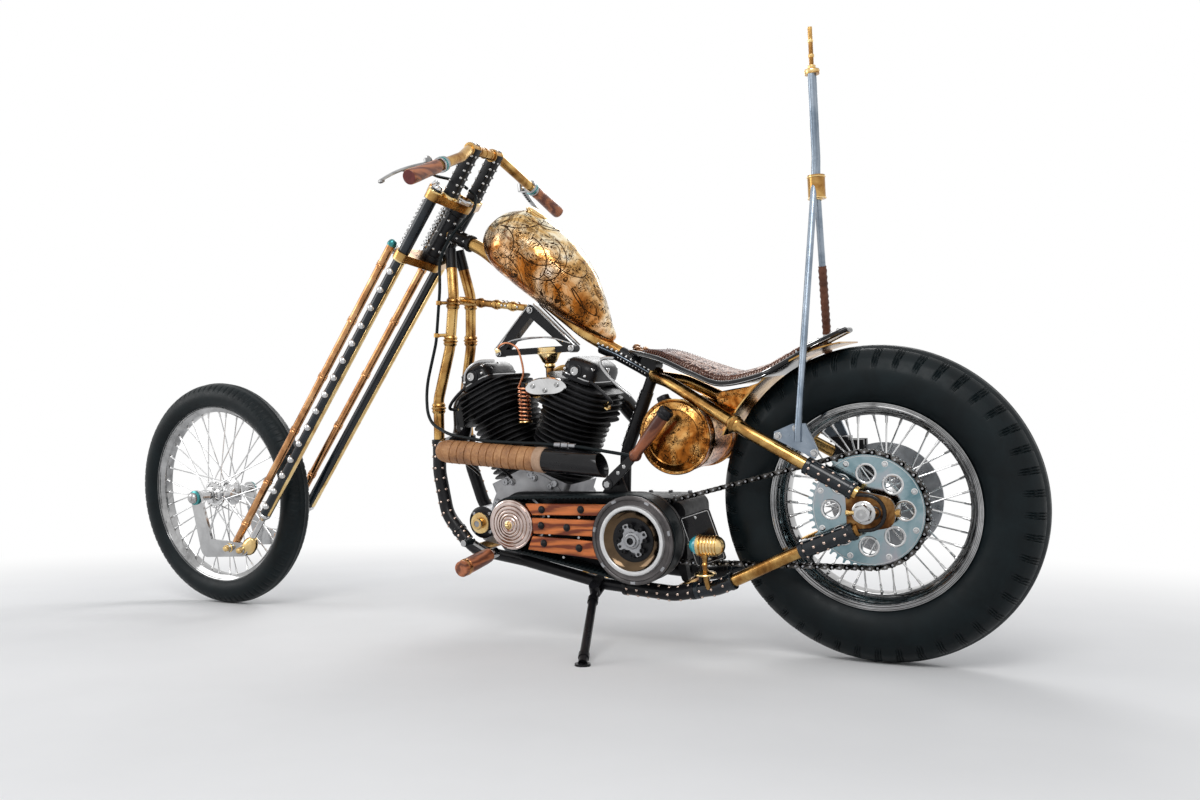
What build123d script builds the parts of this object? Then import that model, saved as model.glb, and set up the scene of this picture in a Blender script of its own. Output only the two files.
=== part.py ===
from build123d import *
import os
from math import acos, atan2, ceil, cos, degrees, floor, hypot, pi, radians, sin, sqrt, tan

# A rigid-frame custom chopper with a springer fork and an open belt primary, in mm.
# It is modelled upright: X forward, Y to its left, Z up, zero on the ground under the rear axle.
# At the end the whole machine is leaned onto its side stand.

# Stance
LEAN_DEG = 7.0
RAKE_DEG = 39.0
WHEELBASE = 2015.0
FIT = 0.05
SKIN = 0.3

# Rear wheel
REAR_TYRE_RADIUS = 343.0
REAR_TYRE_SECTION = 70.0
REAR_SIDEWALL = 121.0
REAR_RIM_RADIUS = REAR_TYRE_RADIUS - REAR_SIDEWALL
REAR_RIM_HALF = 52.0
REAR_HUB_RADIUS = 30.0
REAR_HUB_HALF = 76.0
REAR_FLANGE_RADIUS = 46.0
REAR_FLANGE_Y = 44.0
REAR_AXLE_RADIUS = 10.0

# Front wheel
FRONT_TYRE_RADIUS = 345.0
FRONT_TYRE_SECTION = 42.0
FRONT_SIDEWALL = 61.0
FRONT_RIM_RADIUS = FRONT_TYRE_RADIUS - FRONT_SIDEWALL
FRONT_RIM_HALF = 30.0
FRONT_HUB_RADIUS = 24.0
FRONT_HUB_HALF = 56.0
FRONT_FLANGE_RADIUS = 42.0
FRONT_FLANGE_Y = 34.0
FRONT_AXLE_RADIUS = 8.0

# Both rims and their spokes
RIM_WALL = 3.0
RIM_SEAT_DEPTH = 8.0
RIM_WELL_DEPTH = 24.0
FLANGE_THICKNESS = 5.0
SPOKE_COUNT = 40
SPOKE_RADIUS = 2.0
SPOKE_SIDES = 5
SPOKE_LEAD_DEG = 34.0

# Final drive
CHAIN_PITCH = 15.875
CHAIN_ROLLER_RADIUS = 5.1
CHAIN_PLATE_HALF = 6.5
CHAIN_PLATE_THICKNESS = 2.0
CHAIN_INNER_WIDTH = 8.0
CHAIN_Y = 90.0
SPROCKET_THICKNESS = 6.0
REAR_TEETH = 48
FRONT_TEETH = 24
TOOTH_HEIGHT = 4.5
ROLLER_ROOM = 0.5
SPROCKET_HOLES = 8
SPROCKET_HOLE_RADIUS = 17.0
SPROCKET_HOLE_CIRCLE = 76.0
DISC_Y = -88.0
DISC_RADIUS = 125.0
DISC_THICKNESS = 5.0

# Frame tubes
TUBE_RADIUS = 14.0
BACKBONE_RADIUS = 17.0
SLEEVE_WALL = 3.0
BEND_RADIUS = 90.0
HEAD_X = 1104.0
HEAD_Z = 1050.0
HEAD_LENGTH = 160.0
HEAD_RADIUS = 24.0
HEAD_CUP_RADIUS = 28.0
HEAD_CUP_HEIGHT = 14.0
AXLE_PLATE_Y = 124.0
AXLE_PLATE_THICKNESS = 8.0
PLATE_REACH = 38.5

# Springer fork: places along the steering axis (s, downwards) and ahead of it (d)
STEM_RADIUS = 14.0
CROWN_THICKNESS = 22.0
LEG_Y = 88.0
REAR_LEG_D = 24.0
FRONT_LEG_D = 69.0
REAR_LEG_RADIUS = 15.0
REAR_ROD_RADIUS = 9.0
FRONT_LEG_RADIUS = 11.0
REAR_LEG_END_S = 1122.0
FRONT_LEG_END_S = 1153.0
SPRING_Y = 45.0
SPRING_D = 66.0
SPRING_RADIUS = 13.0
SPRING_WIRE = 2.4
SPRING_TURNS = 9
ROCKER_Y = 98.0
ROCKER_THICKNESS = 8.0
RISER_Y = 50.0
RISER_RADIUS = 19.0
BAR_RADIUS = 12.7
GRIP_RADIUS = 18.0
GRIP_LENGTH = 125.0

# Engine
CRANK_X = 835.0
CRANK_Z = 304.0
CASE_RADIUS = 116.0
CASE_HALF = 78.0
VEE_HALF_DEG = 22.5
BARREL_START = 122.0
BARREL_LENGTH = 160.0
BARREL_RADIUS = 62.0
BARREL_FIN_RADIUS = 88.0
BARREL_FINS = 9
HEAD_BLOCK_LENGTH = 92.0
HEAD_BLOCK_HALF = 76.0
HEAD_FIN_HALF = 94.0
HEAD_FINS = 5
FIN_THICKNESS = 4.0
VEE_GAP = 1.5
GENERATOR_X = 985.0
GENERATOR_Z = 290.0
GENERATOR_RADIUS = 40.0
ROCKER_BOX_HEIGHT = 48.0

# Primary drive
SHAFT_X = 512.0
SHAFT_Z = 276.0
PRIMARY_PLATE_Y = 102.0
PRIMARY_PLATE_THICKNESS = 6.0
BELT_Y = 112.0
BELT_WIDTH = 46.0
BELT_THICKNESS = 7.0
FRONT_PULLEY_RADIUS = 59.0
CLUTCH_PULLEY_RADIUS = 96.0
COVER_Y = 162.0
COVER_RADIUS = 61.0
CLUTCH_RING_RADIUS = 101.0
SLAT_THICKNESS = 9.0
SLAT_GAP = 1.0

# Tanks, seat and exhaust
OIL_TANK_RISE = 159.5
OIL_TANK_GAP = 25.0
OIL_TANK_RADIUS = 87.0
OIL_TANK_HALF = 92.0
OIL_DOME = 20.0
PIPE_RADIUS = 24.0
WRAP_RADIUS = 29.0
FENDER_GAP = 9.0
FENDER_WALL = 3.0
FENDER_HALF = 80.0

ON_PLANE = (Align.CENTER, Align.CENTER, Align.MIN)
LEAN = radians(LEAN_DEG)
RAKE = radians(RAKE_DEG)

# The round tyre treads touch the ground at their sides, so the axles sit this high before the lean
REAR_AXLE_Z = REAR_TYRE_RADIUS - REAR_TYRE_SECTION + REAR_TYRE_SECTION / cos(LEAN)
FRONT_AXLE_Z = FRONT_TYRE_RADIUS - FRONT_TYRE_SECTION + FRONT_TYRE_SECTION / cos(LEAN)
REAR_AXLE = Vector(0, 0, REAR_AXLE_Z)
FRONT_AXLE = Vector(WHEELBASE, 0, FRONT_AXLE_Z)

# The oil tank lies just ahead of the rear tyre, a little above its axle
OIL_TANK_Z = REAR_AXLE_Z + OIL_TANK_RISE
OIL_TANK_X = sqrt((REAR_TYRE_RADIUS + OIL_TANK_GAP + OIL_TANK_RADIUS) ** 2 - OIL_TANK_RISE ** 2)
HEAD = Vector(HEAD_X, 0, HEAD_Z)
AXIS_DOWN = Vector(sin(RAKE), 0, -cos(RAKE))
AXIS_FRONT = Vector(cos(RAKE), 0, sin(RAKE))
PITCH_RADIUS_REAR = CHAIN_PITCH / (2 * sin(pi / REAR_TEETH))
PITCH_RADIUS_FRONT = CHAIN_PITCH / (2 * sin(pi / FRONT_TEETH))


def on_fork(s, d, y=0.0):
    """A point of the fork: s down the steering axis, d ahead of it, y to the left."""
    return HEAD + AXIS_DOWN * s + AXIS_FRONT * d + Vector(0, y, 0)


def mirror_y(shape):
    return mirror(shape, about=Plane.XZ)


def rod(start, end, radius):
    """A round bar between two points."""
    start = Vector(start)
    span = Vector(end) - start
    base = Plane(origin=start, z_dir=span)
    return base * Cylinder(radius, span.length, align=ON_PLANE)


def ring(start, end, radius, bore):
    """A round sleeve with a bore between two points."""
    return rod(start, end, radius) - rod(start, end, bore)


def bend_radii(points, wanted):
    """The wanted radius at each corner, or what its two runs leave room for."""
    points = [Vector(p) for p in points]
    radii = []
    for before, at, after in zip(points, points[1:], points[2:]):
        one, two = at - before, after - at
        half_turn = radians(one.get_angle(two)) / 2
        radii.append(min(wanted, 0.45 * min(one.length, two.length) / tan(half_turn)))
    return radii


def centre_line(points, wanted=BEND_RADIUS):
    points = [Vector(p) for p in points]
    if len(points) == 2:
        return Line(*points)
    return FilletPolyline(*points, radius=bend_radii(points, wanted))


def tube(points, radius, wanted=BEND_RADIUS):
    """A round bar along straight runs joined by tangent arcs."""
    path = centre_line(points, wanted)
    start = Plane(origin=path @ 0, z_dir=path % 0)
    return sweep(start * Circle(radius), path=path)


def slab(outline, y_low, y_high):
    """A side-view outline, a face in X and Z, given its thickness along Y."""
    return Plane(origin=(0, y_high, 0), x_dir=(1, 0, 0), z_dir=(0, -1, 0)) * extrude(outline, y_high - y_low)


def disc(x, z, radius, y_low, y_high):
    """A round plate or shaft that lies across the machine."""
    return rod((x, y_low, z), (x, y_high, z), radius)


def side_polygon(points):
    return make_face(Polyline(*[(x, z) for x, z in points], close=True))


def side_hull(circles):
    """The convex outline round circles (x, z, radius) in side view."""
    wires = []
    for x, z, radius in circles:
        wires.append((Pos(x, z) * Circle(radius)).edge())
    return make_hull(wires)


def turned(profile, x, z):
    """A profile of (radius, y) points turned about an axis across the machine."""
    face = make_face(Polyline(*[(radius, y) for radius, y in profile], close=True))
    solid = revolve(face, axis=Axis.Y)
    return Pos(x, 0, z) * solid


def midway(one, two, share=0.5):
    one, two = Vector(one), Vector(two)
    return one + (two - one) * share


# Wheels

def tyre(centre, radius, section, rim_radius, rim_half):
    """A round-section tyre that sits down on its rim's bead seat, between the rim's lips."""
    ring_centre = radius - section
    seat = rim_radius - RIM_SEAT_DEPTH
    round_section = Pos(ring_centre, 0) * Circle(section)
    inside = Pos(seat / 2, 0) * Rectangle(seat, 4 * section)
    profile = round_section - inside
    for side in (-1, 1):
        lip = Pos((seat + rim_radius) / 2, side * (rim_half - RIM_WALL + section))
        profile -= lip * Rectangle(rim_radius - seat, 2 * section)
    return Pos(centre.X, 0, centre.Z) * revolve(profile, axis=Axis.Y)


def rim_profile(rim_radius, half):
    """Half of a stepped drop-centre rim section, as (radius, y) points, from its middle outwards."""
    seat = rim_radius - RIM_SEAT_DEPTH
    well = rim_radius - RIM_WELL_DEPTH
    outer = [(well, 0), (well, half * 0.34), (seat, half * 0.58), (seat, half - RIM_WALL),
             (rim_radius, half - RIM_WALL), (rim_radius, half)]
    inner = [(seat - RIM_WALL, half), (seat - RIM_WALL, half * 0.64), (well - RIM_WALL, half * 0.40),
             (well - RIM_WALL, 0)]
    return outer, inner


def wire_wheel(centre, rim_radius, half, hub_radius, hub_half, flange_radius, flange_y, bore):
    """A stepped rim, a flanged hub and crossed spokes between them."""
    outer, inner = rim_profile(rim_radius, half)
    section = outer + inner
    mirrored = [(r, -y) for r, y in section]
    rim = turned(section, centre.X, centre.Z) + turned(mirrored, centre.X, centre.Z)
    hub = disc(centre.X, centre.Z, hub_radius, -hub_half, hub_half)
    for side in (-1, 1):
        low = side * flange_y - FLANGE_THICKNESS / 2
        hub += disc(centre.X, centre.Z, flange_radius, low, low + FLANGE_THICKNESS)
    spokes = []
    rim_reach = rim_radius - RIM_WELL_DEPTH - RIM_WALL / 2
    hub_reach = flange_radius - SPOKE_RADIUS * 2
    for i in range(SPOKE_COUNT):
        side = 1 if i % 2 else -1
        lead = SPOKE_LEAD_DEG if (i // 2) % 2 else -SPOKE_LEAD_DEG
        at_rim = radians(360 / SPOKE_COUNT * i)
        at_hub = at_rim + radians(lead)
        start = Vector(hub_reach * cos(at_hub), side * flange_y, hub_reach * sin(at_hub)) + centre
        end = Vector(rim_reach * cos(at_rim), side * half * 0.12, rim_reach * sin(at_rim)) + centre
        base = Plane(origin=start, z_dir=end - start)
        spokes.append(base * extrude(RegularPolygon(SPOKE_RADIUS, SPOKE_SIDES), (end - start).length))
    wheel = rim.fuse(hub, *spokes)
    return wheel - disc(centre.X, centre.Z, bore + FIT, -hub_half - 1, hub_half + 1)


def sprocket_face(teeth, pitch_radius):
    """A toothed outline: each gullet is a round seat for one chain roller."""
    seat = CHAIN_ROLLER_RADIUS + ROLLER_ROOM
    blank = Circle(pitch_radius + TOOTH_HEIGHT)
    cutters = []
    for i in range(teeth):
        angle = 360 / teeth * i
        gullet = Pos(pitch_radius, 0) * Circle(seat)
        mouth = Pos(pitch_radius, 0) * Polygon((0, -seat), (12, -seat - 2.2), (12, seat + 2.2), (0, seat),
                                               align=None)
        cutters.append(Rot(0, 0, angle) * (gullet + mouth))
    return blank - cutters


def rear_sprocket():
    face = sprocket_face(REAR_TEETH, PITCH_RADIUS_REAR)
    for i in range(SPROCKET_HOLES):
        hole = Pos(SPROCKET_HOLE_CIRCLE, 0) * Circle(SPROCKET_HOLE_RADIUS)
        face -= Rot(0, 0, 360 / SPROCKET_HOLES * i) * hole
    face -= Circle(REAR_AXLE_RADIUS + 6)
    low = CHAIN_Y - SPROCKET_THICKNESS / 2
    plate = slab(face, low, low + SPROCKET_THICKNESS)
    boss = disc(0, 0, REAR_FLANGE_RADIUS, REAR_HUB_HALF, low) - disc(0, 0, REAR_AXLE_RADIUS + 6, 0, low + 1)
    return Pos(0, 0, REAR_AXLE_Z) * (plate + boss)


def brake_disc():
    """The brake rotor on the wheel's right side, with its carrier."""
    face = Circle(DISC_RADIUS) - Circle(REAR_AXLE_RADIUS + 6)
    for i in range(6):
        face -= Rot(0, 0, 60 * i) * Pos(70, 0) * Circle(16)
    plate = slab(face, DISC_Y - DISC_THICKNESS / 2, DISC_Y + DISC_THICKNESS / 2)
    boss = disc(0, 0, REAR_FLANGE_RADIUS, DISC_Y + DISC_THICKNESS / 2, -REAR_HUB_HALF)
    boss -= disc(0, 0, REAR_AXLE_RADIUS + 6, DISC_Y, -REAR_HUB_HALF + 1)
    return Pos(0, 0, REAR_AXLE_Z) * (plate + boss)


AXLE_NUT_RADIUS = 19.0
AXLE_NUT_HEIGHT = 16.0


def rear_axle():
    """The through axle with its spacers and end nuts; the wheel turns on it."""
    end = AXLE_PLATE_Y + AXLE_PLATE_THICKNESS / 2
    axle = disc(0, REAR_AXLE_Z, REAR_AXLE_RADIUS, -end - 26, end + 26)
    for side in (-1, 1):
        inner = abs(CHAIN_Y) + SPROCKET_THICKNESS / 2 + 1.5
        outer = AXLE_PLATE_Y - AXLE_PLATE_THICKNESS / 2
        axle += disc(0, REAR_AXLE_Z, 15, min(side * inner, side * outer), max(side * inner, side * outer))
        face = Plane(origin=(0, side * end, REAR_AXLE_Z), z_dir=(0, side, 0))
        nut = face * extrude(RegularPolygon(AXLE_NUT_RADIUS, 6), AXLE_NUT_HEIGHT)
        axle += nut
    return axle


# Frame

BACKBONE_POINTS = [(1092, 0, 1052), (985, 0, 997), (690, 0, 757), (560, 0, 680), (498, 0, 644)]
CRADLE = {  # name: (x, y, z) on the left side
    "neck": (1074, 18, 1004),
    "upper": (1058, 38, 880),
    "knuckle": (1074, 47, 742),
    "belly": (1112, 58, 610),
    "low": (1112, 72, 420),
    "turn": (1085, 84, 310),
    "toe": (1000, 96, 224),
    "front rail": (840, 107, 205),
    "mid rail": (620, 110, 160),
    "rear rail": (440, 110, 147),
    "heel": (330, 114, 168),
    "stay": (137, 124, REAR_AXLE_Z - 85.5),
    "plate": (12, 124, REAR_AXLE_Z - PLATE_REACH + 4),
}
SEAT_STAY_POINTS = [(506, 12, 641), (452, 52, 628), (244, 120, REAR_AXLE_Z + 170.5),
                    (124, 124, REAR_AXLE_Z + 102.5), (12, 124, REAR_AXLE_Z + PLATE_REACH)]
SEAT_POST_POINTS = [(512, 0, 650), (598, 0, 458), (622, 0, 160)]


def backbone():
    return tube(BACKBONE_POINTS, BACKBONE_RADIUS, 260)


def headstock():
    top, bottom = -HEAD_LENGTH / 2, HEAD_LENGTH / 2
    neck = rod(on_fork(top, 0), on_fork(bottom, 0), HEAD_RADIUS)
    neck += rod(on_fork(top, 0), on_fork(top + HEAD_CUP_HEIGHT, 0), HEAD_CUP_RADIUS)
    neck += rod(on_fork(bottom - HEAD_CUP_HEIGHT, 0), on_fork(bottom, 0), HEAD_CUP_RADIUS)
    return neck


def head_bore():
    return rod(on_fork(-HEAD_LENGTH, 0), on_fork(HEAD_LENGTH, 0), STEM_RADIUS + FIT)


def sleeve(points, radius):
    """A riveted sleeve pulled over a tube, with a raised band at each end."""
    points = [Vector(p) for p in points]
    body = tube(points, radius)
    first = (points[1] - points[0]).normalized()
    last = (points[-1] - points[-2]).normalized()
    body += rod(points[0], points[0] + first * 8, radius + 1.5)
    body += rod(points[-1] - last * 8, points[-1], radius + 1.5)
    return body


def knuckle(at, along, radius):
    """A ringed joint on a tube, like a bamboo node."""
    at, along = Vector(at), Vector(along).normalized()
    piece = rod(at - along * 9, at + along * 9, radius + 3.5)
    piece += rod(at - along * 3, at + along * 3, radius + 6)
    return piece


def downtube():
    names = ["neck", "upper", "knuckle", "belly", "low", "turn"]
    points = [CRADLE[n] for n in names] + [midway(CRADLE["turn"], CRADLE["toe"])]
    body = tube(points, TUBE_RADIUS)
    for share in (0.15, 0.85):
        at = midway(CRADLE["upper"], CRADLE["knuckle"], share)
        body += knuckle(at, Vector(CRADLE["knuckle"]) - Vector(CRADLE["upper"]), TUBE_RADIUS)
    start = midway(CRADLE["belly"], CRADLE["low"], 0.55)
    body += sleeve([start, CRADLE["low"], CRADLE["turn"], points[-1]], TUBE_RADIUS + SLEEVE_WALL)
    return body


def lower_rail():
    names = ["toe", "front rail", "mid rail", "rear rail"]
    start = midway(CRADLE["turn"], CRADLE["toe"])
    end = midway(CRADLE["rear rail"], CRADLE["heel"])
    body = tube([start] + [CRADLE[n] for n in names] + [end], TUBE_RADIUS)
    body += sleeve([midway(CRADLE["mid rail"], CRADLE["rear rail"], 0.3), CRADLE["rear rail"], end],
                   TUBE_RADIUS + SLEEVE_WALL)
    return body


def chain_stay():
    start = midway(CRADLE["rear rail"], CRADLE["heel"])
    body = tube([start, CRADLE["heel"], CRADLE["stay"], CRADLE["plate"]], TUBE_RADIUS)
    beyond = midway(CRADLE["heel"], CRADLE["stay"], 0.2)
    body += sleeve([start, CRADLE["heel"], beyond], TUBE_RADIUS + SLEEVE_WALL)
    body += sleeve([CRADLE["stay"], midway(CRADLE["stay"], CRADLE["plate"], 0.75)], TUBE_RADIUS + SLEEVE_WALL)
    return body


def seat_stay():
    body = tube(SEAT_STAY_POINTS, TUBE_RADIUS)
    run = Vector(SEAT_STAY_POINTS[2]) - Vector(SEAT_STAY_POINTS[1])
    body += knuckle(midway(SEAT_STAY_POINTS[1], SEAT_STAY_POINTS[2], 0.86), run, TUBE_RADIUS)
    end = midway(SEAT_STAY_POINTS[3], SEAT_STAY_POINTS[4], 0.75)
    body += sleeve([midway(SEAT_STAY_POINTS[3], SEAT_STAY_POINTS[4], 0.06), end], TUBE_RADIUS + SLEEVE_WALL)
    return body


def axle_plate():
    outline = side_hull([(-38, REAR_AXLE_Z + 10, 24), (-38, REAR_AXLE_Z - 8, 24), (22, REAR_AXLE_Z + 34, 14),
                         (22, REAR_AXLE_Z - 30, 14)])
    plate = slab(outline, AXLE_PLATE_Y - AXLE_PLATE_THICKNESS / 2, AXLE_PLATE_Y + AXLE_PLATE_THICKNESS / 2)
    slot = side_hull([(-16, REAR_AXLE_Z, REAR_AXLE_RADIUS + FIT), (16, REAR_AXLE_Z, REAR_AXLE_RADIUS + FIT)])
    return plate - slab(slot, AXLE_PLATE_Y - 20, AXLE_PLATE_Y + 20)


# Fork

def rear_leg():
    joint_s = REAR_LEG_END_S - 130
    top_s = -HEAD_LENGTH / 2 - CROWN_THICKNESS - 10
    leg = rod(on_fork(top_s, REAR_LEG_D, LEG_Y), on_fork(joint_s, REAR_LEG_D, LEG_Y), REAR_LEG_RADIUS)
    foot = on_fork(REAR_LEG_END_S, REAR_LEG_D, LEG_Y)
    leg += rod(on_fork(joint_s, REAR_LEG_D, LEG_Y), foot, REAR_ROD_RADIUS)
    eye = on_fork(REAR_LEG_END_S, REAR_LEG_D)
    leg += disc(eye.X, eye.Z, 16, LEG_Y - 8, LEG_Y + 8)
    return leg


def front_leg():
    top_s = HEAD_LENGTH / 2 + 8
    foot = on_fork(FRONT_LEG_END_S, FRONT_LEG_D, LEG_Y)
    leg = rod(on_fork(top_s, FRONT_LEG_D, LEG_Y), foot, FRONT_LEG_RADIUS)
    leg += on_plane(on_fork(top_s, FRONT_LEG_D, LEG_Y), AXIS_DOWN) * Sphere(FRONT_LEG_RADIUS + 2)
    eye = on_fork(FRONT_LEG_END_S, FRONT_LEG_D)
    leg += disc(eye.X, eye.Z, 14, LEG_Y - 8, LEG_Y + 8)
    return leg


def on_plane(origin, z_dir):
    return Plane(origin=origin, z_dir=z_dir)


def crown_face(circles):
    """The convex outline round circles (y, d, radius) on a plane across the steering axis."""
    return make_hull([(Pos(y, d) * Circle(radius)).edge() for y, d, radius in circles])


def crown(s_low, outline):
    base = Plane(origin=on_fork(s_low, 0), x_dir=(0, 1, 0), z_dir=AXIS_DOWN)
    turn = 1 if (base.y_dir - AXIS_FRONT).length < 1 else -1
    return base * extrude(scale(outline, by=(1, turn, 1)), CROWN_THICKNESS)


def upper_crown():
    s_low = -HEAD_LENGTH / 2 - SKIN - CROWN_THICKNESS
    legs = crown_face([(-LEG_Y, REAR_LEG_D, 21), (LEG_Y, REAR_LEG_D, 21), (0, 0, 32)])
    tongue = crown_face([(-SPRING_Y, SPRING_D, 14), (SPRING_Y, SPRING_D, 14), (0, 0, 24)])
    return crown(s_low, legs + tongue)


def lower_crown():
    s_low = HEAD_LENGTH / 2 + SKIN
    legs = crown_face([(-LEG_Y, REAR_LEG_D, 21), (LEG_Y, REAR_LEG_D, 21), (0, 0, 32)])
    body = crown(s_low, legs)
    stem_top = -HEAD_LENGTH / 2 - CROWN_THICKNESS - 16
    return body + rod(on_fork(stem_top, 0), on_fork(s_low + 2, 0), STEM_RADIUS)


def spring_bridge():
    """The bar across the tops of the front legs that the springs stand on."""
    s_mid = HEAD_LENGTH / 2 + 24
    bridge = rod(on_fork(s_mid, FRONT_LEG_D, -LEG_Y), on_fork(s_mid, FRONT_LEG_D, LEG_Y), 9)
    for y in (-SPRING_Y, SPRING_Y):
        bridge += rod(on_fork(s_mid - 12, SPRING_D, y), on_fork(s_mid + 8, SPRING_D, y), 15)
    return bridge


def fork_springs():
    """Two coil springs on their rods, turned as ridged columns."""
    top = -HEAD_LENGTH / 2
    bottom = HEAD_LENGTH / 2 + 24 - 12
    turn = (bottom - top) / SPRING_TURNS
    groove = SPRING_RADIUS - SPRING_WIRE * 1.6
    profile = [(0, 0)]
    for i in range(SPRING_TURNS):
        profile += [(groove, turn * i), (SPRING_RADIUS, turn * (i + 0.35))]
        profile.append((SPRING_RADIUS, turn * (i + 0.65)))
    profile += [(groove, turn * SPRING_TURNS), (0, turn * SPRING_TURNS)]
    column = revolve(make_face(Polyline(*profile, close=True)), axis=Axis.Y)
    upright = Rot(90, 0, 0) * column
    springs = []
    for y in (-SPRING_Y, SPRING_Y):
        springs.append(Plane(origin=on_fork(top, SPRING_D, y), z_dir=AXIS_DOWN) * upright)
    return springs


def rocker():
    """The long bent rocker that carries the wheel ahead of the two legs."""
    rear = on_fork(REAR_LEG_END_S, REAR_LEG_D)
    front = on_fork(FRONT_LEG_END_S, FRONT_LEG_D)
    elbow = (WHEELBASE - 36, front.Z - 4)
    arm = side_hull([(rear.X, rear.Z, 20), (elbow[0], elbow[1], 28)])
    reach = side_hull([(elbow[0], elbow[1], 28), (WHEELBASE, FRONT_AXLE_Z, 22)])
    outline = arm + reach
    plate = slab(outline, ROCKER_Y, ROCKER_Y + ROCKER_THICKNESS)
    for pin, radius in ((rear, 8), (front, 7)):
        plate += disc(pin.X, pin.Z, radius, LEG_Y + 8, ROCKER_Y)
        plate += disc(pin.X, pin.Z, radius + 5, ROCKER_Y + ROCKER_THICKNESS, ROCKER_Y + ROCKER_THICKNESS + 9)
    return plate


AXLE_STUB = 22.0
HUB_GAP = 1.5
AXLE_SPACER_RADIUS = 13.0
AXLE_HEAD_RADIUS = 15.0
AXLE_HEAD = 10.0


def front_axle():
    end = ROCKER_Y + ROCKER_THICKNESS
    stub = end + AXLE_STUB
    axle = disc(WHEELBASE, FRONT_AXLE_Z, FRONT_AXLE_RADIUS, -stub, stub)
    for side in (-1, 1):
        low, high = sorted((side * (FRONT_HUB_HALF + HUB_GAP), side * ROCKER_Y))
        axle += disc(WHEELBASE, FRONT_AXLE_Z, AXLE_SPACER_RADIUS, low, high)
        low, high = sorted((side * end, side * (end + AXLE_HEAD)))
        axle += disc(WHEELBASE, FRONT_AXLE_Z, AXLE_HEAD_RADIUS, low, high)
    return axle


BAR_CENTRE_S = -239.0
BAR_D = 11.0
BAR_POINTS = [(944, 335, 1129), (950, 118, 1212), (962, 62, 1243)]
BAR_BEND = 40.0
GRIP_OVERHANG = 3.0
RISER_FOOT_D = 5.0
RISER_SINK = 4.0
LEVER_GAP = 2.0
LEVER_CLAMP_LENGTH = 24.0
LEVER_CLAMP_WALL = 6.0
LEVER_ARM = Vector(8, 0, 2)
LEVER_ROOT = Vector(36, 4, 8)
LEVER_BLADE = Vector(24, 150, -62)
LEVER_ARM_RADIUS = 8.0
LEVER_BLADE_RADIUS = 6.0
LEVER_BULB_RADIUS = 8.0


def handlebar():
    left = [Vector(*p) for p in BAR_POINTS]
    right = [Vector(p.X, -p.Y, p.Z) for p in reversed(left)]
    return tube(left + right, BAR_RADIUS, BAR_BEND)


def bar_end():
    """The bar's left end, and the direction from it along the grip."""
    end, inner = Vector(*BAR_POINTS[0]), Vector(*BAR_POINTS[1])
    return end, (inner - end).normalized()


def grip():
    end, inward = bar_end()
    start = end - inward * GRIP_OVERHANG
    return rod(start, start + inward * GRIP_LENGTH, GRIP_RADIUS)


def riser():
    base_s = -HEAD_LENGTH / 2 - SKIN - CROWN_THICKNESS
    top = on_fork(BAR_CENTRE_S - BAR_RADIUS + RISER_SINK, BAR_D, RISER_Y)
    return rod(on_fork(base_s, RISER_FOOT_D, RISER_Y), top, RISER_RADIUS)


def lever():
    """A clamp on the bar with a long blade that runs out ahead of the grip."""
    end, inward = bar_end()
    clamp_at = end + inward * (GRIP_LENGTH + LEVER_GAP)
    body = rod(clamp_at, clamp_at + inward * LEVER_CLAMP_LENGTH, BAR_RADIUS + LEVER_CLAMP_WALL)
    mid = clamp_at + inward * (LEVER_CLAMP_LENGTH / 2)
    root = mid + LEVER_ROOT
    tip = root + LEVER_BLADE
    body += rod(mid + LEVER_ARM, root, LEVER_ARM_RADIUS)
    body += rod(root, tip, LEVER_BLADE_RADIUS)
    return body + Pos(*tip) * Sphere(LEVER_BULB_RADIUS)


# Engine

HEAD_BLOCK_CORNER = 30.0
HEAD_FIN_CORNER = 50.0
ROCKER_BOX_WIDTH = 92.0
ROCKER_BOX_CORNER = 22.0
BEYOND = 1400.0
PUSHROD_Y = -86.0
PUSHROD_RADIUS = 7.5
PUSHROD_FOOT_RADIUS = 12.0
PUSHROD_FOOT = 20.0
PUSHROD_TOP_S = 366.0
PUSHRODS = [  # ahead of the crank and above it at the foot, across the cylinder's middle at the top
    (14, 88, -24),
    (48, 74, -2),
]


def cylinder_plane(side, s=0.0):
    """The plane across a cylinder at distance s from the crank; side is +1 for the front one."""
    lean = radians(VEE_HALF_DEG) * side
    up = Vector(sin(lean), 0, cos(lean))
    return Plane(origin=Vector(CRANK_X, 0, CRANK_Z) + up * s, x_dir=(0, 1, 0), z_dir=up)


def lathed(at, along, profile):
    """A turned solid from (radius, distance) points, about the line along from a place."""
    solid = revolve(make_face(Polyline(*profile, close=True)), axis=Axis.Y)
    return Plane(origin=at, z_dir=along) * (Rot(90, 0, 0) * solid)


def barrel(side):
    """A finned barrel turned from one comb-shaped profile."""
    gap = BARREL_LENGTH / BARREL_FINS
    points = [(0, 0), (BARREL_RADIUS, 0)]
    for i in range(BARREL_FINS):
        low = gap * i + gap - FIN_THICKNESS
        points += [(BARREL_RADIUS, low), (BARREL_FIN_RADIUS, low), (BARREL_FIN_RADIUS, low + FIN_THICKNESS)]
        if i < BARREL_FINS - 1:
            points.append((BARREL_RADIUS, low + FIN_THICKNESS))
    points.append((0, BARREL_LENGTH))
    base = cylinder_plane(side, BARREL_START)
    return lathed(base.origin, base.z_dir, points)


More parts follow.
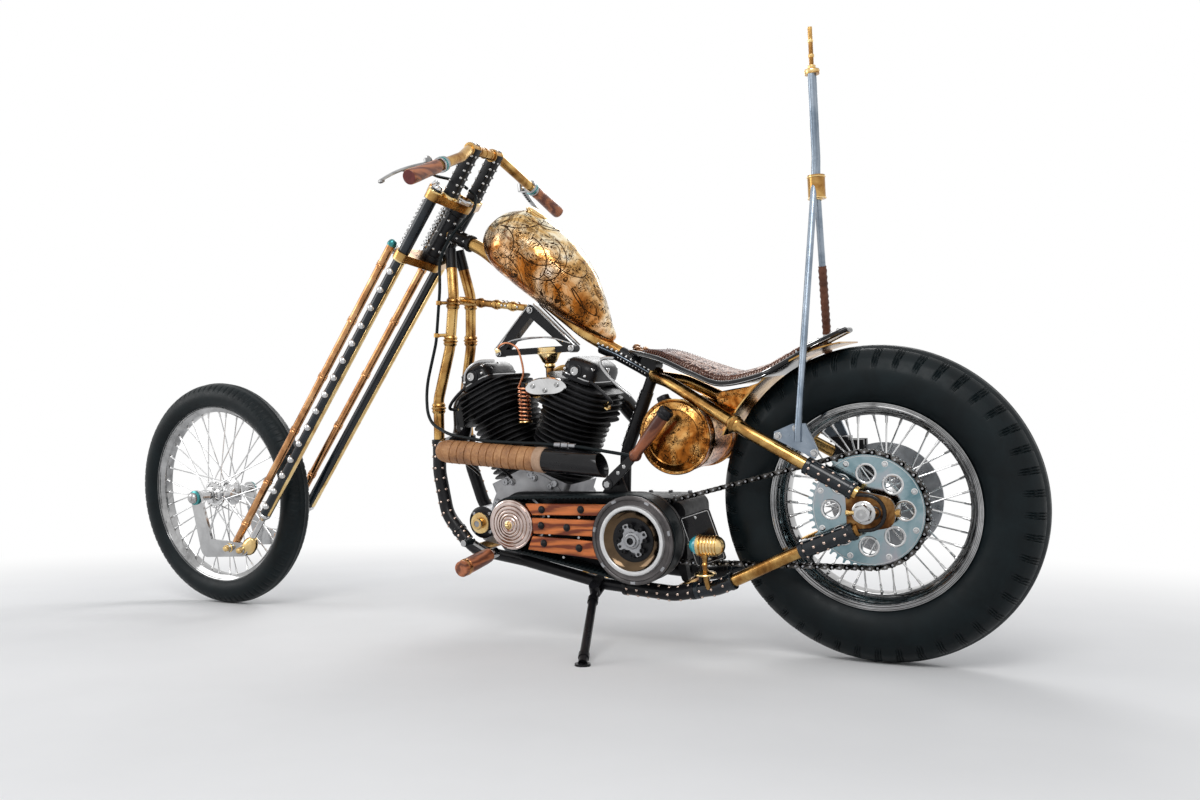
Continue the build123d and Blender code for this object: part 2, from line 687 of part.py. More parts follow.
def cylinder_head(side):
    """A squarer finned head with its rocker box on top."""
    start = BARREL_START + BARREL_LENGTH
    gap = HEAD_BLOCK_LENGTH / HEAD_FINS
    width = 2 * HEAD_BLOCK_HALF
    block = extrude(RectangleRounded(width, width, HEAD_BLOCK_CORNER), HEAD_BLOCK_LENGTH)
    for i in range(HEAD_FINS):
        fin = extrude(RectangleRounded(2 * HEAD_FIN_HALF, 2 * HEAD_FIN_HALF, HEAD_FIN_CORNER), FIN_THICKNESS)
        block += Pos(0, 0, gap * i) * fin
    box = RectangleRounded(width, ROCKER_BOX_WIDTH, ROCKER_BOX_CORNER)
    block += Pos(0, 0, HEAD_BLOCK_LENGTH) * extrude(box, ROCKER_BOX_HEIGHT)
    return cylinder_plane(side, start) * block


def pushrod_tubes(side):
    """Two tubes on the engine's right, from the gear cover up into the head."""
    top = cylinder_plane(side, PUSHROD_TOP_S)
    tubes = []
    for ahead, above, across in PUSHRODS:
        foot = Vector(CRANK_X + side * ahead, PUSHROD_Y, CRANK_Z + above)
        end = top.origin + Vector(top.z_dir.Z, 0, -top.z_dir.X) * (side * across) + Vector(0, PUSHROD_Y, 0)
        run = (end - foot).normalized()
        collar = rod(foot, foot + run * PUSHROD_FOOT, PUSHROD_FOOT_RADIUS)
        tubes.append(rod(foot, end, PUSHROD_RADIUS) + collar)
    return tubes


def cylinder(side):
    """A barrel with its head and pushrod tubes, kept to its own side of the vee."""
    other = Pos(CRANK_X - side * (BEYOND - VEE_GAP) / 2, 0, CRANK_Z) * Box(BEYOND, BEYOND, BEYOND)
    body = barrel(side) + cylinder_head(side)
    for piece in pushrod_tubes(side):
        body += piece
    return body - other


CASE_NECK_START = 40.0
CASE_NECK_MARGIN = 12.0
CASE_NECK_SET_IN = 2.0
GEAR_COVER_RADIUS = 94.0
GEAR_COVER_RISE = 14.0
GEAR_COVER_DEPTH = 13.0
GEAR_COVER_STEP = 8.0
LUG_HALF = 40.0
LUG_INSET = 90.0
LUG_DROP = 60.0
LUG_TOP_RADIUS = 22.0


def crankcase():
    """The round case with a neck under each barrel, and the stepped gear cover on its right."""
    body = disc(CRANK_X, CRANK_Z, CASE_RADIUS, -CASE_HALF, CASE_HALF)
    for side in (-1, 1):
        width = 2 * (CASE_HALF - CASE_NECK_SET_IN)
        depth = 2 * (BARREL_RADIUS + CASE_NECK_MARGIN)
        base = RectangleRounded(width, depth, CASE_NECK_MARGIN)
        body += cylinder_plane(side, CASE_NECK_START) * extrude(base, BARREL_START - CASE_NECK_START)
    z = CRANK_Z + GEAR_COVER_RISE
    body += disc(CRANK_X, z, GEAR_COVER_RADIUS, -CASE_HALF - GEAR_COVER_STEP, -CASE_HALF)
    body += disc(CRANK_X, z, GEAR_COVER_RADIUS - GEAR_COVER_STEP, -CASE_HALF - GEAR_COVER_DEPTH, -CASE_HALF)
    return body


def engine_lugs():
    """The feet that stand the crankcase on two cross tubes."""
    lugs = []
    for ahead, name, over, radius in ((LUG_INSET, "front", 24, 12), (-LUG_INSET, "engine", 22, 10)):
        x, z, reach = CROSS_TUBES[name]
        foot = side_hull([(CRANK_X + ahead, CRANK_Z - LUG_DROP, LUG_TOP_RADIUS), (x, z + over, radius)])
        lugs.append(slab(foot, -LUG_HALF, LUG_HALF))
    return lugs


CROSS_TUBE_RADIUS = 12.0
CROSS_TUBES = {  # name: (x, z, reach to each side)
    "front": (1000, 224, 96),
    "engine": (672, 176, 110),
    "post": (622, 160, 110),
    "gearbox": (440, 147, 110),
}


BRACE_ANGLE = radians(33.7)
BRACE_RADIUS = 9.0
BRACE_GAP = -0.4
BRACE_REACH = 100.0
FENDER_RADIUS = REAR_TYRE_RADIUS + FENDER_GAP
BRACE_FROM_AXLE = FENDER_RADIUS + FENDER_WALL + BRACE_RADIUS + BRACE_GAP
STAY_BRACE = (BRACE_FROM_AXLE * cos(BRACE_ANGLE), REAR_AXLE_Z + BRACE_FROM_AXLE * sin(BRACE_ANGLE),
              BRACE_REACH)


def cross_tubes():
    """The bars between the lower rails, and the brace between the seat stays that carries the fender."""
    bars = [disc(x, z, CROSS_TUBE_RADIUS, -reach, reach) for x, z, reach in CROSS_TUBES.values()]
    brace_x, brace_z, reach = STAY_BRACE
    bars.append(disc(brace_x, brace_z, BRACE_RADIUS, -reach, reach))
    return bars


CROSSBAR_FRONT = Vector(1058, 0, 868)
CROSSBAR_REAR = Vector(862, 0, 834)
CROSSBAR_RADIUS = 9.0
CROSSBAR_KNUCKLES = (0.3, 0.55, 0.8)
CROSSBAR_KNUCKLE = 7.0
CROSSBAR_HEAD_RADIUS = 11.0
CROSSBAR_HEAD_HALF = 42.0


def top_crossbar():
    """The knuckled brass bar from between the downtubes to the engine's top mount."""
    start, end = CROSSBAR_FRONT, CROSSBAR_REAR
    bar = rod(start, end, CROSSBAR_RADIUS)
    for share in CROSSBAR_KNUCKLES:
        bar += knuckle(midway(start, end, share), end - start, CROSSBAR_KNUCKLE)
    return bar + disc(start.X, start.Z, CROSSBAR_HEAD_RADIUS, -CROSSBAR_HEAD_HALF, CROSSBAR_HEAD_HALF)


MOUNT_APEX = (842, 826)
MOUNT_FRONT = (944, 722)
MOUNT_REAR = (728, 722)
MOUNT_APEX_RADIUS = 14.0
MOUNT_ARM_RADIUS = 10.0
MOUNT_TIE_RADIUS = 8.0
MOUNT_HALF = 14.0


def top_mount():
    """The black stay plate between the two rocker boxes and the frame."""
    arms = side_hull([(*MOUNT_FRONT, MOUNT_TIE_RADIUS), (*MOUNT_REAR, MOUNT_TIE_RADIUS)])
    for foot in (MOUNT_FRONT, MOUNT_REAR):
        arms += side_hull([(*MOUNT_APEX, MOUNT_APEX_RADIUS), (*foot, MOUNT_ARM_RADIUS)])
    return slab(arms, -MOUNT_HALF, MOUNT_HALF)


INTAKE_Z = 622.0
INTAKE_ENDS = (780, 890)
INTAKE_RADIUS = 19.0
THROAT_RADIUS = 22.0
THROAT_Y = (10, -128)
CLEANER_RADIUS = 62.0
CLEANER_DEPTH = 34.0
CLEANER_EDGE = 6.0
BOWL_X = 800.0
BOWL_STEM_RADIUS = 11.0
BOWL_STEM_TOP = 694.0
BOWL_Z = 706.0
BOWL_LOW_RADIUS = 13.0
BOWL_RADIUS = 26.0
BOWL_HEIGHT = 26.0


def intake():
    """The manifold between the heads, its brass bowl, and the carburettor with its round cleaner."""
    body = rod((INTAKE_ENDS[0], 0, INTAKE_Z), (INTAKE_ENDS[1], 0, INTAKE_Z), INTAKE_RADIUS)
    inner, outer = THROAT_Y
    body += rod((CRANK_X, inner, INTAKE_Z), (CRANK_X, outer, INTAKE_Z), THROAT_RADIUS)
    body += rod((BOWL_X, 0, INTAKE_Z), (BOWL_X, 0, BOWL_STEM_TOP), BOWL_STEM_RADIUS)
    body += Pos(BOWL_X, 0, BOWL_Z) * Cone(BOWL_LOW_RADIUS, BOWL_RADIUS, BOWL_HEIGHT)
    rim, edge = CLEANER_RADIUS, CLEANER_EDGE
    cleaner = [(0, 0), (rim - edge, 0), (rim, edge), (rim, CLEANER_DEPTH - edge), (rim - edge, CLEANER_DEPTH),
               (0, CLEANER_DEPTH)]
    return body + lathed((CRANK_X, outer, INTAKE_Z), (0, -1, 0), cleaner)


COIL_TURNS = 9
COIL_HEIGHT = 92.0
COIL_RADIUS = 17.0
COIL_CORE = 12.0
COIL_FOOT = (836, 74, 545)
BRACKET_LOBES = [(856, 648, 9), (776, 648, 9), (816, 630, 9)]
BRACKET_Y = (52, 92)


def ignition_coil():
    """A ridged copper coil in the vee with its polished bracket."""
    step = COIL_HEIGHT / COIL_TURNS
    profile = [(0, 0)]
    for i in range(COIL_TURNS):
        profile += [(COIL_CORE, step * i), (COIL_RADIUS, step * (i + 0.3)), (COIL_RADIUS, step * (i + 0.6))]
    profile += [(COIL_CORE, COIL_HEIGHT), (0, COIL_HEIGHT)]
    return lathed(COIL_FOOT, (0, 0, 1), profile) + slab(side_hull(BRACKET_LOBES), *BRACKET_Y)


GENERATOR_STEPS = [(GENERATOR_RADIUS, -74, 70), (26, 70, 84), (14, 84, 98)]


def generator():
    """The generator's body and the two turned steps at its left end."""
    body = None
    for radius, low, high in GENERATOR_STEPS:
        step = disc(GENERATOR_X, GENERATOR_Z, radius, low, high)
        body = step if body is None else body + step
    return body


GEARBOX_CENTRE = (505, 278.5)
GEARBOX_LENGTH = 174.0
GEARBOX_HALF = 74.0
GEARBOX_HEIGHT = 147.0
GEARBOX_CORNER = 26.0
GEARBOX_FEET = {"post": (568, 222), "gearbox": (452, 222)}
GEARBOX_FOOT_Y = (25, 45)
GEARBOX_FOOT_RADII = (12, 8)
GEARBOX_FOOT_OVER = 20.0


def gearbox():
    """The gearbox case, rounded along its long edges, on feet over two cross tubes."""
    x, z = GEARBOX_CENTRE
    body = Pos(x, 0, z) * Box(GEARBOX_LENGTH, 2 * GEARBOX_HALF, GEARBOX_HEIGHT)
    body = fillet(body.edges().filter_by(Axis.Y), GEARBOX_CORNER)
    top_radius, foot_radius = GEARBOX_FOOT_RADII
    for name, (foot_x, foot_z) in GEARBOX_FEET.items():
        bar_x, bar_z, reach = CROSS_TUBES[name]
        outline = side_hull([(foot_x, foot_z, top_radius), (bar_x, bar_z + GEARBOX_FOOT_OVER, foot_radius)])
        for side in (-1, 1):
            low, high = sorted(side * y for y in GEARBOX_FOOT_Y)
            body += slab(outline, low, high)
    return body


PLATE_FRONT_MARGIN = 13.0
PLATE_REAR_MARGIN = 7.0
PLATE_BOSS_RADIUS = 46.0
SLAT_POST_RADIUS = 5.0


def primary_plate():
    """The black inner plate of the primary, its two shaft bosses and the posts of the slats."""
    low = PRIMARY_PLATE_Y
    high = low + PRIMARY_PLATE_THICKNESS
    outline = side_hull([(CRANK_X, CRANK_Z, FRONT_PULLEY_RADIUS + PLATE_FRONT_MARGIN),
                         (SHAFT_X, SHAFT_Z, CLUTCH_PULLEY_RADIUS + PLATE_REAR_MARGIN)])
    plate = slab(outline, low, high) + disc(CRANK_X, CRANK_Z, PLATE_BOSS_RADIUS, CASE_HALF, low)
    for x, z in SLAT_POSTS:
        plate += disc(x, z, SLAT_POST_RADIUS, high, BELT_Y + BELT_WIDTH)
    return plate


SLATS = [  # corners (x, z) of the wooden slats, from the top down
    [(791, 355), (560, 356), (560, 331), (772, 328)],
    [(776, 321), (560, 318), (560, 281), (772, 284)],
    [(776, 277), (560, 268), (560, 226), (790, 245)],
]
SLAT_POSTS = [(746, 342), (640, 344), (750, 304), (680, 301), (745, 262), (650, 254)]


def primary_slats():
    low = BELT_Y + BELT_WIDTH
    room = disc(SHAFT_X, SHAFT_Z, CLUTCH_RING_RADIUS + SLAT_GAP, low - 1, low + 40)
    room += disc(CRANK_X, CRANK_Z, COVER_RADIUS + SLAT_GAP, low - 1, low + 40)
    slats = []
    for corners in SLATS:
        slats.append(slab(side_polygon(corners), low, low + SLAT_THICKNESS) - room)
    return slats


def loop_band(front_radius, rear_radius, thickness, low, high):
    """A flat belt round the two primary pulleys."""
    outer = side_hull([(CRANK_X, CRANK_Z, front_radius + thickness),
                       (SHAFT_X, SHAFT_Z, rear_radius + thickness)])
    inner = side_hull([(CRANK_X, CRANK_Z, front_radius), (SHAFT_X, SHAFT_Z, rear_radius)])
    return slab(outer - inner, low, high)


def primary_belt():
    return loop_band(FRONT_PULLEY_RADIUS, CLUTCH_PULLEY_RADIUS, BELT_THICKNESS, BELT_Y, BELT_Y + BELT_WIDTH)


COVER_STEPS = [  # radius and height over the cover's edge, from the rim to the point
    (COVER_RADIUS, 0), (COVER_RADIUS, 6), (50, 9), (40, 9), (30, 13),
    (20, 13), (12, 17), (7, 17), (4, 26), (0, 28),
]


def front_pulley():
    """The crank pulley under its round ringed cover."""
    low = PRIMARY_PLATE_Y + PRIMARY_PLATE_THICKNESS
    profile = [(0, low), (FRONT_PULLEY_RADIUS, low), (FRONT_PULLEY_RADIUS, COVER_Y)]
    profile += [(radius, COVER_Y + height) for radius, height in COVER_STEPS]
    return turned(profile, CRANK_X, CRANK_Z)


CLUTCH_FACE_GAP = 2.0
CLUTCH_STEPS = [  # radius and height over the clutch's face, from the drum to the hub
    (CLUTCH_PULLEY_RADIUS, 0), (CLUTCH_RING_RADIUS, 0), (CLUTCH_RING_RADIUS, 10), (93, 10), (88, 5), (79, 5),
    (77, 14), (69, 14), (60, 3), (45, -2), (0, -2),
]
HUB_PLATE_SIZE = 58.0
HUB_PLATE_CORNER = 8.0
HUB_PLATE_TURN_DEG = 25.0
HUB_PLATE_TOP = 8.0
HUB_RADIUS = 15.0
HUB_TOP = 16.0


def clutch():
    """The clutch drum, its pressure ring and the bolted hub plate."""
    low = PRIMARY_PLATE_Y + PRIMARY_PLATE_THICKNESS
    face = BELT_Y + BELT_WIDTH + CLUTCH_FACE_GAP
    profile = [(0, low), (CLUTCH_PULLEY_RADIUS, low)]
    profile += [(radius, face + height) for radius, height in CLUTCH_STEPS]
    drum = turned(profile, SHAFT_X, SHAFT_Z)
    square = RectangleRounded(HUB_PLATE_SIZE, HUB_PLATE_SIZE, HUB_PLATE_CORNER)
    plate = Pos(SHAFT_X, SHAFT_Z) * Rot(0, 0, HUB_PLATE_TURN_DEG) * square
    drum += slab(plate, face + CLUTCH_STEPS[-1][1], face + HUB_PLATE_TOP)
    return drum + disc(SHAFT_X, SHAFT_Z, HUB_RADIUS, face + HUB_PLATE_TOP, face + HUB_TOP)


# Final drive chain

def chain_line():
    """Lengths and angles of the chain's closed line round both sprockets."""
    dx, dz = SHAFT_X, SHAFT_Z - REAR_AXLE_Z
    gap = hypot(dx, dz)
    towards = atan2(dz, dx)
    lean = acos((PITCH_RADIUS_REAR - PITCH_RADIUS_FRONT) / gap)
    run = gap * sin(lean)
    return towards, lean, run


def chain_rollers():
    """Where each roller lies: in the rear sprocket's gullets, then evenly round the rest."""
    towards, lean, run = chain_line()
    rear_wrap = 2 * pi - 2 * lean
    front_wrap = 2 * lean
    rear_arc, front_arc = PITCH_RADIUS_REAR * rear_wrap, PITCH_RADIUS_FRONT * front_wrap
    total = rear_arc + front_arc + 2 * run
    first_angle = towards + lean

    def at(t):
        t = t % total
        if t < rear_arc:
            angle = first_angle + t / PITCH_RADIUS_REAR
            return PITCH_RADIUS_REAR * cos(angle), REAR_AXLE_Z + PITCH_RADIUS_REAR * sin(angle)
        t -= rear_arc
        low = towards - lean
        if t < run:
            x = PITCH_RADIUS_REAR * cos(low) - t * sin(low)
            return x, REAR_AXLE_Z + PITCH_RADIUS_REAR * sin(low) + t * cos(low)
        t -= run
        if t < front_arc:
            angle = low + t / PITCH_RADIUS_FRONT
            return SHAFT_X + PITCH_RADIUS_FRONT * cos(angle), SHAFT_Z + PITCH_RADIUS_FRONT * sin(angle)
        t -= front_arc
        high = towards + lean
        x = SHAFT_X + PITCH_RADIUS_FRONT * cos(high) - t * sin(high)
        return x, SHAFT_Z + PITCH_RADIUS_FRONT * sin(high) + t * cos(high)

    tooth = 2 * pi / REAR_TEETH
    first = ceil(first_angle / tooth)
    last = floor((first_angle + rear_wrap) / tooth)
    seated = [(i * tooth - first_angle) * PITCH_RADIUS_REAR for i in range(first, last + 1)]
    rest = total - (seated[-1] - seated[0])
    links = round(rest / (PITCH_RADIUS_REAR * tooth))
    free = [seated[-1] + rest * i / links for i in range(1, links)]
    return [at(t) for t in seated + free]


def final_chain():
    """The drive chain: side plates as two bands, joined by every roller."""
    outer = side_hull([(0, REAR_AXLE_Z, PITCH_RADIUS_REAR + CHAIN_PLATE_HALF),
                       (SHAFT_X, SHAFT_Z, PITCH_RADIUS_FRONT + CHAIN_PLATE_HALF)])
    inner = side_hull([(0, REAR_AXLE_Z, PITCH_RADIUS_REAR - CHAIN_PLATE_HALF),
                       (SHAFT_X, SHAFT_Z, PITCH_RADIUS_FRONT - CHAIN_PLATE_HALF)])
    band = outer - inner
    half = CHAIN_INNER_WIDTH / 2
    pieces = [slab(band, CHAIN_Y + half, CHAIN_Y + half + CHAIN_PLATE_THICKNESS),
              slab(band, CHAIN_Y - half - CHAIN_PLATE_THICKNESS, CHAIN_Y - half)]
    rollers = []
    for x, z in chain_rollers():
        hexagon = Pos(x, z) * RegularPolygon(CHAIN_ROLLER_RADIUS, 6)
        rollers.append(slab(hexagon, CHAIN_Y - half, CHAIN_Y + half))
    return pieces[0].fuse(pieces[1], *rollers)


SEATED_WITHIN = 0.1
GEARBOX_SHAFT_RADIUS = 24.0


def gearbox_sprocket():
    """The small sprocket on the gearbox shaft, turned so that its gullets meet the rollers."""
    towards, lean, run = chain_line()
    wanted = None
    for x, z in chain_rollers():
        if abs(hypot(x - SHAFT_X, z - SHAFT_Z) - PITCH_RADIUS_FRONT) < SEATED_WITHIN:
            angle = atan2(z - SHAFT_Z, x - SHAFT_X)
            if wanted is None or abs(angle - towards) < abs(wanted - towards):
                wanted = angle
    face = Rot(0, 0, degrees(wanted)) * sprocket_face(FRONT_TEETH, PITCH_RADIUS_FRONT)
    low = CHAIN_Y - SPROCKET_THICKNESS / 2
    body = Pos(SHAFT_X, 0, SHAFT_Z) * slab(face, low, low + SPROCKET_THICKNESS)
    return body + disc(SHAFT_X, SHAFT_Z, GEARBOX_SHAFT_RADIUS, GEARBOX_HALF, PRIMARY_PLATE_Y)


# Tanks, seat, fender and sissy bar

OIL_RIM_OUT = 3.0
OIL_RIM_WIDTH = 7.0
OIL_RIM_HEIGHT = 4.0
OIL_DOME_STEPS = [(0, 0), (30, 2), (58, 9)]
OIL_RIM_INSET = 9.0


def oil_tank():
    """A brass drum across the frame with a rolled rim and a domed end on each side."""
    end = -OIL_TANK_HALF - OIL_DOME
    rim = -OIL_TANK_HALF - OIL_RIM_OUT
    wall = OIL_TANK_RADIUS - OIL_RIM_HEIGHT
    profile = [(radius, end + back) for radius, back in OIL_DOME_STEPS]
    profile += [(OIL_TANK_RADIUS - OIL_RIM_INSET, rim), (OIL_TANK_RADIUS, rim)]
    profile += [(OIL_TANK_RADIUS, rim + OIL_RIM_WIDTH), (wall, rim + OIL_RIM_WIDTH)]
    other = [(radius, -y) for radius, y in reversed(profile)]
    return turned(profile + other, OIL_TANK_X, OIL_TANK_Z)


TANK_SECTIONS = [  # along the backbone, bottom and top above it, half width
    (2, 34, 78, 26),
    (34, 0, 136, 72),
    (95, -14, 168, 100),
    (185, -13, 166, 103),
    (280, -8, 143, 84),
    (368, 2, 98, 52),
    (424, 14, 58, 27),
    (450, 24, 42, 11),
]


FILLER_U = 92.0
FILLER_FOOT = 150.0
FILLER_HEIGHT = 30.0
FILLER_RADIUS = 26.0


def fuel_tank():
    """A teardrop tank astride the backbone, lofted through elliptical sections."""
    nose = Vector(*BACKBONE_POINTS[1])
    along = (Vector(*BACKBONE_POINTS[2]) - nose).normalized()
    up = Vector(along.Z, 0, -along.X)
    sections = []
    for u, low, high, half in TANK_SECTIONS:
        base = Plane(origin=nose + along * u + up * ((low + high) / 2), x_dir=(0, 1, 0), z_dir=along)
        sections.append(base * Ellipse(half, (high - low) / 2))
    tank = loft(sections)
    filler = nose + along * FILLER_U + up * FILLER_FOOT
    return tank + rod(filler, filler + up * FILLER_HEIGHT, FILLER_RADIUS)


SEAT_LINE = [(548, 718), (464, 697), (375, 660), (290, 634), (215, 646), (133, 692), (48, 730)]
SEAT_THICKNESS = 24.0
TONGUE_THICKNESS = 13.0
TONGUE_X = 200.0
SEAT_EDGE_RAKE = 4.0
SEAT_WIDTHS = [(556, 44), (520, 62), (400, 96), (290, 128), (205, 118), (150, 70), (110, 40), (44, 26)]
SEAT_ROOM_HALF = 150.0
SEAT_ROOM_Z = (500, 900)


def seat():
    """A one-piece saddle with a dished middle and a narrow rising tongue behind."""
    lower = []
    for x, z in SEAT_LINE:
        thickness = SEAT_THICKNESS if x > TONGUE_X else TONGUE_THICKNESS
        lower.append((x - SEAT_EDGE_RAKE, z - thickness))
    side = make_face(Polyline(*(SEAT_LINE + list(reversed(lower))), close=True))
    body = slab(side, -SEAT_ROOM_HALF, SEAT_ROOM_HALF)
    plan = SEAT_WIDTHS + [(x, -y) for x, y in reversed(SEAT_WIDTHS)]
    low, high = SEAT_ROOM_Z
    return body & Pos(0, 0, low) * extrude(make_face(Polyline(*plan, close=True)), high - low)


SEAT_BLOCK = [(524, 678, 12), (508, 668, 12)]
SEAT_BLOCK_HALF = 20.0


def seat_bracket():
    """The block on the backbone that carries the seat's nose."""
    return slab(side_hull(SEAT_BLOCK), -SEAT_BLOCK_HALF, SEAT_BLOCK_HALF)


FENDER_LOW_DEG = 27.0
FENDER_HIGH_DEG = 83.0
FENDER_REACH = 900.0


def rear_fender():
    """The short brass sheet between the tyre and the seat."""
    face = Circle(FENDER_RADIUS + FENDER_WALL) - Circle(FENDER_RADIUS)
    corners = [(0, 0)]
    for share in (0.0, 0.5, 1.0):
        angle = radians(FENDER_LOW_DEG + (FENDER_HIGH_DEG - FENDER_LOW_DEG) * share)
        corners.append((FENDER_REACH * cos(angle), FENDER_REACH * sin(angle)))
    sheet = slab(face & make_face(Polyline(*corners, close=True)), -FENDER_HALF, FENDER_HALF)
    return Pos(0, 0, REAR_AXLE_Z) * sheet


SISSY_FOOT_Y = 143.0
SISSY_FOOT = [(126, 492), (124, 520)]
SISSY_APEX_Z = 1040.0
SISSY_TOP_Z = 1285.0
SISSY_X = 96.0
SISSY_RADIUS = 7.5
SISSY_TOUCH = 0.2
SISSY_BEND = 120.0
FAN_OUTLINE = [(178, 500), (92, 456), (84, 470), (108, 530), (136, 530), (176, 514)]
FAN_Y = (133, 141)


def sissy_side():
    """One leg of the sissy bar with its fan-shaped foot and its upright rod."""
    inner = SISSY_RADIUS + SISSY_TOUCH
    points = [(x, SISSY_FOOT_Y, z) for x, z in SISSY_FOOT]
    points += [(SISSY_X + 4, SISSY_RADIUS + 3, SISSY_APEX_Z), (SISSY_X, inner, SISSY_APEX_Z + 60),
               (SISSY_X, inner, SISSY_TOP_Z)]
    return tube(points, SISSY_RADIUS, SISSY_BEND) + slab(side_polygon(FAN_OUTLINE), *FAN_Y)


WRAP_Z = (1010, 1062)
WRAP_AROUND_RADIUS = 19.0
MAST_CAP_RADIUS = 16.0
MAST_CAP_Z = (1280, 1290)
MAST_RADIUS = 5.0
MAST_TOP_Z = 1382.0


def sissy_mast():
    """The thin single rod above the two uprights, and the wire wrap that binds them."""
    wrap = rod((SISSY_X + 2, 0, WRAP_Z[0]), (SISSY_X + 2, 0, WRAP_Z[1]), WRAP_AROUND_RADIUS)
    tip = rod((SISSY_X, 0, SISSY_TOP_Z + 1), (SISSY_X, 0, MAST_TOP_Z), MAST_RADIUS)
    cap = rod((SISSY_X, 0, MAST_CAP_Z[0]), (SISSY_X, 0, MAST_CAP_Z[1]), MAST_CAP_RADIUS)
    return wrap, tip + cap


# Exhausts

LEFT_PIPE = [(1016, 22, 612), (1060, 28, 600), (1060, 30, 500)]
LEFT_TURN = Vector(1048, 150, 484)
LEFT_END = Vector(570, 150, 444)
LEFT_BEND = 50.0
PIPE_IN_WRAP = 0.2
WRAP_FROM = 0.09
WRAP_TO = 0.64
WRAP_TURNS = 12
WRAP_SEAM = 3.0
WRAP_SEAM_DEPTH = 1.5
SLASH_AT = (586, 150, 446)
SLASH_NORMAL = (-1, 0, 0.28)
SLASH_ROOM = 200.0
SLASH_DEPTH = 80.0
RIGHT_PIPE = [(672, -60, 604), (664, -110, 596), (640, -152, 540), (560, -155, 470), (300, -158, 440)]
RIGHT_BEND = 60.0


def pipe_wrap(start, end, bare_from):
    """A bound pipe with a seam after each winding, and a smooth slip-on end from a place on."""
    length = (end - start).length
    bound = (bare_from - start).length
    step = bound / WRAP_TURNS
    low = WRAP_RADIUS - WRAP_SEAM_DEPTH
    profile = [(0, 0)]
    for i in range(WRAP_TURNS):
        high = step * (i + 1)
        profile += [(WRAP_RADIUS, step * i), (WRAP_RADIUS, high - WRAP_SEAM)]
        profile += [(low, high - WRAP_SEAM), (low, high)]
    profile += [(WRAP_RADIUS, bound), (WRAP_RADIUS, length), (0, length)]
    return lathed(start, end - start, profile)


def left_exhaust():
    """The front pipe, out of the head, round to the left and straight back to a slash-cut end."""
    run = [LEFT_TURN, midway(LEFT_TURN, LEFT_END, PIPE_IN_WRAP)]
    pipe = tube(LEFT_PIPE + run, PIPE_RADIUS, LEFT_BEND)
    wrap = pipe_wrap(midway(LEFT_TURN, LEFT_END, WRAP_FROM), LEFT_END, midway(LEFT_TURN, LEFT_END, WRAP_TO))
    beyond = Box(SLASH_ROOM, SLASH_ROOM, SLASH_DEPTH, align=ON_PLANE)
    return pipe + (wrap - Plane(origin=SLASH_AT, z_dir=SLASH_NORMAL) * beyond)


def right_exhaust():
    """The rear pipe, out on the right and straight back."""
    return tube(RIGHT_PIPE, PIPE_RADIUS, RIGHT_BEND)


# Controls and trim

SHIFTER_PIVOT = (572, 402)
SHIFTER_PIN_RADIUS = 9.0
SHIFTER_ARM_Y = (148, 156)
SHIFTER_ARM = [(*SHIFTER_PIVOT, 13), (498, 468, 8)]
HANDLE_FROM = (502, 152, 464)
HANDLE_TO = (424, 152, 556)
HANDLE_RADIUS = 15.0
HANDLE_CAP = ((428, 152, 551), (416, 152, 565))
HANDLE_CAP_RADIUS = 18.0


def hand_shifter():
    """A hand shift lever with a wooden handle, on a pin through the primary plate."""
    low, high = SHIFTER_ARM_Y
    body = disc(*SHIFTER_PIVOT, SHIFTER_PIN_RADIUS, PRIMARY_PLATE_Y, high)
    body += slab(side_hull(SHIFTER_ARM), low, high)
    return body + rod(HANDLE_FROM, HANDLE_TO, HANDLE_RADIUS) + rod(*HANDLE_CAP, HANDLE_CAP_RADIUS)


SHIFTER_BRACKET = [(*SHIFTER_PIVOT, 16), (560, 360, 20), (600, 360, 20)]


def shifter_bracket():
    return slab(side_hull(SHIFTER_BRACKET), PRIMARY_PLATE_Y, PRIMARY_PLATE_Y + PRIMARY_PLATE_THICKNESS)


FOOT_CONTROL = [  # rods of the left control: start, end, radius
    ((948, 99.6, 218), (899, 158, 231), 8),
    ((896, 152, 232), (900, 172, 229), 13),
    ((900, 172, 229), (910, 278, 214), 19),
    ((932, 118, 222), (946, 176, 262), 6),
    ((946, 172, 262), (948, 210, 262), 8),
]


def foot_control():
    """A forward peg on its arm, with the pedal rod beside it."""
    body = None
    for start, end, radius in FOOT_CONTROL:
        piece = rod(start, end, radius)
        body = piece if body is None else body + piece
    return body


PLATE_TILT = radians(18)
PLATE_CENTRE = (360, 116, 278)
PLATE_WIDTH = 76.0
PLATE_HEIGHT = 118.0
PLATE_CORNER = 6.0
PLATE_WALL = 3.0
PLATE_STAY = ((372, 113, 160), (366, 115, 240))
PLATE_STAY_RADIUS = 6.0


def number_plate():
    """A small blank plate beside the clutch, on a bent bracket from the frame rail."""
    turn = Plane(origin=PLATE_CENTRE, x_dir=(-cos(PLATE_TILT), 0, sin(PLATE_TILT)), z_dir=(0, 1, 0))
    plate = turn * extrude(RectangleRounded(PLATE_WIDTH, PLATE_HEIGHT, PLATE_CORNER), PLATE_WALL)
    return plate + rod(*PLATE_STAY, PLATE_STAY_RADIUS)


LAMP = Vector(346, 148, 268)
LAMP_BACK = [(0, -49), (12, -46), (20, -38), (23, -27)]
LAMP_RADIUS = 23.0
LAMP_RIBS = (-19, -9, 1)
LAMP_RIB_WIDTH = 7.0
LAMP_GROOVE_RADIUS = 20.5
LAMP_LENS = [(23, 12), (19, 22), (11, 31), (0, 34)]
LAMP_STEM_RADIUS = 6.0
LAMP_BASE_RADIUS = 22.0
LAMP_BASE_Z = (202, 208)
LAMP_ARM_FOOT = (350, 118, 160)
LAMP_ARM_RADIUS = 7.0


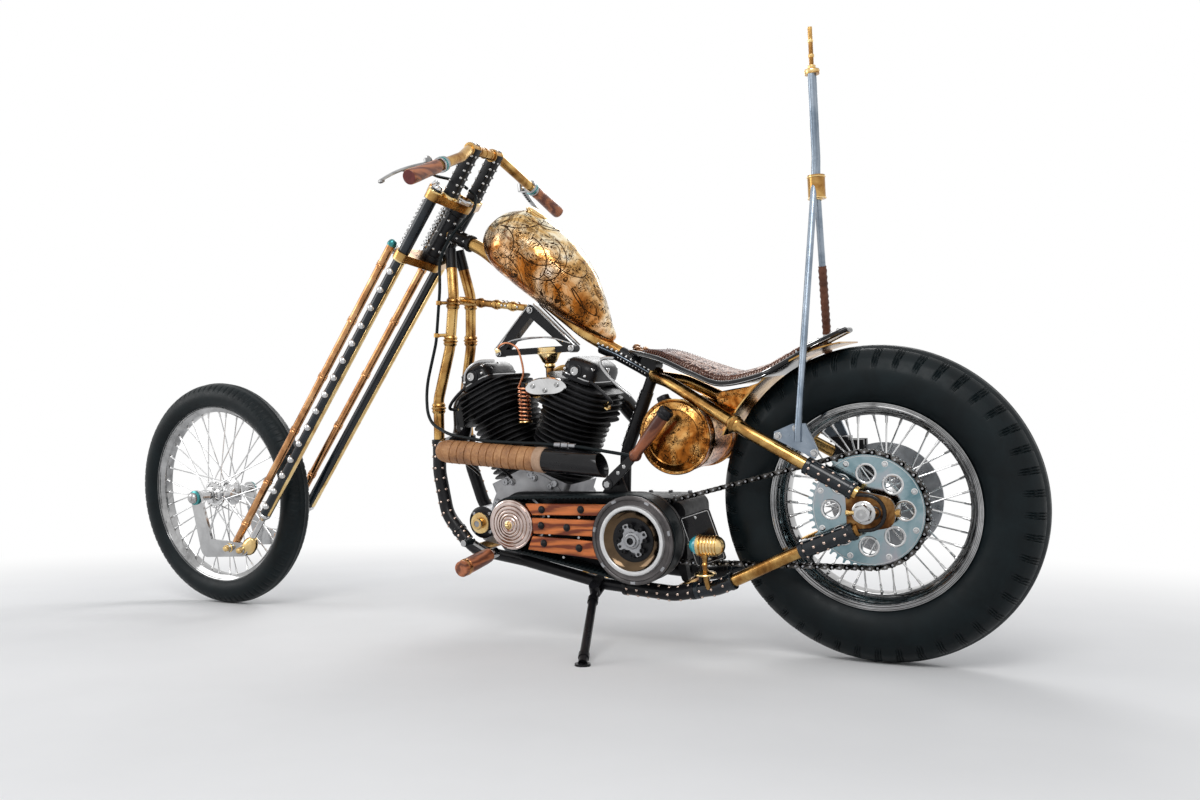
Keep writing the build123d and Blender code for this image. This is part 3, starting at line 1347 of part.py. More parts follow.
def tail_lamp():
    """A bullet lamp: a turned, ribbed body with a pointed lens ahead, on a round base over the frame rail."""
    profile = list(LAMP_BACK)
    for along in LAMP_RIBS:
        end = along + LAMP_RIB_WIDTH
        profile += [(LAMP_GROOVE_RADIUS, along), (LAMP_RADIUS, along)]
        profile += [(LAMP_RADIUS, end), (LAMP_GROOVE_RADIUS, end)]
    body = lathed(LAMP, (1, 0, 0), profile + LAMP_LENS)
    low, high = LAMP_BASE_Z
    body += rod((LAMP.X, LAMP.Y, LAMP.Z), (LAMP.X, LAMP.Y, high - 2), LAMP_STEM_RADIUS)
    body += rod((LAMP.X, LAMP.Y, low), (LAMP.X, LAMP.Y, high), LAMP_BASE_RADIUS)
    return body + rod((LAMP.X, LAMP.Y, low + 2), LAMP_ARM_FOOT, LAMP_ARM_RADIUS)


FORK_CABLE = [(984, 206, 1187), on_fork(-137, 40, 112), on_fork(-137, 44, 26), on_fork(-137, 20, 0),
              on_fork(-137, 4, 0)]
FRAME_CABLE = [on_fork(-137, -4, 0), on_fork(-137, -30, 0), on_fork(-108, -58, 16), on_fork(-30, -52, 44),
               (1084, 56, 980), (1080, 66, 900), (1098, 72, 760), (1134, 80, 640), (1112, 108, 556),
               (1020, 142, 522), (900, 152, 505), (760, 152, 498), (640, 152, 488), (503, 152, 466)]
CABLE_RADIUS = 4.0
CABLE_BEND = 200.0
CLIP_HEIGHTS = (862, 778)
CLIP_HALF = 7.0
CLIP_PEG_RADIUS = 5.0


def cable_clips(tube_line, cable_line):
    """Pegs that stand the cable off the downtube, one at each height."""
    clips = []
    half = Vector(0, 0, CLIP_HALF)
    for z in CLIP_HEIGHTS:
        on_tube, on_cable = at_height(*tube_line, z), at_height(*cable_line, z)
        eye = rod(on_cable - half, on_cable + half, 2 * CABLE_RADIUS)
        clips.append(rod(on_tube, on_cable, CLIP_PEG_RADIUS) + eye)
    return clips


def at_height(low, high, z):
    low, high = Vector(*low), Vector(*high)
    return midway(low, high, (z - low.Z) / (high.Z - low.Z))


STAND_PIVOT = Vector(630, 140, 150)
STAND_REACH_X = -80.0
STAND_REACH_Y = 215.0
STAND_FOLDED = Vector(288, 12, 25)
STAND_PAD = 5.0
STAND_PAD_RADIUS = 17.0
STAND_LEG_RADIUS = 10.0
STAND_PIN_RADIUS = 6.0
STAND_BOSS_RADIUS = 12.0
STAND_BOSS_HALF = 9.0
STAND_NECK_FROM = 6.0
STAND_NECK_LENGTH = 26.0
STAND_NECK_OVERLAP = 4.0
STAND_EAR = 5.0
STAND_RAIL = Vector(630, 110, 161)
STAND_ROOM = 120.0


def side_stand_frame():
    """The stand's two directions: down to the ground, and folded forward along the rail."""
    foot_y = STAND_PIVOT.Y + STAND_REACH_Y
    foot_z = foot_y * tan(LEAN) + STAND_PAD / cos(LEAN)
    foot = Vector(STAND_PIVOT.X + STAND_REACH_X, foot_y, foot_z)
    down = foot - STAND_PIVOT
    folded = STAND_FOLDED.normalized()
    axis = down.cross(folded).normalized()
    return foot, down, folded, axis


def stand_leg():
    """The swinging leg: its bored boss, a stepped neck, the leg and the pad cut level with the ground."""
    foot, down, folded, axis = side_stand_frame()
    along = down.normalized()
    boss = rod(STAND_PIVOT - axis * STAND_BOSS_HALF, STAND_PIVOT + axis * STAND_BOSS_HALF, STAND_BOSS_RADIUS)
    start = STAND_PIVOT + along * STAND_NECK_FROM
    leg = rod(start, start + along * STAND_NECK_LENGTH, STAND_BOSS_HALF - 1)
    leg += rod(start + along * (STAND_NECK_LENGTH - STAND_NECK_OVERLAP), foot, STAND_LEG_RADIUS)
    up = Vector(0, -sin(LEAN), cos(LEAN))
    pad = rod(foot - up * STAND_PAD, foot, STAND_PAD_RADIUS)
    ground = Plane(origin=foot - up * STAND_PAD, z_dir=-up)
    body = boss + leg + pad - ground * Box(STAND_ROOM, STAND_ROOM, STAND_ROOM / 2, align=ON_PLANE)
    pin = 2 * STAND_BOSS_HALF
    return body - rod(STAND_PIVOT - axis * pin, STAND_PIVOT + axis * pin, STAND_PIN_RADIUS + FIT)


def stand_bracket():
    """Two ears on the lower rail with the pin that the stand swings on."""
    foot, down, folded, axis = side_stand_frame()
    inward = STAND_RAIL - STAND_PIVOT
    inward = inward - axis * inward.dot(axis)
    gap = STAND_BOSS_HALF + SKIN
    pin_end = axis * (gap + STAND_EAR)
    body = rod(STAND_PIVOT - pin_end, STAND_PIVOT + pin_end, STAND_PIN_RADIUS)
    for low in (-gap - STAND_EAR, gap):
        base = Plane(origin=STAND_PIVOT + axis * low, x_dir=inward.normalized(), z_dir=axis)
        lobe = Circle(STAND_BOSS_RADIUS)
        ear = make_hull([lobe.edge(), (Pos(inward.length, 0) * lobe).edge()])
        body += base * extrude(ear, STAND_EAR)
    return body


CALIPER_X = 70.0
CALIPER_RISE = 108.0
CALIPER_SIZE = (64, 44, 50)
CALIPER_SLOT_GAP = 5.0
CALIPER_SLOT_LENGTH = 80.0
CALIPER_SLOT_HEIGHT = 60.0
BRIDGE_SIZE = (40, 44, 12)
BRIDGE_PLACE = (22, 26)
CALIPER_ARM = ((80, -106, -12), (86, -124))
CALIPER_ARM_TOP = 79.5
CALIPER_ARM_RADIUS = 8.0


def rear_caliper():
    """The brake caliper over the rotor, on an arm from the right seat stay."""
    z = REAR_AXLE_Z + CALIPER_RISE
    block = Pos(CALIPER_X, DISC_Y, z) * Box(*CALIPER_SIZE)
    slot = Box(CALIPER_SLOT_LENGTH, DISC_THICKNESS + 2 * CALIPER_SLOT_GAP, CALIPER_SLOT_HEIGHT)
    ahead, above = BRIDGE_PLACE
    bridge = Pos(CALIPER_X + ahead, DISC_Y, z + above) * Box(*BRIDGE_SIZE)
    (foot_x, foot_y, drop), (top_x, top_y) = CALIPER_ARM
    arm = rod((foot_x, foot_y, z + drop), (top_x, top_y, REAR_AXLE_Z + CALIPER_ARM_TOP), CALIPER_ARM_RADIUS)
    return block - Pos(CALIPER_X, DISC_Y, z) * slot + bridge + arm


# Assembly: pieces that meet are cut to each other, in this order

def cut(shape, *others):
    """Take the neighbours' volume out of a piece, so that the two meet face to face."""
    for other in others:
        shape = shape - other
    return shape


def pair(piece):
    """A left piece and its mirror image on the right."""
    return [piece, mirror_y(piece)]


parts = {}

parts["rear_tyre"] = tyre(REAR_AXLE, REAR_TYRE_RADIUS, REAR_TYRE_SECTION, REAR_RIM_RADIUS, REAR_RIM_HALF)
parts["rear_wheel"] = wire_wheel(REAR_AXLE, REAR_RIM_RADIUS, REAR_RIM_HALF, REAR_HUB_RADIUS, REAR_HUB_HALF,
                                 REAR_FLANGE_RADIUS, REAR_FLANGE_Y, REAR_AXLE_RADIUS)
parts["rear_sprocket"] = rear_sprocket()
parts["rear_brake_disc"] = brake_disc()
parts["front_tyre"] = tyre(FRONT_AXLE, FRONT_TYRE_RADIUS, FRONT_TYRE_SECTION, FRONT_RIM_RADIUS,
                           FRONT_RIM_HALF)
parts["front_wheel"] = wire_wheel(FRONT_AXLE, FRONT_RIM_RADIUS, FRONT_RIM_HALF, FRONT_HUB_RADIUS,
                                  FRONT_HUB_HALF, FRONT_FLANGE_RADIUS, FRONT_FLANGE_Y, FRONT_AXLE_RADIUS)

neck, spine, plate = headstock(), backbone(), axle_plate()
down_left = cut(downtube(), neck, spine)
rail_left = lower_rail()
stay_low = cut(chain_stay(), plate)
right_side = Pos(0, -BEYOND / 2, BEYOND / 2) * Box(2 * BEYOND, BEYOND - 2 * SKIN, BEYOND)
stay_high = cut(seat_stay(), spine, plate) - right_side
parts["headstock"] = neck - head_bore()
parts["backbone"] = cut(spine, neck)
cable = tube(FRAME_CABLE, CABLE_RADIUS, CABLE_BEND)
clips = cable_clips((CRADLE["knuckle"], CRADLE["upper"]), (FRAME_CABLE[6], FRAME_CABLE[5]))
parts["downtubes"] = [cut(down_left + clips[0] + clips[1], cable), mirror_y(down_left)]
rail_with_ears = rail_left + stand_bracket()
parts["lower_rails"] = [rail_with_ears, mirror_y(rail_left)]
parts["chain_stays"] = pair(stay_low)
parts["seat_stays"] = pair(stay_high)
parts["axle_plates"] = pair(plate)
parts["rear_axle"] = cut(rear_axle(), *pair(plate))
bars = []
for bar in cross_tubes():
    bars.append(cut(bar, rail_with_ears, mirror_y(rail_left), *pair(down_left), *pair(stay_high)))
post = cut(tube(SEAT_POST_POINTS, TUBE_RADIUS), spine, *pair(stay_high), *bars)
parts["seat_post"] = post

front_cylinder, rear_cylinder = cylinder(1), cylinder(-1)
cylinders = [front_cylinder, rear_cylinder]
starter = generator()
case = crankcase()
for lug in engine_lugs():
    case += lug
case = cut(case, starter, *cylinders, *bars)
parts["crankcase"] = case
parts["cylinders"] = cylinders
parts["generator"] = starter
mount = cut(top_mount(), *cylinders)
parts["top_mount"] = mount
parts["cross_tubes"] = bars + [cut(top_crossbar(), *pair(down_left), mount)]
parts["intake"] = cut(intake(), mount, *cylinders)
parts["ignition_coil"] = cut(ignition_coil(), *cylinders)
parts["gearbox"] = cut(gearbox() + gearbox_sprocket(), post, *bars)
inner_plate = cut(primary_plate() + shifter_bracket(), case, parts["gearbox"])
parts["primary_plate"] = inner_plate
parts["primary_slats"] = primary_slats()
parts["primary_belt"] = primary_belt()
parts["front_pulley"] = front_pulley()
parts["clutch"] = clutch()
parts["final_chain"] = final_chain()
parts["oil_tank"] = cut(oil_tank(), post, *pair(stay_high))
parts["fuel_tank"] = cut(fuel_tank(), spine, *pair(down_left))
fender = cut(rear_fender(), *bars)
fender_room = slab(Circle(FENDER_RADIUS + FENDER_WALL), -SEAT_ROOM_HALF, SEAT_ROOM_HALF)
saddle = cut(seat(), Pos(0, 0, REAR_AXLE_Z) * fender_room)
parts["rear_fender"] = fender
parts["seat"] = saddle
parts["seat_bracket"] = cut(seat_bracket(), spine, saddle, fender, *pair(stay_high))
sissy_left = cut(sissy_side(), stay_high)
parts["sissy_legs"] = pair(sissy_left)
parts["sissy_mast"] = [cut(piece, *pair(sissy_left)) for piece in sissy_mast()]
parts["exhausts"] = [cut(left_exhaust(), front_cylinder), cut(right_exhaust(), rear_cylinder, post)]
parts["hand_shifter"] = cut(hand_shifter(), inner_plate)
parts["foot_controls"] = pair(cut(foot_control(), rail_left))
parts["number_plate"] = cut(number_plate(), stay_low)
parts["tail_lamp"] = cut(tail_lamp(), stay_low, parts["number_plate"])
parts["clutch_cable"] = cut(cable, parts["hand_shifter"])
parts["rear_caliper"] = cut(rear_caliper(), mirror_y(stay_high))

leg_rear, leg_front = rear_leg(), front_leg()
legs = pair(leg_rear) + pair(leg_front)
stem = rod(on_fork(-HEAD_LENGTH, 0), on_fork(HEAD_LENGTH / 2, 0), STEM_RADIUS)
bars_tube, bridge, wheel_axle = handlebar(), spring_bridge(), front_axle()
upper = cut(upper_crown(), stem, *legs)
left_grip = cut(grip(), bars_tube)
left_lever = cut(lever(), bars_tube, left_grip)
parts["fork_rear_legs"] = pair(leg_rear)
parts["fork_front_legs"] = pair(leg_front)
parts["lower_crown"] = cut(lower_crown(), *legs)
parts["upper_crown"] = upper
parts["spring_bridge"] = cut(bridge, *legs)
parts["fork_springs"] = [cut(spring, bridge, upper) for spring in fork_springs()]
parts["rockers"] = pair(cut(rocker(), wheel_axle, leg_rear, leg_front))
parts["front_axle"] = wheel_axle
parts["risers"] = pair(cut(riser(), bars_tube, upper))
parts["handlebar"] = bars_tube
parts["grips"] = pair(left_grip)
parts["levers"] = pair(left_lever)
parts["lever_cable"] = cut(tube(FORK_CABLE, CABLE_RADIUS, CABLE_BEND), left_lever, bars_tube)
parts["side_stand"] = stand_leg()

# The machine leans to its left, and its box's bottom centre becomes the origin

def whole(shape):
    return Compound(children=list(shape)) if isinstance(shape, (list, tuple, ShapeList)) else shape


leaned = {name: Rot(-LEAN_DEG, 0, 0) * whole(shape) for name, shape in parts.items()}
boxes = [shape.bounding_box() for shape in leaned.values()]
low_x, high_x = min(b.min.X for b in boxes), max(b.max.X for b in boxes)
low_y, high_y = min(b.min.Y for b in boxes), max(b.max.Y for b in boxes)
ORIGIN = Vector((low_x + high_x) / 2, (low_y + high_y) / 2, min(b.min.Z for b in boxes))

os.makedirs("parts", exist_ok=True)
for name, shape in leaned.items():
    export_step(shape.moved(Location(-ORIGIN)), "parts/" + name + ".step")
print("nodes", len(leaned), "origin", ORIGIN)
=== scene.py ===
import math
import bmesh
import bpy
from mathutils import Matrix, Vector


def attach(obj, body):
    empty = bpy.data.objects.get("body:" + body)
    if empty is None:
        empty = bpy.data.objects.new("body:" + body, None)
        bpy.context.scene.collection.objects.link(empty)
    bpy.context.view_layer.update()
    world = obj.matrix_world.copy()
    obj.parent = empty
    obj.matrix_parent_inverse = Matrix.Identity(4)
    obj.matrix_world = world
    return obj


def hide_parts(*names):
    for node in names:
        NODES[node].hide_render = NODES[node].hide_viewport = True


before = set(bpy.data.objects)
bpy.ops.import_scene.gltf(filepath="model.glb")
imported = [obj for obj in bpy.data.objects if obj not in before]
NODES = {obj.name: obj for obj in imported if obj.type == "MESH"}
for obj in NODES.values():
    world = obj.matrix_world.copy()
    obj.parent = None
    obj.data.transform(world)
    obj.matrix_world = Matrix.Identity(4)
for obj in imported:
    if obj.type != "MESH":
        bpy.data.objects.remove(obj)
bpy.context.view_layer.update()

# The machine was drawn upright in millimetres, then leaned and shifted; these repeat that placing
LEAN = math.radians(7.0)
SHIFT = Vector((1008.5, 124.974, 0.0))
LEAN_TURN = Matrix.Rotation(-LEAN, 3, "X")
RAKE = math.radians(39.0)
HEAD = Vector((1104.0, 0.0, 1050.0))
AXIS_DOWN = Vector((math.sin(RAKE), 0.0, -math.cos(RAKE)))
AXIS_FRONT = Vector((math.cos(RAKE), 0.0, math.sin(RAKE)))
ACROSS = Vector((0.0, 1.0, 0.0))
UP = Vector((0.0, 0.0, 1.0))
SIDES = (1, -1)


def place(point):
    """A point of the upright machine, in mm, as a point of the scene, in metres."""
    return (LEAN_TURN @ Vector(point) - SHIFT) / 1000.0


def upright(point):
    """The other way: a point of the scene as a point of the upright machine."""
    return LEAN_TURN.inverted() @ (Vector(point) * 1000.0 + SHIFT)


def turn(direction):
    """A direction of the upright machine as a direction of the scene."""
    return (LEAN_TURN @ Vector(direction)).normalized()


def on_fork(s, d, y=0.0):
    """A point s down the steering axis, d in front of it and y across."""
    return HEAD + AXIS_DOWN * s + AXIS_FRONT * d + Vector((0.0, y, 0.0))


# Camera, solved from both wheels' outlines in the photograph

CAMERA_AT = (-455.963, 2105.307, 664.304)
CAMERA_YAW = math.radians(27.968)
CAMERA_PITCH = math.radians(1.777)
CAMERA_ROLL = math.radians(-3.201)
FOCAL_SHARE = 964.6275 / 1200.0
SENSOR = 36.0


def add_camera():
    level = math.cos(CAMERA_PITCH)
    ahead = Vector((math.sin(CAMERA_YAW) * level, -math.cos(CAMERA_YAW) * level, -math.sin(CAMERA_PITCH)))
    flat_right = ahead.cross(Vector((0, 0, 1))).normalized()
    flat_up = flat_right.cross(ahead)
    right = flat_right * math.cos(CAMERA_ROLL) + flat_up * math.sin(CAMERA_ROLL)
    up = flat_up * math.cos(CAMERA_ROLL) - flat_right * math.sin(CAMERA_ROLL)
    data = bpy.data.cameras.new("camera")
    data.sensor_width = SENSOR
    data.lens = FOCAL_SHARE * SENSOR
    data.clip_end = 100.0
    camera = bpy.data.objects.new("camera", data)
    bpy.context.scene.collection.objects.link(camera)
    basis = Matrix((turn(right), turn(up), turn(-ahead))).transposed().to_4x4()
    basis.translation = place(CAMERA_AT)
    camera.matrix_world = basis
    bpy.context.scene.camera = camera


add_camera()


# Materials

def grey(value):
    return (value, value, value)


def wire(tree, node, inputs):
    """Give a node's sockets their values: another node's output, a number or a plain colour."""
    for key, value in inputs.items():
        socket = node.inputs[key]
        if isinstance(value, bpy.types.NodeSocket):
            tree.links.new(value, socket)
        elif socket.type == "RGBA":
            socket.default_value = (*value, 1.0)
        else:
            socket.default_value = value


def add(tree, kind, inputs=None, **settings):
    node = tree.nodes.new(kind)
    for key, value in settings.items():
        setattr(node, key, value)
    wire(tree, node, inputs or {})
    return node


def material(name, metallic=0.0, roughness=0.5, colour=(0.8, 0.8, 0.8), coat=0.0):
    mat = bpy.data.materials.new(name)
    mat.use_nodes = True
    tree = mat.node_tree
    shader = tree.nodes["Principled BSDF"]
    wire(tree, shader,
         {"Metallic": metallic, "Roughness": roughness, "Base Color": colour, "Coat Weight": coat})
    return mat, tree, shader


def coordinates(tree, scale=(1, 1, 1)):
    where = add(tree, "ShaderNodeTexCoord")
    inputs = {"Vector": where.outputs["Object"], "Scale": scale}
    return add(tree, "ShaderNodeMapping", inputs).outputs["Vector"]


def noise(tree, vector, scale, detail=4.0, roughness=0.55, distortion=0.0):
    inputs = {"Vector": vector, "Scale": scale, "Detail": detail, "Roughness": roughness,
              "Distortion": distortion}
    return add(tree, "ShaderNodeTexNoise", inputs).outputs["Fac"]


def ramp(tree, value, stops):
    """Colours along a value; each stop is a place with a colour, or with a number for a grey."""
    node = add(tree, "ShaderNodeValToRGB", {"Fac": value})
    points = node.color_ramp.elements
    while len(points) < len(stops):
        points.new(0.5)
    for point, (at, colour) in zip(points, stops):
        point.position = at
        point.color = (*(grey(colour) if isinstance(colour, float) else colour), 1.0)
    return node.outputs["Color"]


def mix(tree, share, one, two, kind="MIX"):
    """Two colours mixed; each input is a socket, a number for the share, or a plain colour."""
    node = add(tree, "ShaderNodeMix", {0: share, 6: one, 7: two}, data_type="RGBA", blend_type=kind)
    return node.outputs[2]


def maths(tree, operation, *values, clamp=False):
    """A sum that the shader works out from sockets and plain numbers."""
    node = add(tree, "ShaderNodeMath", dict(enumerate(values)), operation=operation, use_clamp=clamp)
    return node.outputs[0]


def span(tree, value, low, high, kind="LINEAR"):
    """Nought at the low value, one at the high one."""
    inputs = {"Value": value, "From Min": low, "From Max": high}
    return add(tree, "ShaderNodeMapRange", inputs, interpolation_type=kind).outputs["Result"]


def bump(tree, shader, height, strength, distance):
    node = add(tree, "ShaderNodeBump", {"Strength": strength, "Distance": distance, "Height": height})
    wire(tree, shader, {"Normal": node.outputs["Normal"]})


def curls(tree, at, scale, distortion, turns):
    """Noise folded back and forth, so that its low values draw thin curled lines."""
    waves = maths(tree, "MULTIPLY", noise(tree, at, scale, 1.5, 0.5, distortion), turns)
    return maths(tree, "PINGPONG", waves, 0.5)


def worn_metal(name, stops, roughness, patch=14.0, grain=220.0, strength=0.12, metallic=1.0, sheen=0.5):
    """Metal with patches of colour, fine scratches and a broken shine."""
    mat, tree, shader = material(name, metallic)
    at = coordinates(tree)
    colour = ramp(tree, noise(tree, at, patch, 8.0, 0.62, 0.6), stops)
    shine = ramp(tree, noise(tree, at, patch * 3.1, 6.0, 0.6), [(0.3, roughness[0]), (0.75, roughness[1])])
    wire(tree, shader, {"Specular IOR Level": sheen, "Base Color": colour, "Roughness": shine})
    bump(tree, shader, noise(tree, at, grain, 3.0), strength, 0.0006)
    return mat


def wood(name, along, light, dark):
    """Oiled red-brown wood with its grain along one direction."""
    mat, tree, shader = material(name, 0.0, 0.35, coat=0.10)
    at = coordinates(tree, tuple(10.0 if abs(a) > 0.5 else 75.0 for a in along))
    inputs = {"Vector": at, "Scale": 0.32, "Distortion": 9.0, "Detail": 5.0, "Detail Scale": 1.4}
    wave = add(tree, "ShaderNodeTexWave", inputs, wave_type="BANDS", bands_direction="DIAGONAL")
    grain = mix(tree, 0.45, wave.outputs["Color"], noise(tree, at, 2.2, 8.0, 0.7))
    colour = ramp(tree, grain, [(0.30, dark), (0.5, tuple(0.6 * c for c in light)), (0.82, light)])
    wire(tree, shader, {"Coat Roughness": 0.2, "Specular IOR Level": 0.3, "Base Color": colour})
    bump(tree, shader, grain, 0.25, 0.0004)
    return mat


def plain_leather(name, stops, fibre):
    """Leather or tape with fibres along the winding."""
    mat, tree, shader = material(name, 0.0, 0.55)
    at = coordinates(tree)
    strands = noise(tree, at, fibre, 6.0, 0.75, 2.0)
    both = mix(tree, 0.45, noise(tree, at, 22.0, 6.0, 0.6, 0.4), strands)
    wire(tree, shader, {"Base Color": ramp(tree, both, stops)})
    bump(tree, shader, strands, 0.5, 0.0011)
    return mat


def tooled_leather():
    """Pale tooled leather with dark cut lines of a generic scroll pattern, darker at its front."""
    mat, tree, shader = material("tooled_leather", 0.0, 0.5)
    at = coordinates(tree)
    where = add(tree, "ShaderNodeSeparateXYZ", {"Vector": at})
    cells = add(tree, "ShaderNodeTexVoronoi", {"Scale": 95.0, "Vector": at}, feature="DISTANCE_TO_EDGE")
    lines = ramp(tree, curls(tree, at, 21.0, 1.8, 10.0), [(0.16, 0.0), (0.25, 1.0)])
    specks = ramp(tree, cells.outputs["Distance"], [(0.06, 0.0), (0.16, 1.0)])
    patch = noise(tree, at, 18.0, 6.0)
    some = ramp(tree, patch, [(0.44, 0.0), (0.58, 1.0)])
    cut = mix(tree, 1.0, lines, mix(tree, some, grey(1.0), specks), "MULTIPLY")
    pale = ramp(tree, cut, [(0.10, (0.030, 0.008, 0.006)), (0.40, (0.20, 0.075, 0.050)),
                            (0.70, (0.56, 0.36, 0.28)), (1.0, (0.68, 0.50, 0.42))])
    dark = ramp(tree, cut, [(0.2, (0.010, 0.004, 0.005)), (0.9, (0.10, 0.030, 0.030))])
    ahead = maths(tree, "SUBTRACT", maths(tree, "MULTIPLY_ADD", patch, 0.10, where.outputs["X"]), 0.05)
    front = span(tree, ahead, -0.610, -0.545, "SMOOTHSTEP")
    wire(tree, shader, {"Specular IOR Level": 0.14, "Base Color": mix(tree, front, pale, dark)})
    bump(tree, shader, cut, 0.5, 0.0010)
    return mat


def engraved(name, shaded_stops, lit_stops, roughness, scale, turns, dark_low, dark_high, cover):
    """Brass with dark curled engraving in patches, and painted light by facing: paler up to a painted
    highlight where the surface faces up, deeper and redder as painted shade where it faces down.
    """
    mat, tree, shader = material(name, 1.0, 0.3)
    at = coordinates(tree)
    facing = add(tree, "ShaderNodeSeparateXYZ", {"Vector": add(tree, "ShaderNodeTexCoord").outputs["Normal"]})
    patches = noise(tree, at, 11.0, 8.0, 0.62, 1.2)
    wander = maths(tree, "MULTIPLY_ADD", patches, 2.2, -1.08)
    # Painted light: the normal's height, broken up by noise, picks between the shaded and the lit brass
    painted_light_share = maths(tree, "ADD", span(tree, facing.outputs["Z"], -0.30, 0.75), wander, clamp=True)
    base = mix(tree, painted_light_share, ramp(tree, patches, shaded_stops), ramp(tree, patches, lit_stops))
    fine = noise(tree, at, 150.0, 5.0, 0.7)
    spread = ramp(tree, noise(tree, at, 13.0, 5.0, 0.6, 2.4), [(cover, 0.0), (cover + 0.07, 1.0)])
    lines = ramp(tree, curls(tree, at, scale, 1.6, turns), [(0.16, 1.0), (0.26, 0.0)])
    grain = ramp(tree, fine, [(0.42, 1.0), (0.50, 0.0)])
    cut = mix(tree, 1.0, mix(tree, 0.5, lines, grain, "SCREEN"), spread, "MULTIPLY")
    dark = ramp(tree, fine, [(0.3, dark_low), (0.7, dark_high)])
    rough = ramp(tree, cut, [(0.0, roughness[0]), (1.0, roughness[1])])
    wire(tree, shader, {"Base Color": mix(tree, cut, base, dark), "Roughness": rough})
    bump(tree, shader, cut, 0.14, 0.0005)
    return mat


def teal_glass():
    mat, tree, shader = material("teal_glass", 0.0, 0.06, (0.02, 0.30, 0.36), coat=1.0)
    stains = noise(tree, coordinates(tree), 60.0, 3.0)
    colour = ramp(tree, stains, [(0.3, (0.01, 0.20, 0.27)), (0.7, (0.08, 0.50, 0.56))])
    wire(tree, shader, {"Coat Roughness": 0.03, "Base Color": colour})
    return mat


BRASS = worn_metal("brass_aged", [(0.28, (0.07, 0.027, 0.008)), (0.42, (0.30, 0.145, 0.040)),
                                  (0.58, (0.57, 0.35, 0.12)), (0.78, (0.80, 0.58, 0.26))], (0.16, 0.36))
BRASS_DARK = worn_metal("brass_dark", [(0.3, (0.022, 0.009, 0.004)), (0.48, (0.13, 0.055, 0.018)),
                                       (0.75, (0.46, 0.27, 0.10))], (0.14, 0.32), patch=24.0)
BRASS_LIGHT = worn_metal("brass_polished", [(0.25, (0.46, 0.26, 0.09)), (0.5, (0.78, 0.55, 0.24)),
                                            (0.75, (0.92, 0.74, 0.42))], (0.12, 0.3))
COPPER_BRASS = worn_metal("copper_brass", [(0.25, (0.22, 0.085, 0.035)), (0.5, (0.56, 0.28, 0.12)),
                                           (0.78, (0.80, 0.50, 0.26))], (0.15, 0.34), patch=20.0)
BRONZE = worn_metal("dark_bronze", [(0.3, (0.10, 0.045, 0.022)), (0.7, (0.42, 0.24, 0.13))], (0.18, 0.35))
COPPER = worn_metal("copper", [(0.3, (0.30, 0.10, 0.045)), (0.7, (0.80, 0.36, 0.20))], (0.2, 0.4), patch=30.0)
BLACK = worn_metal("black_satin", [(0.35, (0.003, 0.003, 0.004)), (0.7, (0.011, 0.011, 0.013))], (0.24, 0.45),
                   metallic=0.0, sheen=0.22)
BLACK_FIN = worn_metal("black_fin", [(0.35, (0.005, 0.005, 0.006)), (0.72, (0.022, 0.022, 0.024))],
                       (0.38, 0.58), patch=22.0, metallic=0.0, sheen=0.25)
SLEEVE_BLACK = worn_metal("sleeve_black", [(0.35, (0.004, 0.006, 0.009)), (0.7, (0.013, 0.020, 0.027))],
                          (0.10, 0.22), metallic=0.0, sheen=0.42)
GLOSS_BLACK = worn_metal("gloss_black", [(0.35, (0.006, 0.006, 0.007)), (0.7, (0.014, 0.013, 0.014))],
                         (0.08, 0.2), metallic=0.0, strength=0.04, sheen=0.3)
# Near-black for the right pipe's closed mouth: partly soot, partly painted shade of the pipe's hollow inside
SOOT_AND_SHADE = worn_metal("soot_and_painted_shade", [(0.3, (0.002, 0.002, 0.002)), (0.7, (0.008, 0.007, 0.006))], (0.8, 0.95),
                  metallic=0.0)
CHROME = worn_metal("chrome", [(0.3, 0.34), (0.7, 0.58)], (0.05, 0.14), strength=0.02)
RIM = worn_metal("rim_chrome", [(0.3, 0.20), (0.7, 0.52)], (0.03, 0.10), strength=0.02)
SPOKE = worn_metal("spoke_steel", [(0.3, 0.58), (0.7, 0.78)], (0.12, 0.22), strength=0.02)
POLISHED = worn_metal("polished_steel", [(0.3, 0.5), (0.7, 0.72)], (0.08, 0.2), strength=0.04)
WHITE_RING = worn_metal("bright_ring", [(0.3, 0.60), (0.7, 0.80)], (0.3, 0.42), strength=0.05, metallic=0.7)
PALE_LINE = worn_metal("pale_line", [(0.3, 0.42), (0.7, 0.6)], (0.4, 0.6), metallic=0.0)
RIVET = worn_metal("rivet_steel", [(0.3, (0.44, 0.31, 0.25)), (0.7, (0.74, 0.60, 0.52))], (0.08, 0.18),
                   strength=0.02)
WARM_CHROME = worn_metal("warm_chrome", [(0.3, (0.38, 0.28, 0.25)), (0.7, (0.82, 0.70, 0.65))], (0.05, 0.14),
                         strength=0.02)
STEEL = worn_metal("steel", [(0.3, (0.22, 0.22, 0.23)), (0.7, (0.50, 0.51, 0.53))], (0.22, 0.45))
BLUE_STEEL = worn_metal("blue_steel", [(0.3, (0.13, 0.17, 0.22)), (0.7, (0.34, 0.39, 0.45))], (0.25, 0.45))
DULL_STEEL = worn_metal("dull_steel", [(0.3, (0.055, 0.050, 0.050)), (0.7, (0.16, 0.15, 0.15))], (0.32, 0.5))
DARK_DISH = worn_metal("dark_dish", [(0.3, (0.045, 0.032, 0.022)), (0.7, (0.16, 0.105, 0.06))], (0.10, 0.2),
                       patch=9.0)
SPROCKET_STEEL = worn_metal("sprocket_steel", [(0.36, (0.13, 0.23, 0.26)), (0.52, (0.30, 0.40, 0.43)),
                                               (0.70, (0.50, 0.43, 0.46))], (0.07, 0.18),
                            patch=7.0, strength=0.05)
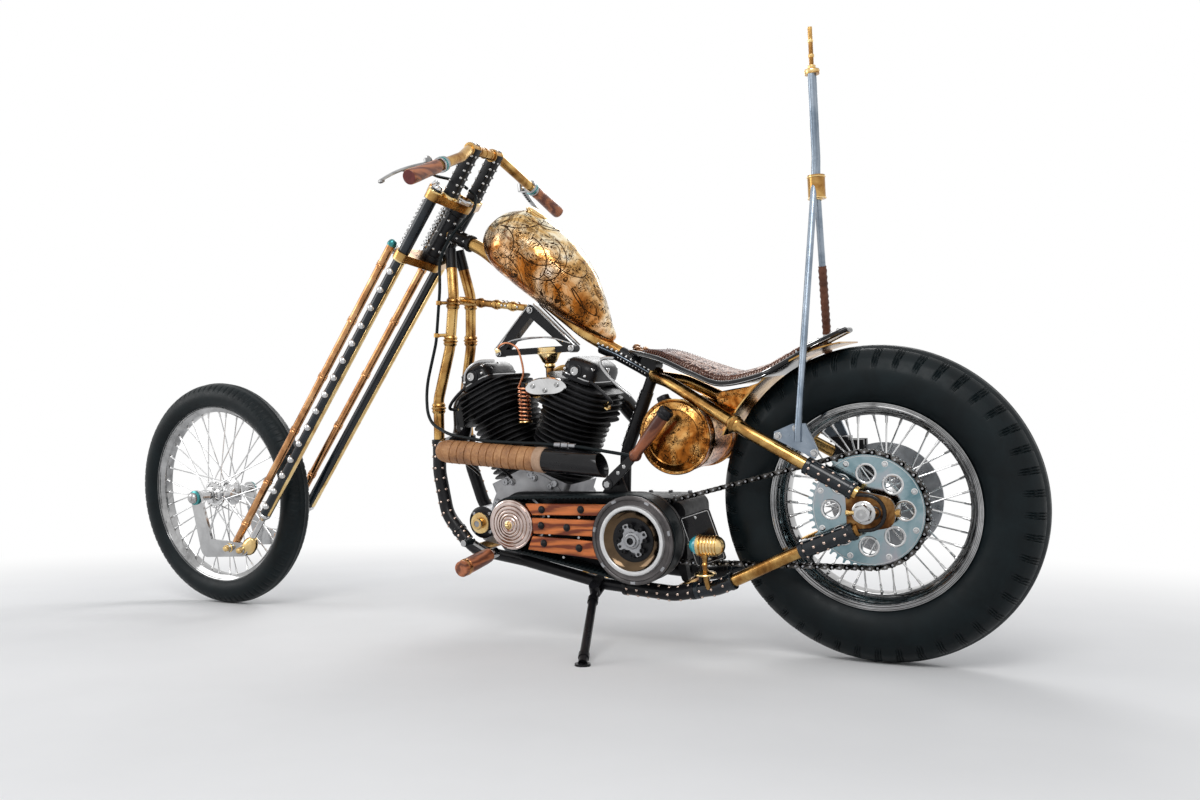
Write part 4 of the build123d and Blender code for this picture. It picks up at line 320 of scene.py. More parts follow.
CHAIN = worn_metal("chain_steel", [(0.35, (0.03, 0.028, 0.026)), (0.7, (0.20, 0.19, 0.18))], (0.3, 0.5))
CAST = worn_metal("cast_aluminium", [(0.3, (0.20, 0.20, 0.21)), (0.7, (0.42, 0.42, 0.43))], (0.4, 0.6),
                  patch=9.0, grain=420.0, strength=0.3)
TEAL = worn_metal("teal_glaze", [(0.3, (0.02, 0.16, 0.17)), (0.7, (0.09, 0.42, 0.42))], (0.12, 0.25),
                  strength=0.04, metallic=0.6)
# The faint teal lift in this near-black rubber is painted sheen; the rubber itself is black
RUBBER = worn_metal("rubber", [(0.3, (0.002, 0.004, 0.005)), (0.7, (0.005, 0.010, 0.012))], (0.36, 0.54),
                    metallic=0.0, grain=500.0, strength=0.2, sheen=0.17)
ENGRAVING = worn_metal("engraving", [(0.3, (0.014, 0.006, 0.003)), (0.7, (0.07, 0.030, 0.010))], (0.35, 0.5),
                       patch=60.0)
END_GRAIN = worn_metal("end_grain", [(0.3, (0.10, 0.022, 0.020)), (0.7, (0.17, 0.040, 0.034))], (0.35, 0.5),
                       patch=90.0, metallic=0.0, sheen=0.3)
LEATHER = worn_metal("leather", [(0.3, (0.055, 0.018, 0.010)), (0.7, (0.17, 0.065, 0.035))], (0.35, 0.6),
                     patch=25.0, grain=900.0, strength=0.5, metallic=0.0, sheen=0.3)
WOOD_X = wood("wood_slats", (1.0, 0.0, 0.0), (0.66, 0.185, 0.050), (0.17, 0.032, 0.010))
WOOD_Y = wood("wood_grips", (0.0, 1.0, 0.0), (0.52, 0.185, 0.080), (0.17, 0.050, 0.026))
WOOD_HANDLE = wood("handle_wood", (0.6, 0.0, 0.8), (0.33, 0.105, 0.045), (0.07, 0.018, 0.010))
WOOD_PEG = wood("peg_wood", (0.0, 1.0, 0.0), (0.50, 0.17, 0.075), (0.15, 0.045, 0.022))
WRAP_TAN = plain_leather("wrap_leather", [(0.32, (0.13, 0.050, 0.018)), (0.5, (0.36, 0.165, 0.062)),
                                          (0.68, (0.56, 0.30, 0.13))], 130.0)
COLLAR = plain_leather("wrap_collar", [(0.3, (0.30, 0.17, 0.10)), (0.7, (0.55, 0.38, 0.26))], 90.0)
TOOLED = tooled_leather()
TEAL_GLASS = teal_glass()
# Brass colours of the engraved tanks: the orange ramp is brass darkened as painted shade on downward faces,
# the pale and gold ramps are brass lightened as painted highlight on upward faces
ORANGE_PAINTED_SHADE = [(0.32, (0.10, 0.028, 0.006)), (0.46, (0.42, 0.13, 0.018)), (0.66, (0.78, 0.34, 0.07))]
PALE_PAINTED_HIGHLIGHT = [(0.30, (0.50, 0.26, 0.07)), (0.44, (0.80, 0.55, 0.22)), (0.58, (0.97, 0.86, 0.62)),
             (0.75, (1.0, 0.96, 0.88))]
GOLD_PAINTED_HIGHLIGHT = [(0.30, (0.44, 0.21, 0.05)), (0.46, (0.70, 0.42, 0.13)), (0.64, (0.86, 0.62, 0.29)),
             (0.8, (0.92, 0.76, 0.48))]
TANK_BRASS = engraved("tank_brass", ORANGE_PAINTED_SHADE, PALE_PAINTED_HIGHLIGHT, (0.12, 0.5), 26.0, 13.0, (0.010, 0.004, 0.002),
                      (0.07, 0.030, 0.009), 0.43)
BRASS_ENGRAVED = engraved("oil_tank_brass", ORANGE_PAINTED_SHADE, GOLD_PAINTED_HIGHLIGHT, (0.16, 0.5), 58.0, 9.0,
                          (0.012, 0.005, 0.002), (0.07, 0.026, 0.008), 0.45)

LOOKS = (
    (RUBBER, "rear_tyre front_tyre primary_belt clutch_cable lever_cable"),
    (RIM, "rear_wheel front_wheel"),
    (SPROCKET_STEEL, "rear_sprocket"),
    (STEEL, "rear_brake_disc"),
    (CHAIN, "final_chain"),
    (CHROME, "fork_springs spring_bridge front_axle rear_axle front_pulley levers rockers foot_controls"),
    (BLUE_STEEL, "sissy_legs"),
    (BRASS, "backbone downtubes chain_stays seat_stays cross_tubes rear_fender oil_tank fuel_tank"),
    (BRASS, "fork_front_legs lower_crown upper_crown handlebar sissy_mast tail_lamp intake"),
    (BRASS_DARK, "axle_plates"),
    (BLACK, "lower_rails headstock fork_rear_legs risers top_mount primary_plate seat_bracket seat_post"),
    (BLACK, "side_stand number_plate hand_shifter rear_caliper"),
    (BLACK_FIN, "cylinders gearbox"),
    (CAST, "crankcase generator clutch"),
    (WOOD_Y, "grips"),
    (WOOD_X, "primary_slats"),
    (COPPER, "ignition_coil"),
    (LEATHER, "seat exhausts"),
)


def dress(obj, *materials):
    obj.data.materials.clear()
    for mat in materials:
        obj.data.materials.append(mat)


for look, node_names in LOOKS:
    for node_name in node_names.split():
        dress(NODES[node_name], look)


# Mesh making: shapes are drawn in upright millimetres and placed once, as pieces

def route(points, wanted=90.0, step=5.0):
    """Points along straight runs joined by tangent arcs, as the tubes of the frame are bent."""
    points = [Vector(p) for p in points]
    line = [points[0]]
    for before, at, after in zip(points, points[1:], points[2:]):
        one, two = at - before, after - at
        half = one.angle(two) / 2
        if half < 1e-4:
            continue
        radius = min(wanted, 0.45 * min(one.length, two.length) / math.tan(half))
        cut = radius * math.tan(half)
        start, end = at - one.normalized() * cut, at + two.normalized() * cut
        inward = (two.normalized() - one.normalized()).normalized()
        centre = at + inward * (radius / math.cos(half))
        count = max(2, int(radius * half * 2 / step))
        first, last = start - centre, end - centre
        whole = first.angle(last)
        for i in range(count + 1):
            share = i / count
            arm = (first * math.sin((1 - share) * whole) + last * math.sin(share * whole)) / math.sin(whole)
            line.append(centre + arm)
    line.append(points[-1])
    return line


def finer(line, step):
    """The same line with points at most one step apart."""
    out = [line[0]]
    for a, b in zip(line, line[1:]):
        count = max(1, math.ceil((b - a).length / step))
        out += [a.lerp(b, (i + 1) / count) for i in range(count)]
    return out


def between(one, two, share=0.5):
    return Vector(one).lerp(Vector(two), share)


def angles_round(count):
    """Evenly spaced angles round a full turn."""
    return [2 * math.pi * i / count for i in range(count)]


def circle(at, u, v, radius, count):
    """Points round a circle that two cross directions span."""
    return [at + (u * math.cos(a) + v * math.sin(a)) * radius for a in angles_round(count)]


def symmetric(half):
    """A profile that starts in its middle, with its mirror image put before it."""
    return [(r, -along) for r, along in reversed(half[1:])] + half


def frames(line, closed=False):
    """A tangent and two cross directions at each point, without needless twist."""
    count = len(line)
    tangents = []
    for i in range(count):
        if closed:
            tangents.append((line[(i + 1) % count] - line[i - 1]).normalized())
        else:
            tangents.append((line[min(i + 1, count - 1)] - line[max(i - 1, 0)]).normalized())
    side = tangents[0].orthogonal().normalized()
    out = []
    for tangent in tangents:
        side = (side - tangent * side.dot(tangent)).normalized()
        out.append((tangent, side, tangent.cross(side)))
    return out


class Shape:
    """Collects faces of several materials and becomes one piece."""

    def __init__(self):
        self.verts, self.faces, self.marks = [], [], []

    def rings(self, rings, mark=0, loop=False, caps=True, open_ring=False):
        """Skin between rings of points that all have the same count."""
        start, count = len(self.verts), len(rings[0])
        for ring in rings:
            self.verts += ring
        for i in range(len(rings) if loop else len(rings) - 1):
            low, high = start + i * count, start + (i + 1) % len(rings) * count
            for j in range(count - 1 if open_ring else count):
                k = (j + 1) % count
                self.faces.append((low + j, low + k, high + k, high + j))
                self.marks.append(mark)
        if caps and not loop:
            for first in (start, start + (len(rings) - 1) * count):
                self.faces.append(tuple(range(first, first + count)))
                self.marks.append(mark)

    def tube(self, line, radius, mark=0, sides=20, closed=False):
        """A round bar along a line; radius is a number or one number a point."""
        line = [Vector(p) for p in line]
        radii = radius if isinstance(radius, (list, tuple)) else [radius] * len(line)
        rings = []
        for at, (_, u, v), r in zip(line, frames(line, closed), radii):
            rings.append(circle(at, u, v, r, sides))
        self.rings(rings, mark, loop=closed)

    def turned(self, at, axis, profile, mark=0, sides=32, caps=True):
        """A profile of (radius, place along the axis) turned about an axis through a point."""
        at, axis = Vector(at), Vector(axis).normalized()
        u = axis.orthogonal().normalized()
        v = axis.cross(u)
        rings = [circle(at + axis * along, u, v, max(r, 0.01), sides) for r, along in profile]
        self.rings(rings, mark, caps=caps)

    def dome(self, at, out, radius, height, mark=0, sides=10):
        """A round-headed rivet or bolt that stands on a surface."""
        profile = [(radius, -height * 0.4), (radius, height * 0.25), (radius * 0.8, height * 0.7),
                   (radius * 0.4, height * 0.95), (0.0, height)]
        self.turned(at, out, profile, mark, sides)

    def hexagon(self, at, out, radius, height, mark=0):
        """A six-sided nut or bolt head with a chamfer."""
        self.turned(at, out, [(radius, -1.0), (radius, height * 0.8), (radius * 0.86, height)], mark, 6)

    def slab(self, outline, low, high, mark=0, bevel=0.0):
        """A side-view outline of (x, z) points given a thickness across the machine."""
        count = len(outline)
        centre = Vector((sum(x for x, z in outline) / count, sum(z for x, z in outline) / count))
        levels = [(low, 0.0), (high, 0.0)]
        if bevel:
            levels = [(low, bevel), (low + bevel, 0.0), (high - bevel, 0.0), (high, bevel)]
        rings = []
        for y, inset in levels:
            ring = []
            for x, z in outline:
                arm = Vector((x, z)) - centre
                arm *= max(0.0, 1.0 - inset / max(arm.length, 1.0))
                ring.append(Vector((centre.x + arm.x, y, centre.y + arm.y)))
            rings.append(ring)
        self.rings(rings, mark)

    def rivets(self, line, radius, spacing, angles, size, mark):
        """Round heads along a tube, at angles from the direction across the machine."""
        length, marks_at = 0.0, spacing * 0.5
        for a, b in zip(line, line[1:]):
            run = (b - a).length
            while marks_at <= length + run and run > 0:
                at = a.lerp(b, (marks_at - length) / run)
                along = (b - a).normalized()
                side = (ACROSS - along * ACROSS.dot(along)).normalized()
                other = along.cross(side)
                for angle in angles:
                    out = side * math.cos(angle) + other * math.sin(angle)
                    self.dome(at + out * radius, out, size, size * 0.7, mark)
                marks_at += spacing
            length += run

    def mirrored(self):
        """The same shape with its mirror image on the other side added."""
        count = len(self.verts)
        self.verts += [Vector((v.x, -v.y, v.z)) for v in self.verts]
        self.faces += [tuple(reversed([i + count for i in face])) for face in self.faces]
        self.marks += list(self.marks)
        return self

    def piece(self, name, body, materials, replaces=(), sharp=35.0):
        """The faces as an object with smooth shading, which rides a body and may replace nodes."""
        mesh = bpy.data.meshes.new(name)
        mesh.from_pydata([place(v) for v in self.verts], [], self.faces)
        for mat in materials:
            mesh.materials.append(mat)
        mesh.polygons.foreach_set("material_index", self.marks)
        work = bmesh.new()
        work.from_mesh(mesh)
        bmesh.ops.recalc_face_normals(work, faces=work.faces)
        work.to_mesh(mesh)
        work.free()
        mesh.shade_smooth()
        mesh.set_sharp_from_angle(angle=math.radians(sharp))
        obj = bpy.data.objects.new(name, mesh)
        bpy.context.scene.collection.objects.link(obj)
        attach(obj, body)
        if replaces:
            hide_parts(*replaces)
        return obj


def mirror_point(p):
    return Vector((p[0], -p[1], p[2]))


# Frame tubes, with their bamboo-like knuckles and black riveted sleeves

TUBE = 14.0
SLEEVE = 17.3
CRADLE = {"neck": (1074, 18, 1004), "upper": (1058, 38, 880), "knuckle": (1074, 47, 742),
          "belly": (1112, 58, 610), "low": (1112, 72, 420), "turn": (1085, 84, 310), "toe": (1000, 96, 224),
          "front rail": (840, 107, 205), "mid rail": (620, 110, 160), "rear rail": (440, 110, 147),
          "heel": (330, 114, 168), "stay": (137, 124, 258), "plate": (12, 124, 309)}
KNUCKLE = symmetric([(20.0, 0), (18.5, 2), (16.0, 4.5), (18.0, 7), (17.5, 9), (15.5, 13), (13.5, 15)])
BAND = symmetric([(19.0, 0), (19.6, 3), (19.0, 5), (17.0, 6)])
RIVET_STEP = 4.0
THREE_ROWS = (0.0, 1.1, -1.1)


def knuckle(shape, at, along, mark=0, grow=1.0):
    shape.turned(at, along, [(r * grow, a) for r, a in KNUCKLE], mark, 24)


def end_bands(shape, line, radius, mark):
    """A raised band at both ends of a sleeve."""
    for at, other in ((line[0], line[1]), (line[-1], line[-2])):
        shape.turned(at, other - at, [(r * radius / SLEEVE, a + 6) for r, a in BAND], mark, 24)


def sleeve(shape, line, radius=SLEEVE, spacing=30.0):
    """A black riveted sleeve along a line, with a raised band at both ends."""
    shape.tube(line, radius, 1, 20)
    end_bands(shape, line, radius, 1)
    shape.rivets(finer(line, RIVET_STEP), radius, spacing, THREE_ROWS, 3.4, 2)


def names(*keys):
    return [CRADLE[k] for k in keys]


def build_downtubes():
    shape = Shape()
    end = between(CRADLE["turn"], CRADLE["toe"])
    line = route(names("neck", "upper", "knuckle", "belly", "low", "turn") + [end])
    shape.tube(line, TUBE, 0, 24)
    top = [between(CRADLE["neck"], CRADLE["upper"], s) for s in (0.0, 0.2, 0.42)]
    shape.tube(top, TUBE + 0.6, 1, 24)
    run = Vector(CRADLE["knuckle"]) - Vector(CRADLE["upper"])
    for share in (0.15, 0.85):
        knuckle(shape, between(CRADLE["upper"], CRADLE["knuckle"], share), run)
    knuckle(shape, between(CRADLE["belly"], CRADLE["low"], 0.12), (0, 0.07, -1))
    sleeve(shape, route([between(CRADLE["belly"], CRADLE["low"], 0.55), CRADLE["low"], CRADLE["turn"], end]))
    shape.mirrored()
    for z in (862, 778):
        tube_at = between(CRADLE["knuckle"], CRADLE["upper"], (z - 742) / 138)
        cable_at = between((1098, 72, 760), (1080, 66, 900), (z - 760) / 140)
        shape.tube([tube_at, cable_at], 4.5, 3, 12)
        shape.turned(cable_at, (0.1, 0.05, -1), [(5, -6), (7.5, -5), (7.5, 5), (5, 6)], 3, 16)
    return shape.piece("downtubes_dressed", "frame", [BRASS, BLACK, RIVET, BRASS], ["downtubes"])


def build_lower_rails_trim():
    """Rivets and raised bands on the rails' sleeves; the tubes are the model's own."""
    shape = Shape()
    start, end = between(CRADLE["turn"], CRADLE["toe"]), between(CRADLE["rear rail"], CRADLE["heel"])
    line = route([between(CRADLE["mid rail"], CRADLE["rear rail"], 0.3), CRADLE["rear rail"], end])
    shape.tube(line, SLEEVE + 0.2, 0, 24)
    end_bands(shape, line, SLEEVE, 0)
    shape.rivets(finer(line, RIVET_STEP), SLEEVE, 26.0, THREE_ROWS, 3.6, 1)
    toe = [start, between(start, CRADLE["toe"], 0.5)]
    shape.tube(toe, SLEEVE + 0.2, 0, 24)
    shape.rivets(finer(toe, RIVET_STEP), SLEEVE, 20.0, THREE_ROWS, 3.6, 1)
    shape.mirrored()
    return shape.piece("lower_rails_trim", "frame", [BLACK, RIVET])


def build_chain_stays():
    shape = Shape()
    start = between(CRADLE["rear rail"], CRADLE["heel"])
    shape.tube(route([start] + names("heel", "stay", "plate")), TUBE, 0, 24)
    sleeve(shape, route([start, CRADLE["heel"], between(CRADLE["heel"], CRADLE["stay"], 0.2)]))
    sleeve(shape, [Vector(CRADLE["stay"]), between(CRADLE["stay"], CRADLE["plate"], 0.94)], spacing=24.0)
    shape.mirrored()
    return shape.piece("chain_stays_dressed", "frame", [BRASS, SLEEVE_BLACK, RIVET], ["chain_stays"])


SEAT_STAY = [(506, 12, 641), (452, 52, 628), (244, 120, 514), (124, 124, 446), (12, 124, 382)]


def build_seat_stays():
    shape = Shape()
    shape.tube(route(SEAT_STAY), TUBE, 0, 24)
    run = Vector(SEAT_STAY[2]) - Vector(SEAT_STAY[1])
    knuckle(shape, between(SEAT_STAY[1], SEAT_STAY[2], 0.86), run)
    sleeve(shape, [between(SEAT_STAY[3], SEAT_STAY[4], share) for share in (0.06, 0.94)], spacing=24.0)
    shape.mirrored()
    return shape.piece("seat_stays_dressed", "frame", [BRASS, SLEEVE_BLACK, RIVET], ["seat_stays"])


BACKBONE = [(1092, 0, 1052), (985, 0, 997), (690, 0, 757), (560, 0, 680), (498, 0, 644)]


def build_backbone():
    shape = Shape()
    shape.tube(route(BACKBONE, 260.0), 17.0, 0, 28)
    sleeve(shape, [between(BACKBONE[0], BACKBONE[1], share) for share in (0.12, 0.72)], 20.0, 22.0)
    band = [between(BACKBONE[3], BACKBONE[4], s) for s in (-0.6, -0.2, 0.2, 0.6)]
    shape.tube(band, 18.6, 1, 24)
    shape.rivets(finer(band, RIVET_STEP), 18.6, 9.0, (0.5, 2.6), 2.4, 2)
    return shape.piece("backbone_dressed", "frame", [BRASS, BLACK, CHROME], ["backbone"])


# Wheels

REAR_CENTRE = Vector((0.0, 0.0, 343.526))
FRONT_CENTRE = Vector((2015.0, 0.0, 345.316))
REAR_RIM = (222.0, 52.0)
FRONT_RIM = (284.0, 30.0)
SPOKES = 40
SPOKE_LEAD = math.radians(34.0)
PLATE_Y = 128.2


def polar(centre, radius, angle, y):
    return Vector((centre.x + radius * math.cos(angle), y, centre.z + radius * math.sin(angle)))


def rear_tread(turn_share, lean):
    """Depth of the rear tread: three round grooves, and groups of fine cross lines on the shoulders."""
    tilt = abs(lean)
    if min(tilt, abs(tilt - 0.34)) < 0.035:
        return 3.0
    if 0.42 < tilt < 1.12:
        place_in_group = (turn_share * 45.0 + (0.16 if lean > 0 else 0.0) + tilt * 0.25) % 1.0
        if place_in_group < 0.31 and (place_in_group * 16.0) % 2.0 < 1.0:
            return 2.6
        if place_in_group >= 0.31 and tilt > 1.08:
            return 1.3
    return 0.0


def front_tread(turn_share, lean):
    """Depth of the front tread: ribs round the crown with short cuts beside them."""
    tilt = abs(lean)
    if min(abs(tilt - 0.12), abs(tilt - 0.42)) < 0.05:
        return 2.2
    if 0.52 < tilt < 1.0 and (turn_share * 90.0 + tilt * 0.4) % 1.0 < 0.3:
        return 1.6
    return 0.0


def build_tyre(name, body, centre, radius, section, rim_radius, rim_half, steps, across, tread):
    """A tyre with its tread cut into a round section, open at the rim."""
    shape = Shape()
    ring_centre = radius - section
    seat_angle = math.acos(max(-1.0, min(1.0, (rim_radius - 3.0 - ring_centre) / section)))
    reach = max(seat_angle, math.pi - 0.05 - math.asin(min(1.0, (rim_half - 6.0) / section)))
    rings = []
    for i, around in enumerate(angles_round(steps)):
        ring = []
        for j in range(across + 1):
            lean = -reach + 2 * reach * j / across
            swell = 0.9 if abs(abs(lean) - 1.42) < 0.03 else 0.0
            r = section - 0.4 - tread(i / steps, lean) + swell
            ring.append(polar(centre, ring_centre + r * math.cos(lean), around, r * math.sin(lean)))
        rings.append(ring)
    shape.rings(rings, 0, loop=True, open_ring=True)
    return shape.piece(name + "_dressed", body, [RUBBER], [name], 28.0)


def rim_outline(rim_radius, half, depth):
    """A polished stepped rim from its middle to its lip, as (radius, y) pairs, outside then inside."""
    well, seat = rim_radius - depth, rim_radius - 8.0
    outer = [(well, 0), (well, half * 0.30), (well + 3, half * 0.38), (seat - 4, half * 0.55),
             (seat, half * 0.62), (seat, half - 5.0), (seat + 2, half - 3.6), (rim_radius - 2, half - 3.4),
             (rim_radius, half - 2.4), (rim_radius + 0.2, half - 1.2), (rim_radius - 0.8, half)]
    inner = [(rim_radius - 2.6, half + 0.2), (rim_radius - 3.6, half - 1.6), (rim_radius - 5.4, half - 1.8),
             (rim_radius - 6.2, half - 0.4), (seat, half - 0.4), (seat - 1.6, half - 2.6),
             (seat - 3.0, half - 2.8), (seat - 3.6, half - 1.8), (seat - 5.0, half - 4.0),
             (seat - 5.0, half * 0.86), (seat - 6.6, half * 0.83), (seat - 5.8, half * 0.79),
             (seat - 7.6, half * 0.76), (seat - 8.0, half * 0.66), (well - 1.0, half * 0.52),
             (well - 4.0, half * 0.44), (well - 5.0, half * 0.30), (well - 5.0, 0)]
    return outer, inner


def build_wheel(name, body, centre, rim_radius, half, hub, flange_radius, flange_y):
    """Rim, round spokes with nipples at the rim and hooked heads at the hub, and the turned hub."""
    shape = Shape()
    outer, inner = rim_outline(rim_radius, half, 24.0)
    section = outer + inner
    loop = section + [(r, -y) for r, y in reversed(section[1:-1])]
    rings = [[polar(centre, r, around, y) for r, y in loop] for around in angles_round(180)]
    shape.rings(rings, 0, loop=True)
    for i, around in enumerate(angles_round(SPOKES)):
        side = 1 if i % 2 else -1
        lead = SPOKE_LEAD if (i // 2) % 2 else -SPOKE_LEAD
        start = polar(centre, flange_radius - 4.0, around + lead, side * flange_y)
        end = polar(centre, rim_radius - 29.0, around, side * half * 0.12)
        run = (end - start).normalized()
        elbow = start + Vector((0, side * 4.5, 0))
        line = [elbow, start + Vector((0, side * 2.0, 0)), start + run * 5, start + run * 16, end]
        shape.tube(line, [2.2, 2.2, 2.2, 1.9, 1.9], 1, 10)
        shape.turned(elbow, ACROSS * side, [(3.4, -1.0), (3.6, 0.6), (2.4, 1.8), (0.2, 2.2)], 1, 10)
        shape.turned(end, -run, [(4.4, -4.0), (4.6, 1.0), (3.1, 3.0), (2.8, 15.0), (2.2, 17.0)], 1, 10)
    shape.turned(centre, ACROSS, hub, 2, 64)
    return shape.piece(name + "_dressed", body, [RIM, SPOKE, POLISHED], [name])


REAR_HUB = symmetric([(26, 0), (27, 22), (31, 34), (38, 39), (46, 41.5), (46, 46.5), (34, 50), (29.5, 54),
                      (29.5, 73), (24, 75.5), (10.4, 75.5)])
FRONT_HUB = symmetric([(21, 0), (22, 14), (26, 25), (33, 29.5), (42, 31.8), (42, 36.2), (27, 38), (23.5, 42),
                       (23.5, 53), (18, 55.5), (8.4, 55.5)])


def build_sprocket_trim():
    """Turned rings round the lightening holes, and the small bolts between them."""
    shape = Shape()
    face = 93.0
    for i in range(8):
        around = math.radians(45.0 * i)
        at = polar(REAR_CENTRE, 76.0, around, face)
        ring = [(17.2, -0.8), (17.2, 1.4), (18.4, 2.2), (21.0, 2.2), (22.2, 1.2), (22.2, -0.8)]
        shape.turned(at, ACROSS, ring + [ring[0]], 0, 40, caps=False)
        between_holes = polar(REAR_CENTRE, 104.0, around + math.radians(22.5), face)
        shape.hexagon(between_holes, ACROSS, 4.6, 4.0, 0)
        shape.turned(between_holes, ACROSS, [(6.6, -0.5), (6.6, 1.0), (5.6, 1.4)], 0, 20)
    for i in range(5):
        at = polar(REAR_CENTRE, 34.0, math.radians(72.0 * i + 20), face)
        shape.turned(at, ACROSS, [(7.2, -0.5), (7.2, 1.0), (6.6, 1.4)], 0, 20)
        shape.hexagon(at, ACROSS, 6.0, 6.0, 0)
    edge = [(112.0, -0.3), (112.4, 0.7), (113.6, 0.7), (114.0, -0.3)]
    shape.turned((REAR_CENTRE.x, face, REAR_CENTRE.z), ACROSS, edge + [edge[0]], 0, 96, caps=False)
    return shape.piece("sprocket_trim", "rear_wheel", [POLISHED])


def build_axle_trim():
    """The big nut and its washer, and the adjuster ahead of it, on both sides."""
    shape = Shape()
    for side in SIDES:
        out = ACROSS * side
        at = REAR_CENTRE + out * PLATE_Y
        shape.turned(at, out, [(24, 0), (24, 2.2), (22.5, 3.2), (12, 3.2)], 0, 48)
        shape.turned(at, out, [(19.4, 3), (19.4, 14), (17.5, 17.5), (10.4, 18.2)], 0, 6)
        shape.turned(at, out, [(10.2, 16), (10.2, 24), (8.6, 25.4), (3.0, 25.8)], 0, 24)
        adjuster = REAR_CENTRE + Vector((-52, side * 124.0, 0))
        shape.tube([adjuster + Vector((-20, 0, 0)), adjuster + Vector((34, 0, 0))], 4.0, 1, 12)
        shape.turned(adjuster + Vector((-20, 0, 0)), (1, 0, 0), [(8.2, 0), (8.2, 8)], 1, 6)
    return shape.piece("axle_trim", "frame", [POLISHED, BRASS])


def build_front_end_trim():
    """The polished dome on the front axle's end with its ring, on both sides."""
    shape = Shape()
    for side in SIDES:
        out = ACROSS * side
        at = FRONT_CENTRE + out * 106.2
        shape.turned(at, out, [(20.5, 0), (21.5, 1.4), (21.5, 5), (19, 7), (14, 7.5)], 1, 40)
        shape.turned(at, out, [(17, 6), (17.2, 10), (15.4, 15), (11.6, 18.6), (6.2, 20.8), (0, 21.6)], 0, 40)
    return shape.piece("front_end_trim", "fork", [CHROME, TEAL])


build_tyre("rear_tyre", "rear_wheel", REAR_CENTRE, 343.0, 70.0, *REAR_RIM, 1440, 40, rear_tread)
build_tyre("front_tyre", "front_wheel", FRONT_CENTRE, 345.0, 42.0, *FRONT_RIM, 1080, 30, front_tread)
build_wheel("rear_wheel", "rear_wheel", REAR_CENTRE, *REAR_RIM, REAR_HUB, 46.0, 44.0)
build_wheel("front_wheel", "front_wheel", FRONT_CENTRE, *FRONT_RIM, FRONT_HUB, 42.0, 34.0)
build_sprocket_trim()
build_axle_trim()
build_front_end_trim()


# Final drive chain: alternate inner and outer links on their rollers

PITCH, REAR_TEETH, FRONT_TEETH = 15.875, 48, 24
REAR_PITCH = PITCH / (2 * math.sin(math.pi / REAR_TEETH))
FRONT_PITCH = PITCH / (2 * math.sin(math.pi / FRONT_TEETH))
SHAFT = Vector((512.0, 0.0, 276.0))
CHAIN_Y = 90.0


def chain_places():
    """Where each roller lies: in the rear sprocket's gullets, then evenly round the rest."""
    dx, dz = SHAFT.x, SHAFT.z - REAR_CENTRE.z
    gap, towards = math.hypot(dx, dz), math.atan2(dz, dx)
    lean = math.acos((REAR_PITCH - FRONT_PITCH) / gap)
    run = gap * math.sin(lean)
    rear_wrap, front_wrap = 2 * math.pi - 2 * lean, 2 * lean
    rear_arc, front_arc = REAR_PITCH * rear_wrap, FRONT_PITCH * front_wrap
    total = rear_arc + front_arc + 2 * run
    first_angle, low, high = towards + lean, towards - lean, towards + lean

    def at(t):
        t = t % total
        if t < rear_arc:
            return polar(REAR_CENTRE, REAR_PITCH, first_angle + t / REAR_PITCH, CHAIN_Y)
        t -= rear_arc
        if t < run:
            leaving = Vector((-math.sin(low), 0, math.cos(low)))
            return polar(REAR_CENTRE, REAR_PITCH, low, CHAIN_Y) + leaving * t
        t -= run
        if t < front_arc:
            return polar(SHAFT, FRONT_PITCH, low + t / FRONT_PITCH, CHAIN_Y)
        t -= front_arc
        return polar(SHAFT, FRONT_PITCH, high, CHAIN_Y) + Vector((-math.sin(high), 0, math.cos(high))) * t

    tooth = 2 * math.pi / REAR_TEETH
    first, last = math.ceil(first_angle / tooth), math.floor((first_angle + rear_wrap) / tooth)
    seated = [(i * tooth - first_angle) * REAR_PITCH for i in range(first, last + 1)]
    rest = total - (seated[-1] - seated[0])
    links = round(rest / PITCH)
    return [at(t) for t in seated + [seated[-1] + rest * i / links for i in range(1, links)]]


def link_outline(one, two, radius, waist):
    """The waisted outline of one side plate, as (x, z) pairs."""
    along = (two - one).normalized()
    up = Vector((-along.z, 0, along.x))
    out = []
    for at, turn_by in ((one, 1), (two, -1)):
        for k in range(7):
            angle = math.radians(-60 + 20 * k) * turn_by
            arm = -along * turn_by * math.cos(angle) * radius + up * math.sin(angle) * radius * turn_by
            out.append(at + arm)
    middle = one.lerp(two, 0.5)
    ring = out[:7] + [middle + up * waist] + out[7:] + [middle - up * waist]
    return [(p.x, p.z) for p in ring]


def build_chain():
    shape = Shape()
    places = chain_places()
    for i, one in enumerate(places):
        two = places[(i + 1) % len(places)]
        outside = 1.8 if i % 2 else 0.0
        outline = link_outline(one, two, 6.4, 4.6)
        for side in SIDES:
            near = CHAIN_Y + side * (4.0 + outside)
            far = CHAIN_Y + side * (5.7 + outside)
            shape.slab(outline, min(near, far), max(near, far), 0)
        shape.turned(one - ACROSS * 4.0, ACROSS, [(5.0, 0), (5.0, 8.0)], 1, 12)
        shape.turned(one - ACROSS * 8.2, ACROSS, [(2.4, 0), (2.8, 0.6), (2.8, 15.8), (2.4, 16.4)], 1, 8)
    return shape.piece("final_chain_dressed", "frame", [CHAIN, STEEL], ["final_chain"])


build_chain()


# Springer fork

LEG_Y, REAR_D, FRONT_D = 88.0, 24.0, 69.0
REAR_END_S, FRONT_END_S, JOINT_S = 1122.0, 1153.0, 992.0
HEAD_HALF = 80.0
CROWN = 22.0
SPRING_D, SPRING_Y = 66.0, 45.0
RISER_Y = 50.0
BAR_RADIUS = 12.7


def leg_line(d, low, high):
    return finer([on_fork(low, d, LEG_Y), on_fork(high, d, LEG_Y)], 20.0)


